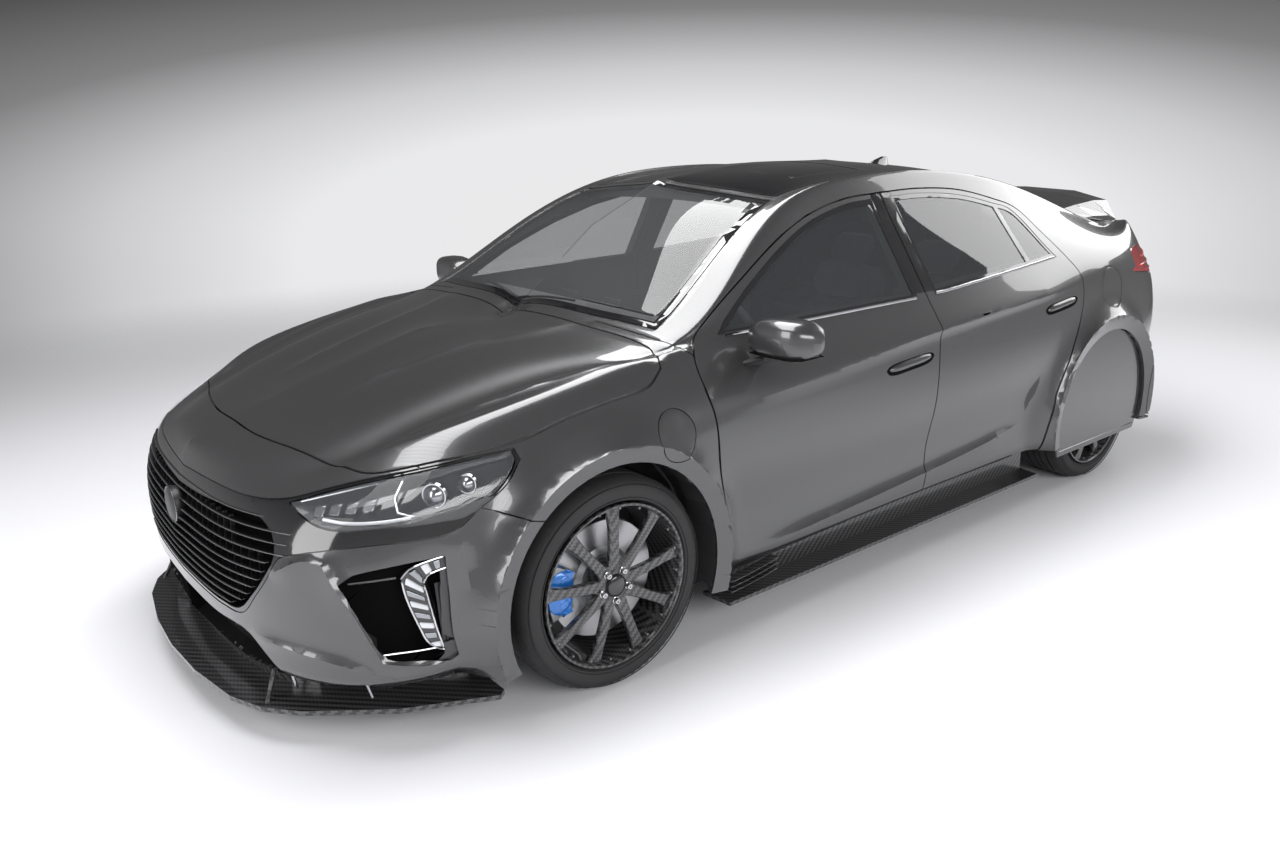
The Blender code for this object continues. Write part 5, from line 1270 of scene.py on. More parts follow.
@dataclass
class BodyPanels:
    """The painted panels, with the seams between them."""

    skin: Skin
    hood: tuple = (
        (0.905, 0.00), (0.901, 0.20), (0.886, 0.40), (0.866, 0.58), (0.845, 0.725), (0.775, 0.838),
        (0.700, 0.886), (0.630, 0.897), (0.570, 0.905), (0.510, 0.908), (0.482, 0.885),
        (0.468, 0.780), (0.485, 0.39), (0.492, 0.00),
    )
    screen: tuple = (
        (0.470, 0.00), (0.461, 0.39), (0.436, 0.725), (0.296, 0.648), (0.156, 0.566), (0.174, 0.31),
        (0.181, 0.00),
    )
    roof: tuple = (
        (0.164, 0.00), (0.157, 0.31), (0.138, 0.556), (-0.035, 0.536), (-0.247, 0.532),
        (-0.420, 0.545), (-0.414, 0.30), (-0.410, 0.00),
    )
    back_glass: tuple = (
        (-0.455, 0.00), (-0.459, 0.30), (-0.468, 0.535), (-0.626, 0.538), (-0.770, 0.540),
        (-0.783, 0.30), (-0.788, 0.00),
    )
    hatch: tuple = (
        (-0.430, 0.00), (-0.430, 0.612), (-0.700, 0.612), (-0.900, 0.612), (-1.060, 0.612),
        (-1.060, 0.00),
    )
    front_door: tuple = (
        (0.393, 0.164), (0.404, 0.300), (0.418, 0.450), (0.427, 0.580), (0.424, 0.655),
        (0.385, 0.712), (0.290, 0.795), (0.200, 0.862), (0.120, 0.905), (0.030, 0.932),
        (-0.056, 0.940), (-0.060, 0.700), (-0.054, 0.164),
    )
    rear_door: tuple = (
        (-0.054, 0.164), (-0.060, 0.700), (-0.056, 0.940), (-0.160, 0.942), (-0.270, 0.930),
        (-0.370, 0.896), (-0.432, 0.862), (-0.470, 0.790), (-0.492, 0.730), (-0.506, 0.650),
        (-0.500, 0.560), (-0.462, 0.460), (-0.425, 0.360), (-0.408, 0.260), (-0.400, 0.164),
    )
    front_window: tuple = (
        (0.360, 0.690), (0.290, 0.762), (0.200, 0.834), (0.120, 0.880), (0.030, 0.909),
        (-0.026, 0.915), (-0.030, 0.697),
    )
    rear_window: tuple = (
        (-0.088, 0.701), (-0.086, 0.918), (-0.160, 0.919), (-0.265, 0.906), (-0.355, 0.876),
        (-0.410, 0.848), (-0.452, 0.736),
    )
    fender: tuple = (
        (0.395, 0.100), (0.395, 0.164), (0.406, 0.300), (0.420, 0.450), (0.429, 0.580),
        (0.426, 0.655), (0.440, 0.672), (0.520, 0.760), (0.860, 0.760), (0.860, 0.100),
    )
    bumper: tuple = (
        (1.30, 0.02), (1.30, 0.545), (1.47, 0.560), (1.547, 0.588), (1.66, 0.632), (1.74, 0.668),
        (1.80, 0.74), (1.90, 0.90), (2.60, 0.90), (2.60, 0.02),
    )
    tail_bumper: tuple = (
        (-0.780, 0.050), (-0.780, 0.455), (-0.860, 0.545), (-1.100, 0.545), (-1.100, 0.050),
    )
    mask: tuple = (
        (2.179, 0.000, 0.652), (2.163, 0.251, 0.659), (2.124, 0.440, 0.663), (2.076, 0.541, 0.676),
        (1.982, 0.619, 0.706), (1.889, 0.697, 0.733), (1.736, 0.782, 0.759), (1.581, 0.824, 0.772),
        (1.575, 0.845, 0.745), (1.620, 0.857, 0.695), (1.700, 0.855, 0.650), (1.775, 0.850, 0.605),
        (1.860, 0.830, 0.596), (1.950, 0.785, 0.596), (2.036, 0.719, 0.585), (2.110, 0.620, 0.560),
        (2.133, 0.588, 0.545), (2.158, 0.555, 0.485), (2.179, 0.505, 0.423), (2.195, 0.438, 0.358),
        (2.211, 0.333, 0.345), (2.220, 0.181, 0.340), (2.222, 0.000, 0.338),
    )
    lamp: tuple = (
        (2.072, 0.548, 0.670), (1.982, 0.619, 0.700), (1.889, 0.697, 0.727), (1.736, 0.782, 0.753),
        (1.585, 0.824, 0.766), (1.583, 0.838, 0.747), (1.615, 0.853, 0.712), (1.670, 0.860, 0.672),
        (1.739, 0.853, 0.636), (1.820, 0.835, 0.634), (1.905, 0.796, 0.634), (2.010, 0.722, 0.628),
        (2.053, 0.664, 0.634), (2.068, 0.613, 0.650),
    )
    grille: tuple = (
        (2.200, 0.000, 0.607), (2.195, 0.154, 0.612), (2.172, 0.342, 0.625), (2.140, 0.480, 0.630),
        (2.125, 0.545, 0.600), (2.133, 0.568, 0.550), (2.160, 0.540, 0.485), (2.180, 0.488, 0.423),
        (2.196, 0.420, 0.366), (2.213, 0.333, 0.355), (2.222, 0.181, 0.350), (2.224, 0.000, 0.348),
    )
    intake: tuple = (
        (2.040, 0.735, 0.500), (2.015, 0.756, 0.522), (1.929, 0.809, 0.540), (1.805, 0.848, 0.547),
        (1.800, 0.845, 0.464), (1.795, 0.841, 0.361), (1.788, 0.846, 0.262), (1.809, 0.843, 0.252),
        (1.882, 0.826, 0.272), (1.958, 0.796, 0.292), (1.985, 0.781, 0.345), (2.014, 0.761, 0.424),
    )
    low_intake: tuple = (
        (0.000, 0.300), (0.250, 0.303), (0.420, 0.312), (0.480, 0.292), (0.560, 0.222),
        (0.585, 0.198), (0.400, 0.200), (0.200, 0.196), (0.000, 0.195),
    )

    front_pillar: tuple = ((-0.005, 0.698), (-0.040, 1.0), (-0.063, 1.0), (-0.063, 0.698))
    rear_pillar: tuple = ((-0.053, 0.698), (-0.053, 1.0), (-0.080, 1.0), (-0.088, 0.698))
    quarter_post: tuple = ((-0.885, 0.92), (-0.845, 1.40), (-0.815, 1.40), (-0.855, 0.92))
    tail_lamp: tuple = (
        (0.640, 0.84), (0.78, 0.855), (0.86, 0.90), (0.88, 0.955), (0.80, 1.00), (0.60, 0.975),
    )
    hatch_tail: tuple = ((PAST_CENTRE, 0.768), (0.559, 0.768), (0.559, 1.25), (PAST_CENTRE, 1.25))
    tail_low: tuple = (
        (PAST_CENTRE, 0.10), (0.600, 0.10), (0.655, 0.300), (0.560, 0.372), (0.300, 0.392),
        (PAST_CENTRE, 0.396),
    )

    screen_border: float = 0.030
    back_glass_border: float = 0.028
    window_border: float = 0.016
    sunroof: tuple = ((0.06, 0.37), (-0.32, 0.37), (-0.32, PAST_CENTRE), (0.06, PAST_CENTRE))
    flap: tuple = ((1.092, 0.722), 0.070, 40, 0.074)
    rear_flap: tuple = ((-1.430, 0.862), 0.098, 40, 0.085)

    creases: tuple = (
        (View.SIDE, ((0.93, 0.752), (0.702, 0.779), (0.304, 0.812), (-0.122, 0.850),
                     (-0.588, 0.880), (-1.20, 0.905)), 0.010, 0.035, 0.115),
        (View.SIDE, ((0.74, 0.262), (0.457, 0.280), (0.121, 0.298), (-0.258, 0.322),
                     (-0.538, 0.345), (-0.80, 0.375)), 0.012, 0.090, 0.022),
        (View.TOP, ((1.86, 0.60), (1.62, 0.655), (1.35, 0.715), (1.10, 0.775)), 0.012, 0.10, 0.05),
        (View.TOP, ((1.80, 0.20), (1.50, 0.235), (1.20, 0.33), (1.06, 0.42)), 0.008, 0.14, 0.05),
        (View.CORNER, ((2.150, 0.560, 0.500), (2.095, 0.655, 0.556), (2.060, 0.705, 0.552),
                       (2.045, 0.728, 0.500), (2.015, 0.757, 0.424), (1.988, 0.778, 0.345),
                       (1.965, 0.792, 0.285), (1.880, 0.824, 0.262), (1.790, 0.842, 0.245)),
         0.016, 0.012, 0.080, 0.1),
        (View.CORNER, ((2.189, 0.463, 0.318), (2.118, 0.640, 0.300), (2.054, 0.724, 0.280),
                       (1.988, 0.780, 0.255), (1.900, 0.817, 0.235), (1.760, 0.850, 0.230)),
         0.010, 0.030, 0.060),
        (View.CORNER, ((1.775, 0.850, 0.615), (1.762, 0.857, 0.560), (1.772, 0.850, 0.480),
                       (1.778, 0.846, 0.400), (1.778, 0.846, 0.270)), 0.012, 0.020, 0.060),
    )

    def cut(self) -> None:
        """Marks every panel on the skin, in the order that they lie over each other."""
        s = self.skin
        for axle in (FRONT_AXLE_X, REAR_AXLE_X):
            ring = circle((axle, HUB_Z), ARCH_RADIUS, ARCH_STEPS)
            s.mark(ring, View.SIDE, Zone.GAP, 0, reach=LEFT_SIDE)
        for face in s.grid.faces:
            if face.normal.z < -0.8 and face.calc_center_median().z < 0.30:
                face[s.zone] = Zone.GAP
        s.mark(smooth_line(top_line(self.hood)), View.TOP, Zone.HOOD)
        s.mark(smooth_line(top_line(self.screen)), View.TOP, Zone.SCREEN_EDGE)
        s.mark(offset(smooth_line(top_line(self.screen)), -self.screen_border), View.TOP,
               Zone.SCREEN, 0, (Zone.SCREEN_EDGE,))
        s.mark(smooth_line(top_line(self.roof)), View.TOP, Zone.ROOF, reach=(1.0, 2.0))
        s.mark(smooth_line(self.sunroof), View.TOP, Zone.SUNROOF, FINE_SEAM, (Zone.ROOF,))
        s.mark(top_line(self.hatch), View.TOP, Zone.HATCH, reach=(0.76, 2.0))
        pane = smooth_line(top_line(self.back_glass))
        s.mark(offset(pane, self.back_glass_border), View.TOP, Zone.HATCH_EDGE, 0, (Zone.HATCH,),
               (0.9, 2.0))
        s.mark(pane, View.TOP, Zone.HATCH_GLASS, 0, (Zone.HATCH_EDGE,), (0.9, 2.0))
        s.mark(at_corner(smooth_line(self.lamp)), View.CORNER, Zone.LAMP, FINE_SEAM, reach=NOSE_END)
        for outline, zone, gap, only in ((self.mask, Zone.MASK, HAIR_SEAM, Zone.SHELL),
                                         (self.grille, Zone.GRILLE, 0, Zone.MASK)):
            ends = [(2.25, -0.08, outline[-1][2]), (2.25, -0.08, outline[0][2])]
            s.mark(at_corner(smooth_line(outline, closed=False) + ends), View.CORNER, zone, gap,
                   (only,), NOSE_END)
        for door, line in ((Zone.FRONT_DOOR, self.front_door), (Zone.REAR_DOOR, self.rear_door)):
            s.mark(smooth_line(side_line(line)), View.SIDE, door, reach=LEFT_SIDE)
        for door, frame, glass, window in (
                (Zone.FRONT_DOOR, Zone.FRONT_FRAME, Zone.FRONT_GLASS, self.front_window),
                (Zone.REAR_DOOR, Zone.REAR_FRAME, Zone.REAR_GLASS, self.rear_window)):
            line = smooth_line(side_line(window))
            s.mark(offset(line, self.window_border), View.SIDE, frame, 0, (door,))
            s.mark(line, View.SIDE, glass, 0, (frame,))
        for zone, door, line in ((Zone.PILLAR, Zone.FRONT_DOOR, self.front_pillar),
                                 (Zone.REAR_PILLAR, Zone.REAR_DOOR, self.rear_pillar)):
            s.mark(side_line(line), View.SIDE, zone, 0, (door,), LEFT_GREENHOUSE)
        s.mark(self.quarter_post, View.SIDE, Zone.REAR_FRAME, 0, (Zone.REAR_GLASS,),
               LEFT_GREENHOUSE)
        s.mark(smooth_line(self.bumper), View.SIDE, Zone.BUMPER, FINE_SEAM)
        s.mark(side_line(self.fender), View.SIDE, Zone.FENDER, HAIR_SEAM, reach=LEFT_SIDE)
        s.mark(at_corner(smooth_line(self.intake)), View.CORNER, Zone.INTAKE, 0, (Zone.BUMPER,))
        line = [tuple(p) for p in smooth_line(self.low_intake, closed=False)]
        s.mark([(PAST_CENTRE, 0.300)] + line + [(PAST_CENTRE, 0.195)], View.FRONT, Zone.LOW_INTAKE,
               0, (Zone.BUMPER,), (1.9, 9))
        s.mark(smooth_line(self.tail_lamp), View.REAR, Zone.TAIL_LAMP, FINE_SEAM, reach=TAIL_END)
        s.mark(self.hatch_tail, View.REAR, Zone.HATCH, 0, reach=(1.5, 9))
        s.mark(side_line(self.tail_bumper), View.SIDE, Zone.TAIL_BUMPER, FINE_SEAM)
        s.mark(smooth_line(self.tail_low), View.REAR, Zone.TAIL_BLACK, HAIR_SEAM,
               (Zone.TAIL_BUMPER,), TAIL_END)
        s.mark(circle(*self.flap), View.SIDE, Zone.FLAP, HAIR_SEAM, (Zone.SHELL, Zone.FENDER))
        s.mark(circle(*self.rear_flap), View.SIDE, Zone.REAR_FLAP, HAIR_SEAM,
               reach=LEFT_GREENHOUSE)

    def shape(self) -> None:
        """Raises the creases of the hood, doors and bumper."""
        for view, points, *sizes in self.creases:
            line = smooth_line(points, False)
            self.skin.crease(at_corner(line) if view is View.CORNER else line, view, *sizes)

    def take(self, zone: Zone, name: str, finish: str, centre: bool = False, sink: float = 0.0,
             depth: float = 0.010, edge: float = 0.0011) -> list[bpy.types.Object]:
        """Lifts a zone off the skin as one piece across the middle, or as two.

        Args:
            zone: the zone.
            name: the piece's name, without its side.
            finish: the finish's name.
            centre: whether the zone runs across the middle.
            sink: how far below the skin it lies.
            depth: how far its edges turn inwards.
            edge: how far its edges are rounded.

        Returns:
            The piece, or the left and right ones.
        """
        s = self.skin
        grid = bmesh.new()
        made: dict = {}
        normals: dict = {}
        for face in s.grid.faces:
            if face[s.zone] != zone:
                continue
            corners = []
            for v in face.verts:
                if v.index not in made:
                    made[v.index] = grid.verts.new(v.co - v.normal * sink)
                    normals[made[v.index]] = v.normal.copy()
                corners.append(made[v.index])
            grid.faces.new(corners)
        bmesh.ops.remove_doubles(grid, verts=grid.verts, dist=WELD)
        rim = [e for e in grid.edges if e.is_boundary
               and not (centre and all(abs(v.co.y) < 1e-4 for v in e.verts))]
        if depth and rim:
            result = bmesh.ops.extrude_edge_only(grid, edges=rim)
            fresh = [v for v in result["geom"] if isinstance(v, bmesh.types.BMVert)]
            source = {}
            for e in grid.edges:
                a, b = e.verts
                if a in normals and b not in normals:
                    source[b] = a
                elif b in normals and a not in normals:
                    source[a] = b
            for v in fresh:
                if v in source:
                    v.co -= normals[source[v]] * depth
            if edge:
                bmesh.ops.bevel(grid, geom=rim, offset=edge, segments=2, profile=0.6,
                                affect="EDGES", clamp_overlap=True)
        if centre:
            bmesh.ops.mirror(grid, geom=grid.verts[:] + grid.edges[:] + grid.faces[:],
                             matrix=Matrix.Identity(4), merge_dist=1e-4, axis="Y")
        piece = from_grid(name if centre else name + "_left", grid, finish, 40)
        return [piece] if centre else [piece, mirrored(piece, name + "_right")]

    def over_opening(self, face: bmesh.types.BMFace) -> bool:
        """Tells whether a face of a core lies behind an opening of the nose.

        Args:
            face: the face.

        Returns:
            Whether it does.
        """
        s = self.skin
        for at in [face.calc_center_median()] + [v.co for v in face.verts]:
            spot, _, index, away = s.tree.find_nearest(Vector((at.x, abs(at.y), at.z)))
            if spot is None or away >= OPENING_REACH:
                continue
            if s.grid.faces[index][s.zone] in OPENINGS:
                return True
        return False

    def core(self, node: str, finish: str = "jamb") -> bpy.types.Object:
        """Copies a CAD node with its outer face drawn in under the fine skin.

        Args:
            node: the node's name.
            finish: the finish's name.

        Returns:
            The copy.
        """
        s = self.skin
        grid = bmesh.new()
        grid.from_mesh(frame_node(node).data)
        s.grid.faces.ensure_lookup_table()
        open_faces = []
        if node in OPENED:
            bmesh.ops.triangulate(grid, faces=grid.faces)
            for _ in range(3):
                long_edges = [e for e in grid.edges if e.calc_length() > LONG_EDGE
                              and max(v.co.x for v in e.verts) > NOSE_X]
                bmesh.ops.subdivide_edges(grid, edges=long_edges, cuts=1, use_grid_fill=False)
                bmesh.ops.triangulate(grid, faces=[f for f in grid.faces if len(f.verts) > 3])
            open_faces = [f for f in grid.faces if self.over_opening(f)]
        bmesh.ops.delete(grid, geom=open_faces, context="FACES")
        for vert in grid.verts:
            side = -1 if vert.co.y < 0 else 1
            at = Vector((vert.co.x, vert.co.y * side, vert.co.z))
            spot, normal, _, away = s.tree.find_nearest(at)
            if spot is None or away > CORE_REACH:
                continue
            if (at - spot).dot(normal) > -CORE_DEPTH:
                at = spot - normal * CORE_DEPTH
                vert.co = Vector((at.x, at.y * side, at.z))
        mesh = bpy.data.meshes.new(node + "_core")
        grid.to_mesh(mesh)
        grid.free()
        return placed(node + "_core", mesh, finish, 30)


def upright_core(node: str, axle: float) -> bpy.types.Object:
    """Copies a wheel carrier with its plain caliper drawn in under the fine one.

    Args:
        node: the node's name.
        axle: its wheel's place along the car.

    Returns:
        The copy.
    """
    mesh = frame_node(node).data.copy()
    for vert in mesh.vertices:
        side = -1 if vert.co.y < 0 else 1
        arm = Vector((vert.co.x - axle, 0, vert.co.z - HUB_Z))
        if abs(vert.co.y) > CALIPER_Y - 0.006 and arm.length > CALIPER_INNER:
            arm *= 0.94 if arm.length > CALIPER_MIDDLE else 1.06
            across = CALIPER_Y + (abs(vert.co.y) - CALIPER_Y) * 0.88
            vert.co = Vector((axle + arm.x, side * across, HUB_Z + arm.z))
    return placed(node + "_core", mesh, "steel", 30)


FRAME: dict = {}


def frame_node(name: str) -> bpy.types.Object:
    """Returns a CAD node of the loaded frame."""
    return FRAME["nodes"][name]


# ---------------------------------------------------------------- nose


@dataclass
class Nose:
    """The grille, lamps and intakes of the front."""

    skin: Skin
    slats: int = 11
    low_z: float = 0.362
    high_z: float = 0.622
    recess: float = 0.060
    boss_z: float = 0.541
    boss: tuple = ((0.040, 0.011), (0.052, 0.006), (0.055, -0.004), (0.050, -0.02))
    projectors: tuple = (((1.800, 0.800, 0.690), 0.034), ((1.722, 0.822, 0.706), 0.027))
    projector_profile: tuple = (
        (1.0, 0.012), (0.96, 0.020), (0.86, 0.020), (0.80, 0.010), (0.55, 0.024), (0.25, 0.031),
        (0.02, 0.033),
    )
    lamp_lines: tuple = (
        ("light_bar", 0.016, 0.0045, "lit", 1.0,
         ((2.045, 0.665, 0.644), (2.000, 0.715, 0.640), (1.930, 0.770, 0.643),
          (1.870, 0.800, 0.648))),
        ("brow", 0.012, 0.0055, "reflector", 0.6,
         ((2.050, 0.570, 0.672), (1.975, 0.628, 0.694), (1.885, 0.702, 0.719),
          (1.740, 0.785, 0.744), (1.620, 0.820, 0.755))),
        ("hook", 0.018, 0.0050, "chrome", 0.7,
         ((1.868, 0.745, 0.722), (1.885, 0.755, 0.690), (1.880, 0.770, 0.660),
          (1.840, 0.795, 0.648), (1.760, 0.830, 0.652), (1.705, 0.842, 0.672))),
    )

    def recessed(self, panels: BodyPanels, zone: Zone, name: str, depth: float, finish: str,
                 centre: bool) -> list[bpy.types.Object]:
        """Builds the floor and walls of an opening in the skin."""
        return panels.take(zone, name, finish, centre, sink=depth, depth=-depth, edge=0)

    def slat(self, z: float, half: float, reach: float, number: int) -> bpy.types.Object:
        """Builds one slat of the grille, with a thin bright front edge.

        Args:
            z: its height in the middle.
            half: half its width.
            reach: how far its ends stand out past the opening.
            number: its number from the bottom.

        Returns:
            The slat.
        """
        rings, trims = [], []
        steps = 44
        for i in range(steps + 1):
            y = (half + reach) * (2 * i / steps - 1)
            share = abs(y) / half
            height = z + 0.010 * share**2
            hit = self.skin.hit(Vector((0, abs(y), height)), View.FRONT) or Vector((2.2, y, height))
            spot = Vector((hit.x + 0.0015, y, height))
            along = 1 - 0.6 * max(share - 0.93, 0) / 0.07 if share > 0.93 else 1.0
            along = max(along, 0.25)
            rings.append([spot + Vector(p) for p in ((0, 0, 0.0028 * along),
                                                     (0, 0, -0.0028 * along),
                                                     (-0.034, 0, -0.0075 * along),
                                                     (-0.034, 0, -0.0015 * along))])
            trims.append(spot + Vector((0.0008, 0, 0)))
        body = rounded(lofted(f"grille_slat_{number}", rings, "black"), 0.0009)
        trim = tube(f"grille_trim_{number}", trims, 0.0017, "edge", 6)
        return merged(f"grille_slat_{number}", [body, trim])

    def grille(self, panels: BodyPanels) -> list[bpy.types.Object]:
        """Builds the opening, its slats and the bare round boss in the middle.

        Args:
            panels: the panels.

        Returns:
            The well, the slats, the uprights and the boss.
        """
        # The well takes the near-black duct finish: black plastic with the shade of the deep
        # opening painted into its colour.
        made = self.recessed(panels, Zone.GRILLE, "grille_well", self.recess, "duct", True)
        line = [(p[1], p[2]) for p in panels.grille]
        for i in range(self.slats):
            z = self.low_z + (self.high_z - self.low_z) * i / (self.slats - 1)
            half = float(np.interp(z, [p[1] for p in line[:4:-1]], [p[0] for p in line[:4:-1]]))
            if z > 0.600:
                half = 0.500
            reach = 0.040 if 0.52 < z < 0.61 else 0.0
            made.append(self.slat(z, half, reach, i))
        mesh_bars = []
        for i in range(25):
            y = -0.48 + 0.04 * i
            hit = self.skin.hit(Vector((0, abs(y), 0.48)), View.FRONT)
            x = hit.x - 0.036
            tall = 0.118 if abs(y) < 0.40 else 0.06
            mesh_bars.append(box_piece(f"bar_{i}", (x - 0.012, y - 0.0015, 0.485 - tall),
                                       (x, y + 0.0015, 0.485 + tall), "satin", 0.0005))
        made.append(merged("grille_uprights", mesh_bars))
        hit = self.skin.hit(Vector((0, 0, self.boss_z)), View.FRONT)
        rings = [[Vector((hit.x + d, y, z)) for y, z in circle((0, self.boss_z), r, 48)]
                 for r, d in self.boss]
        made.append(lofted("grille_boss", rings, "satin"))
        ring = [Vector((hit.x + 0.006, y, z)) for y, z in circle((0, self.boss_z), 0.053, 48)]
        made.append(tube("grille_boss_ring", ring, 0.0013, "edge", 8, loop=True))
        return made

    def on_skin(self, point: Point3, sink: float) -> Vector:
        """Returns a point's place under the skin, seen from the corner."""
        hit = self.skin.hit(Vector(point), View.CORNER)
        return (hit if hit else Vector(point)) - View.CORNER.out * sink

    def headlamp(self, panels: BodyPanels) -> bpy.types.Object:
        """Builds the left lamp: bowl, two lenses, light bar and divider behind a clear cover.

        Args:
            panels: the panels.

        Returns:
            The left piece.
        """
        bowl = panels.take(Zone.LAMP, "bowl", "black", False, sink=0.032, depth=-0.030, edge=0)
        bpy.data.objects.remove(bowl[1])
        made = [bowl[0]]
        out = View.CORNER.out
        side = out.cross(Vector((0, 0, 1))).normalized()
        up = side.cross(out)
        for place, radius in self.projectors:
            centre = self.on_skin(place, 0.034)
            rings = [[centre + out * d + (side * c + up * s) * (radius * r)
                      for c, s in circle((0, 0), 1, 32)] for r, d in self.projector_profile]
            made.append(lofted("projector", rings[:4], "chrome", caps=False))
            made.append(lofted("projector_glass", rings[3:], "reflector", caps=False))
        for name, sink, radius, finish, flat, points in self.lamp_lines:
            path = [self.on_skin(p, sink) for p in smooth_line(points, False)]
            made.append(tube(name, path, radius, finish, 8, flat))
        for i in range(4):
            a = (2.040 - 0.032 * i, 0.620 + 0.030 * i, 0.666 + 0.006 * i)
            block = [(a[0], a[1], a[2]), (a[0] - 0.022, a[1] + 0.018, a[2] + 0.004),
                     (a[0] - 0.018, a[1] + 0.020, a[2] - 0.018),
                     (a[0] + 0.004, a[1] + 0.002, a[2] - 0.018)]
            rings = [[self.on_skin(p, d) for p in block] for d in (0.030, 0.016)]
            made.append(rounded(lofted("cell", rings, "reflector"), 0.002))
        cover = panels.take(Zone.LAMP, "cover", "lens", False, sink=0.0005, depth=0.004)
        bpy.data.objects.remove(cover[1])
        made.append(cover[0])
        return merged("headlamp_unit_left", made)

    def boomerang(self) -> bpy.types.Object:
        """Builds the bent lamp of the left intake, with its row of cells in a bright frame.

        Returns:
            The left piece.
        """
        outer = [(1.807, 0.848, 0.543), (1.856, 0.836, 0.536), (1.902, 0.821, 0.522),
                 (1.921, 0.814, 0.501), (1.916, 0.815, 0.458), (1.902, 0.817, 0.405),
                 (1.885, 0.822, 0.352), (1.871, 0.827, 0.314), (1.844, 0.835, 0.286)]
        inner = [(1.809, 0.847, 0.511), (1.840, 0.840, 0.505), (1.860, 0.834, 0.497),
                 (1.870, 0.831, 0.480), (1.865, 0.831, 0.455), (1.856, 0.830, 0.411),
                 (1.846, 0.831, 0.355), (1.838, 0.835, 0.315), (1.831, 0.838, 0.282)]
        made = []
        edge = smooth_line(outer, False, 0.01) + smooth_line(inner[::-1], False, 0.01)
        plate = [[self.on_skin(tuple(p), d) for p in edge] for d in (0.030, 0.014)]
        made.append(lofted("backing", plate, "black"))
        made.append(tube("frame", [self.on_skin(tuple(p), 0.012) for p in edge], 0.0028, "chrome",
                         8, loop=True))
        a, b = smooth_line(outer, False, 0.002), smooth_line(inner, False, 0.002)
        for k in range(10):
            t0, t1 = 0.045 + 0.095 * k, 0.045 + 0.095 * k + 0.070
            pick = [a[int(t0 * len(a))], a[int(t1 * len(a))], b[int(t1 * len(b))],
                    b[int(t0 * len(b))]]
            middle = sum(pick, Vector((0, 0, 0))) / 4
            cell = [middle + (p - middle) * 0.74 for p in pick]
            rings = [[self.on_skin(tuple(p), d) for p in cell] for d in (0.016, 0.008)]
            made.append(rounded(lofted("cell", rings, "lit" if k % 2 else "reflector"), 0.0025, 3))
        return merged("side_lamp_left", made)

    def duct(self) -> bpy.types.Object:
        """Builds the upright fins and the shelf edge inside the left intake.

        Returns:
            The left piece.
        """
        made = []
        for i in range(4):
            top = (1.850 - 0.014 * i, 0.842 + 0.002 * i, 0.470)
            low = (1.838 - 0.012 * i, 0.842 + 0.002 * i, 0.285)
            made.append(tube("fin", [self.on_skin(top, 0.022), self.on_skin(low, 0.022)], 0.0035,
                             "satin", 6, 2.0))
        shelf = [(2.030, 0.745, 0.494), (1.985, 0.776, 0.499), (1.930, 0.806, 0.503)]
        made.append(tube("shelf", [self.on_skin(p, 0.016) for p in shelf], 0.003, "edge", 6))
        sill = [(1.970, 0.790, 0.300), (1.900, 0.822, 0.292), (1.850, 0.834, 0.290)]
        made.append(tube("sill", [self.on_skin(p, 0.014) for p in sill], 0.003, "edge", 6))
        return merged("intake_fins_left", made)


# ---------------------------------------------------------------- wheels


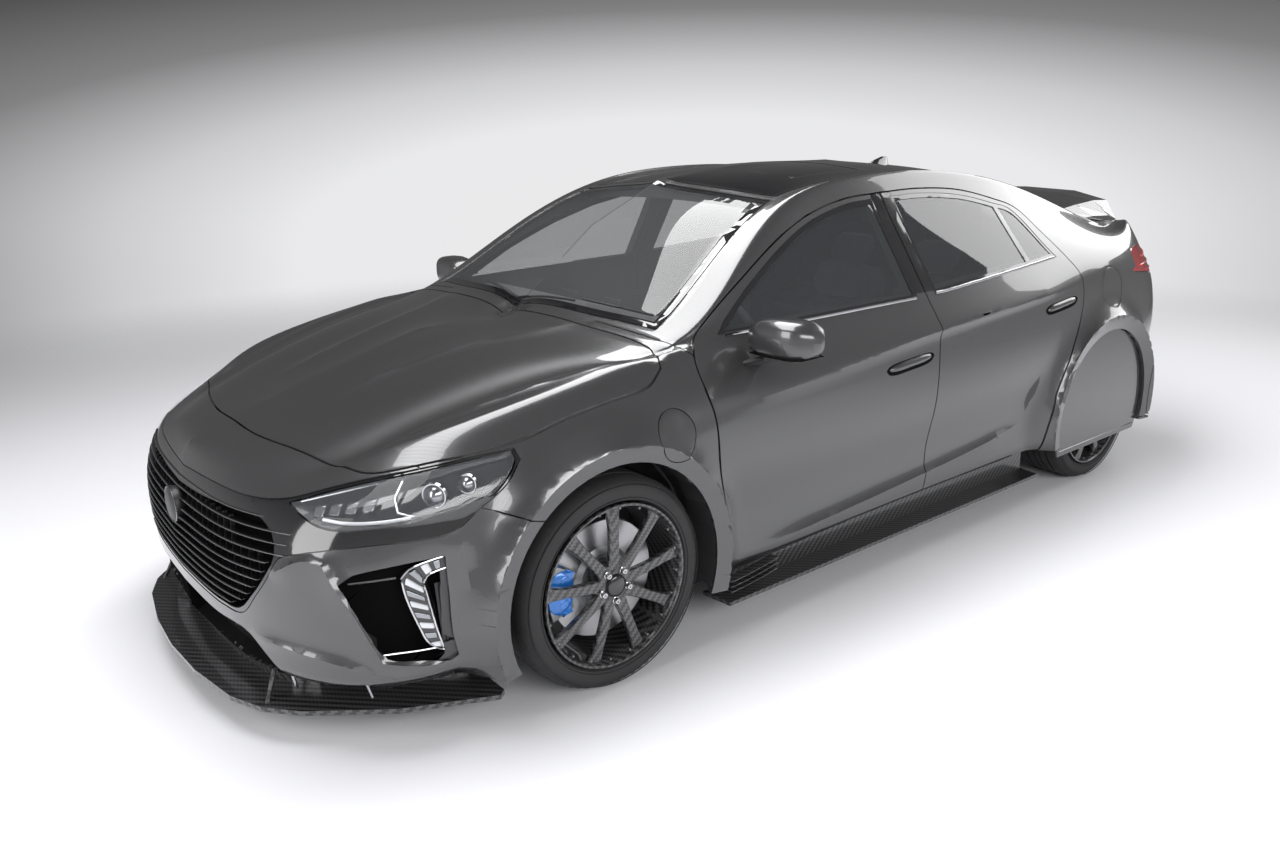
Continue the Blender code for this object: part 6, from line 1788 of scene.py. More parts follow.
@dataclass
class Wheel:
    """One wheel with its tyre, spoked carbon rim, disc and nuts, built on the left."""

    x: float
    tyre_radius: float = 0.318
    rim_radius: float = 0.246
    outer_y: float = WHEEL_OUTER_Y
    width: float = 0.235
    spokes: int = 9
    nuts: int = 5
    nut_circle: float = 0.047
    nut_profile: tuple = (
        (0.0105, 0.021), (0.0105, 0.0185), (0.0085, 0.0175), (0.0085, 0.008), (0.007, 0.006),
        (0.0045, 0.006), (0.0045, 0.010),
    )
    bolts: int = 20
    bolt_profile: tuple = ((0.0035, 0.030), (0.0035, 0.018), (0.002, 0.0165))
    lugs: int = 72
    vanes: int = 36
    grooves: tuple = (0.070, 0.104, 0.131, 0.165)
    shoulder: tuple = (
        (0.250, 0.016), (0.256, 0.007), (0.268, 0.0035), (0.284, 0.0035), (0.298, 0.008),
        (0.309, 0.019), (0.3155, 0.032),
    )
    spoke_face: float = 0.014
    spoke_back: float = 0.030
    spoke_stations: tuple = (
        (0.050, 0.021, 0.006), (0.085, 0.0175, 0.002), (0.130, 0.0155, 0.000),
        (0.180, 0.0160, 0.000), (0.215, 0.0200, 0.002), (0.236, 0.0270, 0.006),
    )
    caliper_reach: float = math.radians(25)

    def ring(self, profile: list[Point2], name: str, finish: str,
             count: int = 96) -> bpy.types.Object:
        """Turns a profile of radius and depth below the outer face about the axle."""
        return turned(name, [(r, self.outer_y - d) for r, d in profile], (self.x, 0, HUB_Z), finish,
                      count)

    def tyre(self) -> bpy.types.Object:
        """Builds the tyre: rounded shoulders, rim guard and grooved tread.

        Returns:
            The left piece.
        """
        r, w = self.tyre_radius, self.width
        profile = [*self.shoulder, (r, 0.046)]
        for groove in self.grooves:
            profile += [(r, groove - 0.0045), (r - 0.006, groove - 0.0035),
                        (r - 0.006, groove + 0.0035), (r, groove + 0.0045)]
        profile += [(r, w - 0.046), *((q, w - d) for q, d in self.shoulder[::-1]),
                    (self.rim_radius, w - 0.030), (self.rim_radius, 0.030)]
        made = [self.ring(profile, "tread", "rubber", 120)]
        for radius in (0.262, 0.301):
            made.append(self.ring([(radius - 0.001, 0.006), (radius, 0.0022),
                                   (radius + 0.001, 0.006)], "band", "rubber", 96))
        blocks = []
        for i in range(self.lugs):
            a = math.tau * i / self.lugs
            out, turn = spoke_axes(a)
            at = Vector((self.x, self.outer_y, HUB_Z))
            ring = []
            for radius, depth in ((0.3060, 0.0150), (0.3165, 0.0330), (0.3182, 0.0460),
                                  (0.3120, 0.0460), (0.3020, 0.0170)):
                ring.append(at + out * radius - Vector((0, depth - 0.0006, 0)))
            blocks.append(lofted("lug", [[p - turn * 0.0075 for p in ring],
                                         [p + turn * 0.0045 for p in ring]], "rubber"))
        return merged("tyre", made + blocks)

    def rim(self) -> bpy.types.Object:
        """Builds the rim: barrel, lip, straight spokes, hub, nuts and the bare cap.

        Returns:
            The left piece.
        """
        r = self.rim_radius
        made = [self.ring([(r + 0.001, 0.010), (r - 0.001, 0.004), (r - 0.007, 0.0045),
                           (r - 0.011, 0.010), (r - 0.014, 0.022), (r - 0.019, 0.060),
                           (r - 0.019, 0.195), (r - 0.004, 0.212), (r + 0.000, 0.212),
                           (r - 0.003, 0.195), (r - 0.010, 0.060), (r - 0.003, 0.020)], "barrel",
                          "carbon")]
        face, back = self.spoke_face, self.spoke_back
        for i in range(self.spokes):
            a = math.tau * i / self.spokes + math.radians(90)
            out, side = spoke_axes(a)
            at = Vector((self.x, self.outer_y, HUB_Z))
            rings = []
            for radius, half, drop in self.spoke_stations:
                spot = at + out * radius
                ring = []
                for u, d in ((-1.0, back), (-1.0, face + 0.004), (-0.82, face), (0.82, face),
                             (1.0, face + 0.004), (1.0, back), (0.6, back + 0.005),
                             (-0.6, back + 0.005)):
                    ring.append(spot + side * (half * u) - Vector((0, d + drop, 0)))
                rings.append(ring)
            made.append(lofted("spoke", rings, "carbon", smooth=25))
        made.append(self.ring([(0.0005, 0.020), (0.058, 0.020), (0.064, 0.024), (0.070, 0.040),
                               (0.070, 0.085), (0.0005, 0.085)], "hub", "carbon", 72))
        made.append(self.ring([(0.0005, 0.008), (0.024, 0.009), (0.029, 0.012), (0.030, 0.021),
                               (0.0005, 0.021)], "cap", "black", 48))
        made.append(self.ring([(0.030, 0.012), (0.032, 0.010), (0.034, 0.013), (0.034, 0.021),
                               (0.030, 0.021)], "cap_edge", "satin", 48))
        for i in range(self.nuts):
            a = math.tau * i / self.nuts + math.radians(90 + 36)
            at = Vector((self.x + self.nut_circle * math.cos(a), 0,
                         HUB_Z + self.nut_circle * math.sin(a)))
            rings = [upright_ring(at, radius, self.outer_y - depth, 24)
                     for radius, depth in self.nut_profile]
            made.append(lofted("nut", rings, "chrome"))
        for i in range(self.bolts):
            a = math.tau * i / self.bolts + 0.1
            at = Vector((self.x + (r - 0.0165) * math.cos(a), 0,
                         HUB_Z + (r - 0.0165) * math.sin(a)))
            rings = [upright_ring(at, q, self.outer_y - d, 8) for q, d in self.bolt_profile]
            made.append(lofted("bolt", rings, "steel"))
        return merged("rim", made)

    def disc(self) -> bpy.types.Object:
        """Builds the vented brake disc and its hat.

        Returns:
            The left piece.
        """
        made = [self.ring([(0.098, 0.082), (0.176, 0.082), (0.178, 0.084), (0.178, 0.090),
                           (0.098, 0.090)], "face", "disc"),
                self.ring([(0.098, 0.096), (0.178, 0.096), (0.178, 0.103), (0.176, 0.105),
                           (0.098, 0.105)], "back", "disc"),
                self.ring([(0.0005, 0.070), (0.082, 0.070), (0.090, 0.078), (0.100, 0.083),
                           (0.100, 0.104), (0.0005, 0.104)], "hat", "steel")]
        for i in range(self.vanes):
            a = math.tau * i / self.vanes
            out, turn = spoke_axes(a)
            at = Vector((self.x, self.outer_y, HUB_Z))
            rings = [[at + out * q + turn * (w * 0.0022) - Vector((0, d, 0))
                      for q, w in ((0.104, -1), (0.175, -1), (0.175, 1), (0.104, 1))]
                     for d in (0.089, 0.097)]
            made.append(lofted("vane", rings, "steel"))
        return merged("disc", made)

    def caliper(self, middle: float) -> bpy.types.Object:
        """Builds the fixed caliper that straddles the disc.

        Args:
            middle: the angle of its middle, in radians from the front.

        Returns:
            The caliper.
        """
        rings = []
        at = Vector((self.x, self.outer_y, HUB_Z))
        steps = 14
        for i in range(steps + 1):
            t = 2 * i / steps - 1
            a = middle + self.caliper_reach * t
            out = spoke_axes(a)[0]
            slim = 1 - 0.25 * t**4
            rings.append([at + out * q - Vector((0, d, 0)) for q, d in (
                (0.128 / slim, 0.060), (0.128 / slim, 0.048), (0.140, 0.044),
                (0.190 * slim, 0.0435), (0.206 * slim, 0.050), (0.212 * slim, 0.066),
                (0.212 * slim, 0.120), (0.200, 0.132), (0.128 / slim, 0.132),
                (0.128 / slim, 0.110), (0.182, 0.110), (0.184, 0.076), (0.182, 0.076),
                (0.150, 0.076))])
        made = [lofted("saddle", rings, "caliper", smooth=30)]
        for t in (-0.5, 0.5):
            a = middle + self.caliper_reach * t
            spot = at + spoke_axes(a)[0] * 0.160
            rings = [upright_ring(spot, q, -d, 24) for q, d in ((0.017, 0.050), (0.017, 0.0435),
                                                                (0.0145, 0.0418), (0.006, 0.0415))]
            made.append(lofted("piston", rings, "caliper"))
        return merged("caliper", made)


# ---------------------------------------------------------------- outside fittings


@dataclass
class Fittings:
    """The mirrors, handles, trims, wipers and fin on the outside."""

    skin: Skin
    panels: BodyPanels
    mirror_x: float = 0.735
    mirror_z: float = 0.946
    mirror_stations: tuple = (
        (0.868, 0.030, 0.030, 0.0, 0.008), (0.885, 0.055, 0.048, 0.0, 0.012),
        (0.930, 0.067, 0.057, -0.001, 0.014), (0.990, 0.070, 0.060, -0.003, 0.016),
        (1.045, 0.066, 0.056, -0.008, 0.017), (1.078, 0.050, 0.044, -0.013, 0.016),
        (1.095, 0.024, 0.023, -0.018, 0.014),
    )
    stalk_stations: tuple = (
        (0.832, 0.045, 0.012, 0.866), (0.870, 0.040, 0.012, 0.876), (0.915, 0.042, 0.014, 0.892),
        (0.940, 0.046, 0.012, 0.900),
    )

    def at_side(self, x: float, z: float, proud: float) -> Vector:
        """Returns a point over the left side of the skin."""
        hit = self.skin.hit(Vector((x, 0, z)), View.SIDE)
        return hit + Vector((0, proud, 0))

    def mirror(self) -> bpy.types.Object:
        """Builds the left mirror: painted cap, dark base, stalk and glass.

        Returns:
            The left piece.
        """
        rings = []
        for y, half_x, half_z, dx, dz in self.mirror_stations:
            ring = []
            for k in range(40):
                a = math.tau * k / 40
                c, s = math.cos(a), math.sin(a)
                px, pz = squarish(c, 0.62) * half_x, squarish(s, 0.62) * half_z
                ring.append(Vector((self.mirror_x + dx + px, y, self.mirror_z + dz + pz)))
            rings.append(ring)
        cap = lofted("mirror_cap", rings, "paint", smooth=60)
        low = lofted("mirror_low", [[Vector((p.x - 0.001, p.y, min(p.z, 0.918) - 0.0035))
                                     for p in ring] for ring in rings[1:-1]], "satin", smooth=60)
        stalk = [[Vector((x, y, z)) for x, z in circle((self.mirror_x, middle), half_x, 24, half_z)]
                 for y, half_x, half_z, middle in self.stalk_stations]
        glass = [Vector((self.mirror_x - 0.0665, 0.985 + 0.085 * squarish(math.cos(a), 0.6),
                         0.950 + 0.040 * squarish(math.sin(a), 0.6)))
                 for a in (math.tau * k / 40 for k in range(40))]
        pane = lofted("mirror_glass", [glass, [p + Vector((0.004, 0, 0)) for p in glass]], "chrome")
        return merged("mirror_unit_left", [cap, low,
                                           lofted("mirror_stalk", stalk, "satin", smooth=60), pane])

    def handle(self, start: Point2, end: Point2) -> bpy.types.Object:
        """Builds a flush handle with a flat near-black sheet under it, laid on the skin as the
        painted shade of its pocket.

        Args:
            start: its rear end, in the side view.
            end: its front end.

        Returns:
            The left piece.
        """
        made = []
        rings, pocket = [], []
        for i in range(25):
            t = i / 24
            x = start[0] + (end[0] - start[0]) * t
            z = start[1] + (end[1] - start[1]) * t
            slim = max(1 - abs(2 * t - 1) ** 4, 0.02) ** 0.5
            spot = self.at_side(x, z, 0)
            rings.append([spot + Vector((0, -0.004 + 0.017 * slim * max(math.cos(a), -0.4),
                                         0.0155 * slim * math.sin(a)))
                          for a in (math.tau * k / 16 for k in range(16))])
        for z_side in (0.017, 0.006, -0.012, -0.026):
            row = []
            for i in range(25):
                t = i / 24
                x = start[0] - 0.012 + (end[0] - start[0] + 0.024) * t
                z = start[1] + (end[1] - start[1]) * t + z_side * max(1 - abs(2 * t - 1) ** 5,
                                                                      0.02) ** 0.5
                row.append(self.at_side(x, z, 0.0006))
            pocket.append(row)
        made.append(lofted("handle_bar", rings, "paint", smooth=60))
        faces = [(r * 25 + i, r * 25 + i + 1, (r + 1) * 25 + i + 1, (r + 1) * 25 + i)
                 for r in range(3) for i in range(24)]
        # No recess is cut: this flat sheet over the skin, in the near-black duct finish, is painted
        # shade of the handle's pocket.
        made.append(new_piece("handle_pocket", [p for row in pocket for p in row], faces, "duct"))
        return merged("handle", made)

    def belt(self, window: tuple) -> bpy.types.Object:
        """Builds the bright strip along a window's lower edge.

        Args:
            window: the window's outline in shares.

        Returns:
            The left piece.
        """
        line = smooth_line(side_line(window))
        low = min(p.y for p in line)
        ends = (min(p.x for p in line), max(p.x for p in line))
        path = []
        for i in range(31):
            x = ends[0] - 0.006 + (ends[1] - ends[0] + 0.012) * i / 30
            under = [p.y for p in line if abs(p.x - x) < 0.05]
            z = min(under) if under else low
            path.append(self.at_side(x, z - 0.011, 0.002))
        return tube("belt_strip", path, 0.0034, "chrome", 8, 1.6)

    def fin(self) -> bpy.types.Object:
        """Builds the aerial fin at the back of the roof.

        Returns:
            The piece.
        """
        rings = []
        for h, back, front, half in ((0.0, -0.985, -0.830, 0.024), (0.012, -0.983, -0.845, 0.017),
                                     (0.030, -0.980, -0.890, 0.008),
                                     (0.044, -0.977, -0.935, 0.003)):
            low = self.skin.hit(Vector(((back + front) / 2, 0.001, 1.3)), View.TOP).z - 0.004
            rings.append([Vector((back + (front - back) * (0.5 - 0.5 * math.cos(a)),
                                  half * math.sin(a), low + h))
                          for a in (math.tau * k / 32 for k in range(32))])
        return lofted("aerial_fin", rings, "black", smooth=60)

    def tail_strips(self) -> bpy.types.Object:
        """Builds the light strips that run round the inside of the left tail lamp.

        Returns:
            The left piece.
        """
        made = []
        for z0, z1, start, end in ((0.972, 0.948, 0.640, 0.800), (0.925, 0.915, 0.650, 0.835),
                                   (0.878, 0.888, 0.660, 0.825)):
            path = []
            for i in range(17):
                t = i / 16
                y = start + (end - start) * t
                hit = self.skin.hit(Vector((0, y, z0 + (z1 - z0) * t)), View.REAR)
                if hit:
                    path.append(hit + Vector((-0.0008, 0, 0)))
            made.append(tube("tail_strip", path, 0.0034, "red_lit", 8, 1.2))
        return merged("tail_strips_left", made)

    def wipers(self) -> bpy.types.Object:
        """Builds the two wiper arms that rest at the foot of the windscreen.

        Returns:
            The piece.
        """
        made = []
        for y0, y1 in ((0.34, 0.62), (-0.22, 0.30)):
            path = []
            for i in range(17):
                y = y0 + (y1 - y0) * i / 16
                hit = self.skin.hit(Vector((1.020 - 0.20 * abs(y) ** 1.6 + 0.010 * i / 16, abs(y),
                                            1.0)), View.TOP)
                path.append(Vector((hit.x, y, hit.z + 0.012)))
            made.append(tube("wiper_blade", path, 0.0030, "rubber", 8, 1.4))
            made.append(tube("wiper_arm", [p + Vector((0.012, 0, 0.004)) for p in path[:10]],
                             0.0038, "satin", 8, 0.7))
        return merged("wiper_arms", made)


@dataclass
class Aero:
    """The splitter's rods, the skirt's winglets and the cover's bright line."""

    skin: Skin

    def rods(self) -> bpy.types.Object:
        """Builds the thin bright rods between the bumper and the splitter.

        Returns:
            The piece.
        """
        made = []
        for side, _ in SIDES:
            for x, y in ((2.120, 0.560), (1.985, 0.730)):
                top = self.skin.hit(Vector((x - 0.05, y - 0.03, 0.262)),
                                    View.CORNER) or Vector((x - 0.04, y - 0.03, 0.26))
                path = [Vector((top.x - 0.004, side * (top.y - 0.004), top.z)),
                        Vector((x, side * y, 0.160))]
                made.append(tube("rod", path, 0.0045, "chrome", 10))
        return merged("splitter_rods", made)

    def winglet(self) -> bpy.types.Object:
        """Builds the three-slat blade in front of the left skirt.

        Returns:
            The left piece.
        """
        made = []
        for i in range(3):
            z = 0.150 + 0.018 * i
            rings = []
            for x, out, drop in ((0.860, 0.902, 0.0), (0.800, 0.903, 0.004), (0.720, 0.900, 0.010),
                                 (0.640, 0.893, 0.016)):
                rings.append([Vector((x, y, z + drop + dz))
                              for y, dz in ((out - 0.035, 0.0), (out, 0.0015), (out, 0.0045),
                                            (out - 0.035, 0.006))])
            made.append(rounded(lofted("blade", rings, "carbon"), 0.001))
        return merged("skirt_winglet_left", made)

    def liner(self, axle: float) -> bpy.types.Object:
        """Builds the liner that closes the left arch between its lip and the well.

        Args:
            axle: the axle's place along the car.

        Returns:
            The left piece.
        """
        rings = []
        for i in range(49):
            a = math.radians(-12 + 204 * i / 48)
            rings.append([Vector((axle + r * math.cos(a), y, HUB_Z + r * math.sin(a)))
                          for y, r in ((0.560, ARCH_RADIUS + 0.006), (0.885, ARCH_RADIUS + 0.006),
                                       (0.885, ARCH_RADIUS + 0.010), (0.560, ARCH_RADIUS + 0.010))])
        return lofted("arch_liner", rings, "satin")

    def cover_line(self) -> bpy.types.Object:
        """Builds the thin bright line near the left cover's lower edge.

        Returns:
            The left piece.
        """
        low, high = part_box("rear_wheel_cover_left")
        path = [Vector((low.x + 0.040 + (high.x - low.x - 0.080) * i / 20, high.y + 0.0005,
                        low.z + 0.022)) for i in range(21)]
        return tube("cover_line_left", path, 0.003, "edge", 8)


# ---------------------------------------------------------------- cabin


@dataclass
class Seat:
    """A padded seat made of crowned cushions."""

    x: float
    y: float
    half: float
    finish: str = "cloth"

    def cushion(self, name: str, stations: list[tuple], bolster: float) -> bpy.types.Object:
        """Builds a crowned cushion along a row of stations.

        Args:
            name: the piece's name.
            stations: x, z, half width, half thickness and tilt of each section.
            bolster: how far the side bolsters stand up.

        Returns:
            The cushion.
        """
        rings = []
        for x, z, half, thick, tilt in stations:
            ring = []
            for k in range(48):
                a = math.tau * k / 48
                u, v = squarish(math.cos(a), 0.55), squarish(math.sin(a), 0.62)
                lift = bolster * max(abs(u) - 0.55, 0) / 0.45 if v > 0 else 0.0
                seam = -0.006 * math.exp(-((abs(u) - 0.58) / 0.035) ** 2) if v > 0 else 0.0
                height = v * thick + lift + seam
                ring.append(Vector((x - math.sin(tilt) * height, self.y + u * half,
                                    z + math.cos(tilt) * height)))
            rings.append(ring)
        obj = lofted(name, rings, self.finish, smooth=60)
        return obj

    def build(self, name: str) -> list[bpy.types.Object]:
        """Builds the seat's cushion, backrest and headrest.

        Args:
            name: the seat's name.

        Returns:
            The three pieces.
        """
        x, h = self.x, self.half
        base = [(x + 0.300, 0.400, h * 0.70, 0.030, 0.0), (x + 0.290, 0.402, h * 0.88, 0.060, 0.0),
                (x + 0.230, 0.405, h * 0.97, 0.082, 0.0), (x + 0.100, 0.392, h * 0.98, 0.080, 0.0),
                (x - 0.050, 0.375, h * 0.96, 0.075, 0.0), (x - 0.170, 0.370, h * 0.92, 0.070, 0.0),
                (x - 0.200, 0.370, h * 0.80, 0.035, 0.0)]
        lean = math.radians(70)
        back = []
        for t, width, thick in ((0.00, 0.70, 0.030), (0.04, 0.86, 0.055), (0.20, 0.95, 0.062),
                                (0.45, 0.98, 0.060), (0.70, 0.90, 0.055), (0.90, 0.76, 0.048),
                                (0.98, 0.62, 0.038), (1.00, 0.48, 0.018)):
            back.append((x - 0.150 - 0.135 * t, 0.395 + 0.475 * t, h * width, thick, lean))
        head = [(x - 0.278, 0.905, h * 0.34, 0.020, lean),
                (x - 0.282, 0.918, h * 0.46, 0.040, lean),
                (x - 0.290, 0.965, h * 0.52, 0.044, lean),
                (x - 0.298, 1.015, h * 0.46, 0.038, lean),
                (x - 0.300, 1.032, h * 0.34, 0.018, lean)]
        return [self.cushion(name + "_base", base, 0.030),
                self.cushion(name + "_back", back, 0.034), self.cushion(name + "_head", head, 0.0)]


@dataclass
class Cabin:
    """The steering wheel and the dashboard's screens."""

    wheel_x: float = 0.395
    wheel_y: float = 0.360
    wheel_z: float = 0.840

    def steering(self) -> bpy.types.Object:
        """Builds the steering wheel with three spokes and its column.

        Returns:
            The piece.
        """
        tilt = math.radians(24)
        centre = Vector((self.wheel_x, self.wheel_y, self.wheel_z))
        along = Vector((math.cos(tilt), 0, -math.sin(tilt)))
        side, up = Vector((0, 1, 0)), Vector((math.sin(tilt), 0, math.cos(tilt)))
        ring = [centre + side * a + up * b for a, b in circle((0, 0), 0.180, 64, 0.172)]
        made = [tube("wheel_ring", ring, 0.0145, "dash", 14, loop=True)]
        for a in (0.0, math.pi, -math.pi / 2):
            end = centre + side * (0.172 * math.cos(a)) + up * (0.165 * math.sin(a))
            made.append(tube("wheel_spoke", [centre + along * 0.012, end], 0.020, "satin", 12,
                             0.45))
        made.append(tube("wheel_hub", [centre - along * 0.012, centre + along * 0.030], 0.062,
                         "dash", 32))
        made.append(tube("column", [centre + along * 0.03, centre + along * 0.22], 0.036, "satin",
                         24))
        return merged("steering_wheel", made)

    def screens(self) -> bpy.types.Object:
        """Builds the driver's display, the middle screen and the air vents.

        Returns:
            The piece.
        """
        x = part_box("dashboard")[0].x
        made = [box_piece("display", (x - 0.016, 0.245, 0.880), (x + 0.030, 0.475, 0.955), "black",
                          0.006), box_piece("middle_screen", (x - 0.020, -0.130, 0.800),
                                            (x + 0.004, 0.130, 0.930), "black", 0.006)]
        for y in (-0.56, -0.26, 0.56):
            made.append(box_piece("vent", (x - 0.010, y - 0.055, 0.850),
                                  (x + 0.01, y + 0.055, 0.890), "satin", 0.006))
        return merged("dash_screens", made)


# ---------------------------------------------------------------- studio


@dataclass
class Studio:
    """The floor, the backdrop, the lights and the camera."""

    eye: Point3 = (2.84270796, 2.91757454, 1.57200349)
    forward: Point3 = (-0.59895956, -0.74433165, -0.29532666)
    roll: float = -0.865
    lens: float = 27.76
    ahead: Point3 = (-0.665, -0.735, -0.115)
    glow: tuple = ((0.12, 0.82), (0.165, 0.60), (0.215, 0.22), (0.265, 0.08), (0.33, 0.04))
    glow_end: float = 0.44
    glow_spread: float = 0.32
    glow_fall: float = 0.3
    sky: tuple = ((0.45, (0.55, 0.55, 0.56)), (0.85, (0.16, 0.16, 0.165)))
    lamps: tuple = (
        ("overhead", (0.6, -0.5, 4.2), (0.4, 0.0, 0.5), (6.0, 2.2), 260.0),
        ("near_side", (1.0, 5.5, 2.6), (0.0, 0.9, 0.6), (6.0, 1.6), 170.0),
        ("front", (6.0, 0.5, 2.4), (2.0, 0.0, 0.6), (2.0, 3.5), 110.0),
        ("rear", (-5.5, 1.0, 3.2), (-1.0, 0.0, 0.8), (3.0, 3.0), 90.0),
    )

    def lamp(self, name: str, at: Point3, aim: Point3, size: Point2, power: float) -> None:
        """Adds a soft rectangular light.

        Args:
            name: its name.
            at: its place.
            aim: the point that it faces.
            size: its width and height.
            power: its power in watts.
        """
        data = bpy.data.lights.new(name, "AREA")
        data.shape = "RECTANGLE"
        data.size, data.size_y = size
        data.energy = power
        obj = bpy.data.objects.new(name, data)
        bpy.context.scene.collection.objects.link(obj)
        obj.location = at
        obj.visible_camera = False
        obj.rotation_euler = (Vector(aim) - Vector(at)).to_track_quat("-Z", "Y").to_euler()

    def world(self) -> None:
        """Makes the surroundings: greys for reflections, a pale glow behind the car to the eye."""
        world = bpy.data.worlds.new("studio_world")
        bpy.context.scene.world = world
        world.use_nodes = True
        world.node_tree.nodes.clear()
        n = NodeTree(world.node_tree)
        where = n.add("TexCoord").outputs["Generated"]
        ahead = Vector(self.ahead).normalized()
        right = ahead.cross(Vector((0, 0, 1))).normalized()
        squares = []
        for axis, share, under in ((right, self.glow_spread, -1.0),
                                   (right.cross(ahead), 1.0, -self.glow_fall)):
            dot = n.add("VectorMath", {0: where, 1: axis * share}, operation="DOT_PRODUCT")
            dot = dot.outputs["Value"]
            size = n.maths("MAXIMUM", dot, n.maths("MULTIPLY", dot, under))
            squares.append(n.maths("POWER", size, 2.0))
        away = n.maths("SQRT", n.maths("ADD", *squares))
        first, last = self.glow[0][1], self.glow[-1][1]
        stops = [(0.0, (first,) * 3), *((place, (v, v, v * 1.02)) for place, v in self.glow),
                 (self.glow_end, (last,) * 3)]
        seen = n.add("Background", {"Color": n.ramp(away, stops)})
        rise = n.add("SeparateXYZ", {0: where}).outputs["Z"]
        half = n.add("Math", {0: rise, 1: 0.5, 2: 0.5}, operation="MULTIPLY_ADD").outputs[0]
        level = Vector((ahead.x, ahead.y, 0)).normalized()
        behind = n.add("VectorMath", {0: where, 1: level}, operation="DOT_PRODUCT").outputs["Value"]
        dim = n.add("MapRange", {0: behind, 1: 0.05, 2: 0.75, 3: 1.0, 4: 0.22})
        light = n.add("Background", {"Color": n.ramp(half, self.sky),
                                     "Strength": dim.outputs["Result"]})
        camera = n.add("LightPath").outputs["Is Camera Ray"]
        mix = n.add("MixShader", {0: camera, 1: light.outputs[0], 2: seen.outputs[0]})
        n.add("OutputWorld", {"Surface": mix.outputs[0]})

    def floor(self) -> None:
        """Lays the pale floor, which fades into the glow far from the car."""
        count, radius = 96, 14.0
        verts = [(x, y, 0.0) for x, y in circle((0, 0), radius, count)]
        obj = new_piece("studio_floor", verts, [tuple(range(count))], "floor")

    def camera(self) -> None:
        """Places the camera where the photograph was taken from."""
        data = bpy.data.cameras.new("camera")
        data.lens = self.lens
        data.sensor_width = 36.0
        obj = bpy.data.objects.new("camera", data)
        bpy.context.scene.collection.objects.link(obj)
        obj.location = self.eye
        turn = Vector(self.forward).to_track_quat("-Z", "Y").to_matrix()
        obj.rotation_euler = (turn @ Matrix.Rotation(math.radians(self.roll), 3, "Z")).to_euler()
        bpy.context.scene.camera = obj

    def build(self) -> None:
        """Builds the whole studio."""
        bpy.context.scene.view_settings.view_transform = "Standard"
        self.world()
        self.floor()
        for row in self.lamps:
            self.lamp(*row)
        self.camera()


# ---------------------------------------------------------------- the whole car

DRESSED = {
    "front_splitter": "carbon",
    "side_skirt_left": "carbon",
    "side_skirt_right": "carbon",
    "spoiler": "carbon",
    "rear_wheel_cover_left": "paint",
    "rear_wheel_cover_right": "paint",
    "engine_block": "steel",
    "front_subframe": "steel",
    "dashboard": "dash",
}

EDGE_DEPTH = 0.010
PANE_DEPTH = 0.004


@dataclass(frozen=True)
class SkinPiece:
    """A piece that is lifted off the skin, with the body that it rides on."""

    zone: Zone
    name: str
    nodes: tuple
    body: str = "body"
    finish: str = "paint"
    slot: str = "paint"
    centre: bool = True
    sink: float = 0.0
    depth: float = EDGE_DEPTH


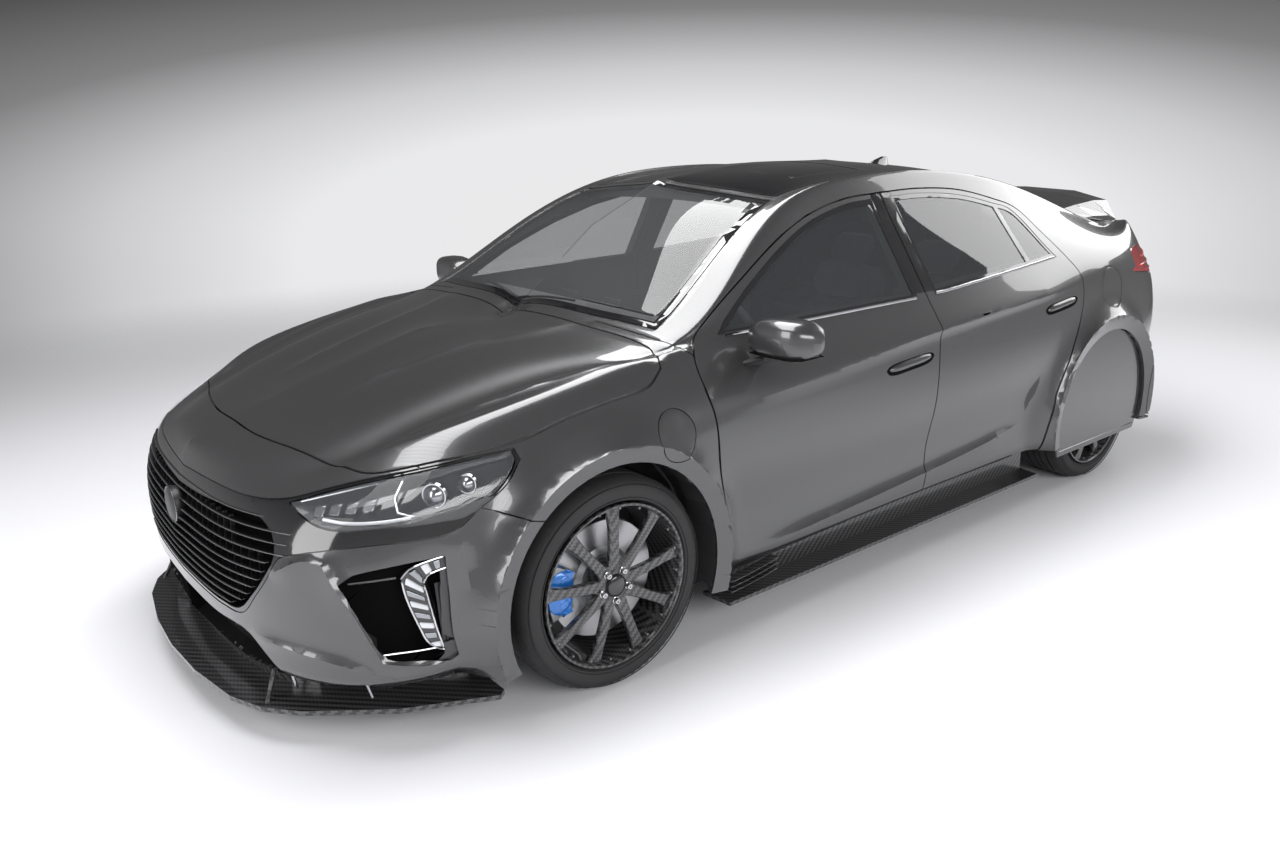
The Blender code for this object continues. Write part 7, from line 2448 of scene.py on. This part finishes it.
SKIN_PIECES = (
    SkinPiece(Zone.SHELL, "body_skin", ("body_shell",)),
    SkinPiece(Zone.HOOD, "hood_skin", ("hood",), body="hood"),
    SkinPiece(Zone.SCREEN_EDGE, "screen_border", ("windshield",), finish="black", slot="glass",
              sink=0.002),
    SkinPiece(Zone.SCREEN, "screen_pane", ("windshield",), finish="screen", slot="glass",
              sink=0.002, depth=PANE_DEPTH),
    SkinPiece(Zone.ROOF, "roof_skin", ("roof_panel",), finish="roof", slot="gloss_black"),
    SkinPiece(Zone.SUNROOF, "sunroof_pane", ("roof_panel",), finish="roof", slot="gloss_black",
              sink=0.001),
    SkinPiece(Zone.HATCH, "hatch_skin", ("hatch",), body="hatch"),
    SkinPiece(Zone.HATCH_EDGE, "hatch_glass_border", ("hatch_glass",), body="hatch", finish="black",
              slot="glass", sink=0.002),
    SkinPiece(Zone.HATCH_GLASS, "hatch_glass_pane", ("hatch_glass",), body="hatch", finish="glass",
              slot="glass", sink=0.002, depth=PANE_DEPTH),
    SkinPiece(Zone.FRONT_DOOR, "front_door_skin", ("front_door_",), body="front_door_",
              centre=False),
    SkinPiece(Zone.FRONT_FRAME, "front_door_frame", ("front_door_",), body="front_door_",
              finish="black", slot="gloss_black", centre=False, sink=0.0015),
    SkinPiece(Zone.FRONT_GLASS, "front_door_pane", ("front_door_glass_",), body="front_door_",
              finish="glass", slot="glass", centre=False, sink=0.004, depth=PANE_DEPTH),
    SkinPiece(Zone.REAR_DOOR, "rear_door_skin", ("rear_door_",), body="rear_door_", centre=False),
    SkinPiece(Zone.REAR_FRAME, "rear_door_frame", ("rear_door_",), body="rear_door_",
              finish="black", slot="gloss_black", centre=False, sink=0.0015),
    SkinPiece(Zone.REAR_GLASS, "rear_door_pane", ("rear_door_glass_",), body="rear_door_",
              finish="glass", slot="glass", centre=False, sink=0.004, depth=PANE_DEPTH),
    SkinPiece(Zone.PILLAR, "front_door_pillar", ("front_door_",), body="front_door_",
              finish="black", slot="gloss_black", centre=False, sink=0.001),
    SkinPiece(Zone.REAR_PILLAR, "rear_door_pillar", ("rear_door_",), body="rear_door_",
              finish="black", slot="gloss_black", centre=False, sink=0.001),
    SkinPiece(Zone.FENDER, "fender_skin", ("front_fender_left", "front_fender_right"),
              centre=False),
    SkinPiece(Zone.FLAP, "front_flap", ("body_shell",), centre=False),
    SkinPiece(Zone.REAR_FLAP, "rear_flap", ("body_shell",), centre=False),
    SkinPiece(Zone.BUMPER, "front_bumper_skin", ("front_bumper",)),
    SkinPiece(Zone.TAIL_BUMPER, "rear_bumper_skin", ("rear_bumper",)),
    SkinPiece(Zone.TAIL_BLACK, "rear_bumper_low", ("rear_bumper",), finish="satin", slot="trim"),
    SkinPiece(Zone.TAIL_LAMP, "tail_lens", ("tail_lamp_left", "tail_lamp_right"), finish="red",
              slot="red_lamp", centre=False, sink=0.001),
    SkinPiece(Zone.MASK, "nose_mask", ("grille",), finish="black", slot="gloss_black", sink=0.0015),
)
CORES = (
    "body_shell", "hood", "hatch", "front_bumper", "rear_bumper", "front_fender_left",
    "front_fender_right", "front_door_left", "front_door_right", "rear_door_left",
    "rear_door_right", "roof_panel", "tail_lamp_left", "tail_lamp_right",
)


@dataclass
class Car:
    """The dressed car, built over the CAD frame."""

    skin: Skin
    panels: BodyPanels

    def put(self, pieces: list | bpy.types.Object, body: str, nodes: tuple = (),
            slot: str = "paint") -> None:
        """Lets pieces ride on a body and stand for CAD nodes.

        Args:
            pieces: the pieces.
            body: the body's name, or its stem where pieces come as left and right.
            nodes: the nodes that they replace, or their stems.
            slot: not used.
        """
        row = pieces if isinstance(pieces, list) else [pieces]
        for piece in row:
            side = next((s for _, s in SIDES if body.endswith("_") and piece.name.endswith(s)), "")
            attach(piece, body + side)
            if nodes:
                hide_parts(*[n + side if n.endswith("_") else n for n in nodes])
            log.info("built %s", piece.name)

    def pair(self, piece: bpy.types.Object, stem: str) -> list[bpy.types.Object]:
        """Returns a left piece and its mirror image under the same stem."""
        piece.name = stem + "_left"
        return [piece, mirrored(piece, stem + "_right")]

    def body(self) -> None:
        """Builds the painted skin and the dark cores behind it."""
        for row in SKIN_PIECES:
            made = self.panels.take(row.zone, row.name, row.finish, row.centre, row.sink, row.depth)
            self.put(made, row.body, row.nodes, row.slot)
        for node in CORES:
            moves = node.startswith(("hood", "hatch", "front_door", "rear_door"))
            self.put(self.panels.core(node), node if moves else "body", (node,), "trim")

    def nose(self) -> None:
        """Builds the grille, lamps and intakes."""
        nose = Nose(self.skin)
        put = self.put
        put(nose.grille(self.panels), "body", ("grille",), "gloss_black")
        put(self.pair(nose.headlamp(self.panels), "headlamp_unit"), "body",
            ("headlamp_left", "headlamp_right"), "lamp")
        # Both intakes' floors and walls take the near-black duct finish: black plastic darkened
        # further as painted shade of the recesses.
        put(nose.recessed(self.panels, Zone.INTAKE, "side_intake", 0.055, "duct", False), "body",
            ("front_bumper",), "trim")
        put(nose.recessed(self.panels, Zone.LOW_INTAKE, "low_intake", 0.040, "duct", True), "body",
            ("front_bumper",), "trim")
        put(self.pair(nose.boomerang(), "side_lamp"), "body", ("front_bumper",), "lamp")
        put(self.pair(nose.duct(), "intake_fins"), "body", ("front_bumper",), "trim")

    def wheels(self) -> None:
        """Builds the four wheels, their discs and calipers."""
        for axle, x, holder, angle in (("front", FRONT_AXLE_X, "knuckle_", CALIPER_ANGLES[0]),
                                       ("rear", REAR_AXLE_X, "", CALIPER_ANGLES[1])):
            wheel = Wheel(x)
            stem = f"{axle}_wheel_"
            self.put(self.pair(wheel.tyre(), f"{axle}_tyre_fine"), stem, (f"{axle}_tyre_",),
                     "rubber")
            self.put(self.pair(wheel.rim(), f"{axle}_rim_fine"), stem, (f"{axle}_rim_",), "carbon")
            self.put(self.pair(wheel.disc(), f"{axle}_disc"), stem, (), "steel")
            calipers = self.pair(wheel.caliper(angle), f"{axle}_caliper")
            self.put(calipers, holder or "body", (holder,) if holder else ("rear_axle",), "paint")
            for node in ("knuckle_left", "knuckle_right") if holder else ("rear_axle",):
                self.put(upright_core(node, x), node if holder else "body", (node,), "steel")

    def fittings(self) -> None:
        """Builds the mirrors, handles, trims and aero parts."""
        kit, aero = Fittings(self.skin, self.panels), Aero(self.skin)
        put = self.put
        put(self.pair(kit.mirror(), "mirror_unit"), "front_door_", ("mirror_",))
        put(self.pair(kit.handle((-0.110, 0.768), (0.135, 0.752)), "front_handle"), "front_door_")
        put(self.pair(kit.handle((-1.105, 0.850), (-0.880, 0.830)), "rear_handle"), "rear_door_")
        put(self.pair(kit.belt(self.panels.front_window), "front_belt_strip"), "front_door_", (),
            "steel")
        put(self.pair(kit.belt(self.panels.rear_window), "rear_belt_strip"), "rear_door_", (),
            "steel")
        put(kit.fin(), "body", (), "gloss_black")
        put(self.pair(kit.tail_strips(), "tail_strips"), "body", (), "red_lamp")
        put(kit.wipers(), "body", (), "trim")
        put(aero.rods(), "body", (), "steel")
        put(self.pair(aero.winglet(), "skirt_winglet"), "body", (), "carbon")
        put(self.pair(aero.cover_line(), "cover_line"), "body", (), "steel")
        put(self.pair(aero.liner(FRONT_AXLE_X), "front_arch_liner"), "body", (), "trim")
        put(self.pair(aero.liner(REAR_AXLE_X), "rear_arch_liner"), "body", (), "trim")

    def cabin(self) -> None:
        """Builds the seats, the steering wheel and the screens."""
        for side, word in SIDES:
            seat = Seat(0.035, side * 0.360, 0.245)
            self.put(seat.build("front_seat_" + word), "body", ("front_seat_" + word,), "cloth")
        bench = []
        for side, word in SIDES:
            bench += Seat(-0.770, side * 0.240, 0.235).build("rear_seat_" + word)
        self.put(bench, "body", ("rear_seat",), "cloth")
        cabin = Cabin()
        self.put(cabin.steering(), "body", (), "trim")
        self.put(cabin.screens(), "body", (), "gloss_black")

    def dress(self) -> None:
        """Gives the CAD nodes that stay their finishes."""
        for node, finish in DRESSED.items():
            for slot in frame_node(node).material_slots:
                slot.material = finish_of(finish)
            log.info("dressed %s", node)


def main() -> None:
    """Builds the car and the studio."""
    logging.basicConfig(level=logging.INFO, format="%(message)s", stream=sys.stdout)
    FRAME.update(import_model())
    skin = Skin()
    skin.grow()
    skin.bulge_arches()
    panels = BodyPanels(skin)
    panels.shape()
    panels.cut()
    car = Car(skin, panels)
    car.body()
    car.nose()
    car.wheels()
    car.fittings()
    car.cabin()
    car.dress()
    Studio().build()


if __name__ == "__main__":
    main()
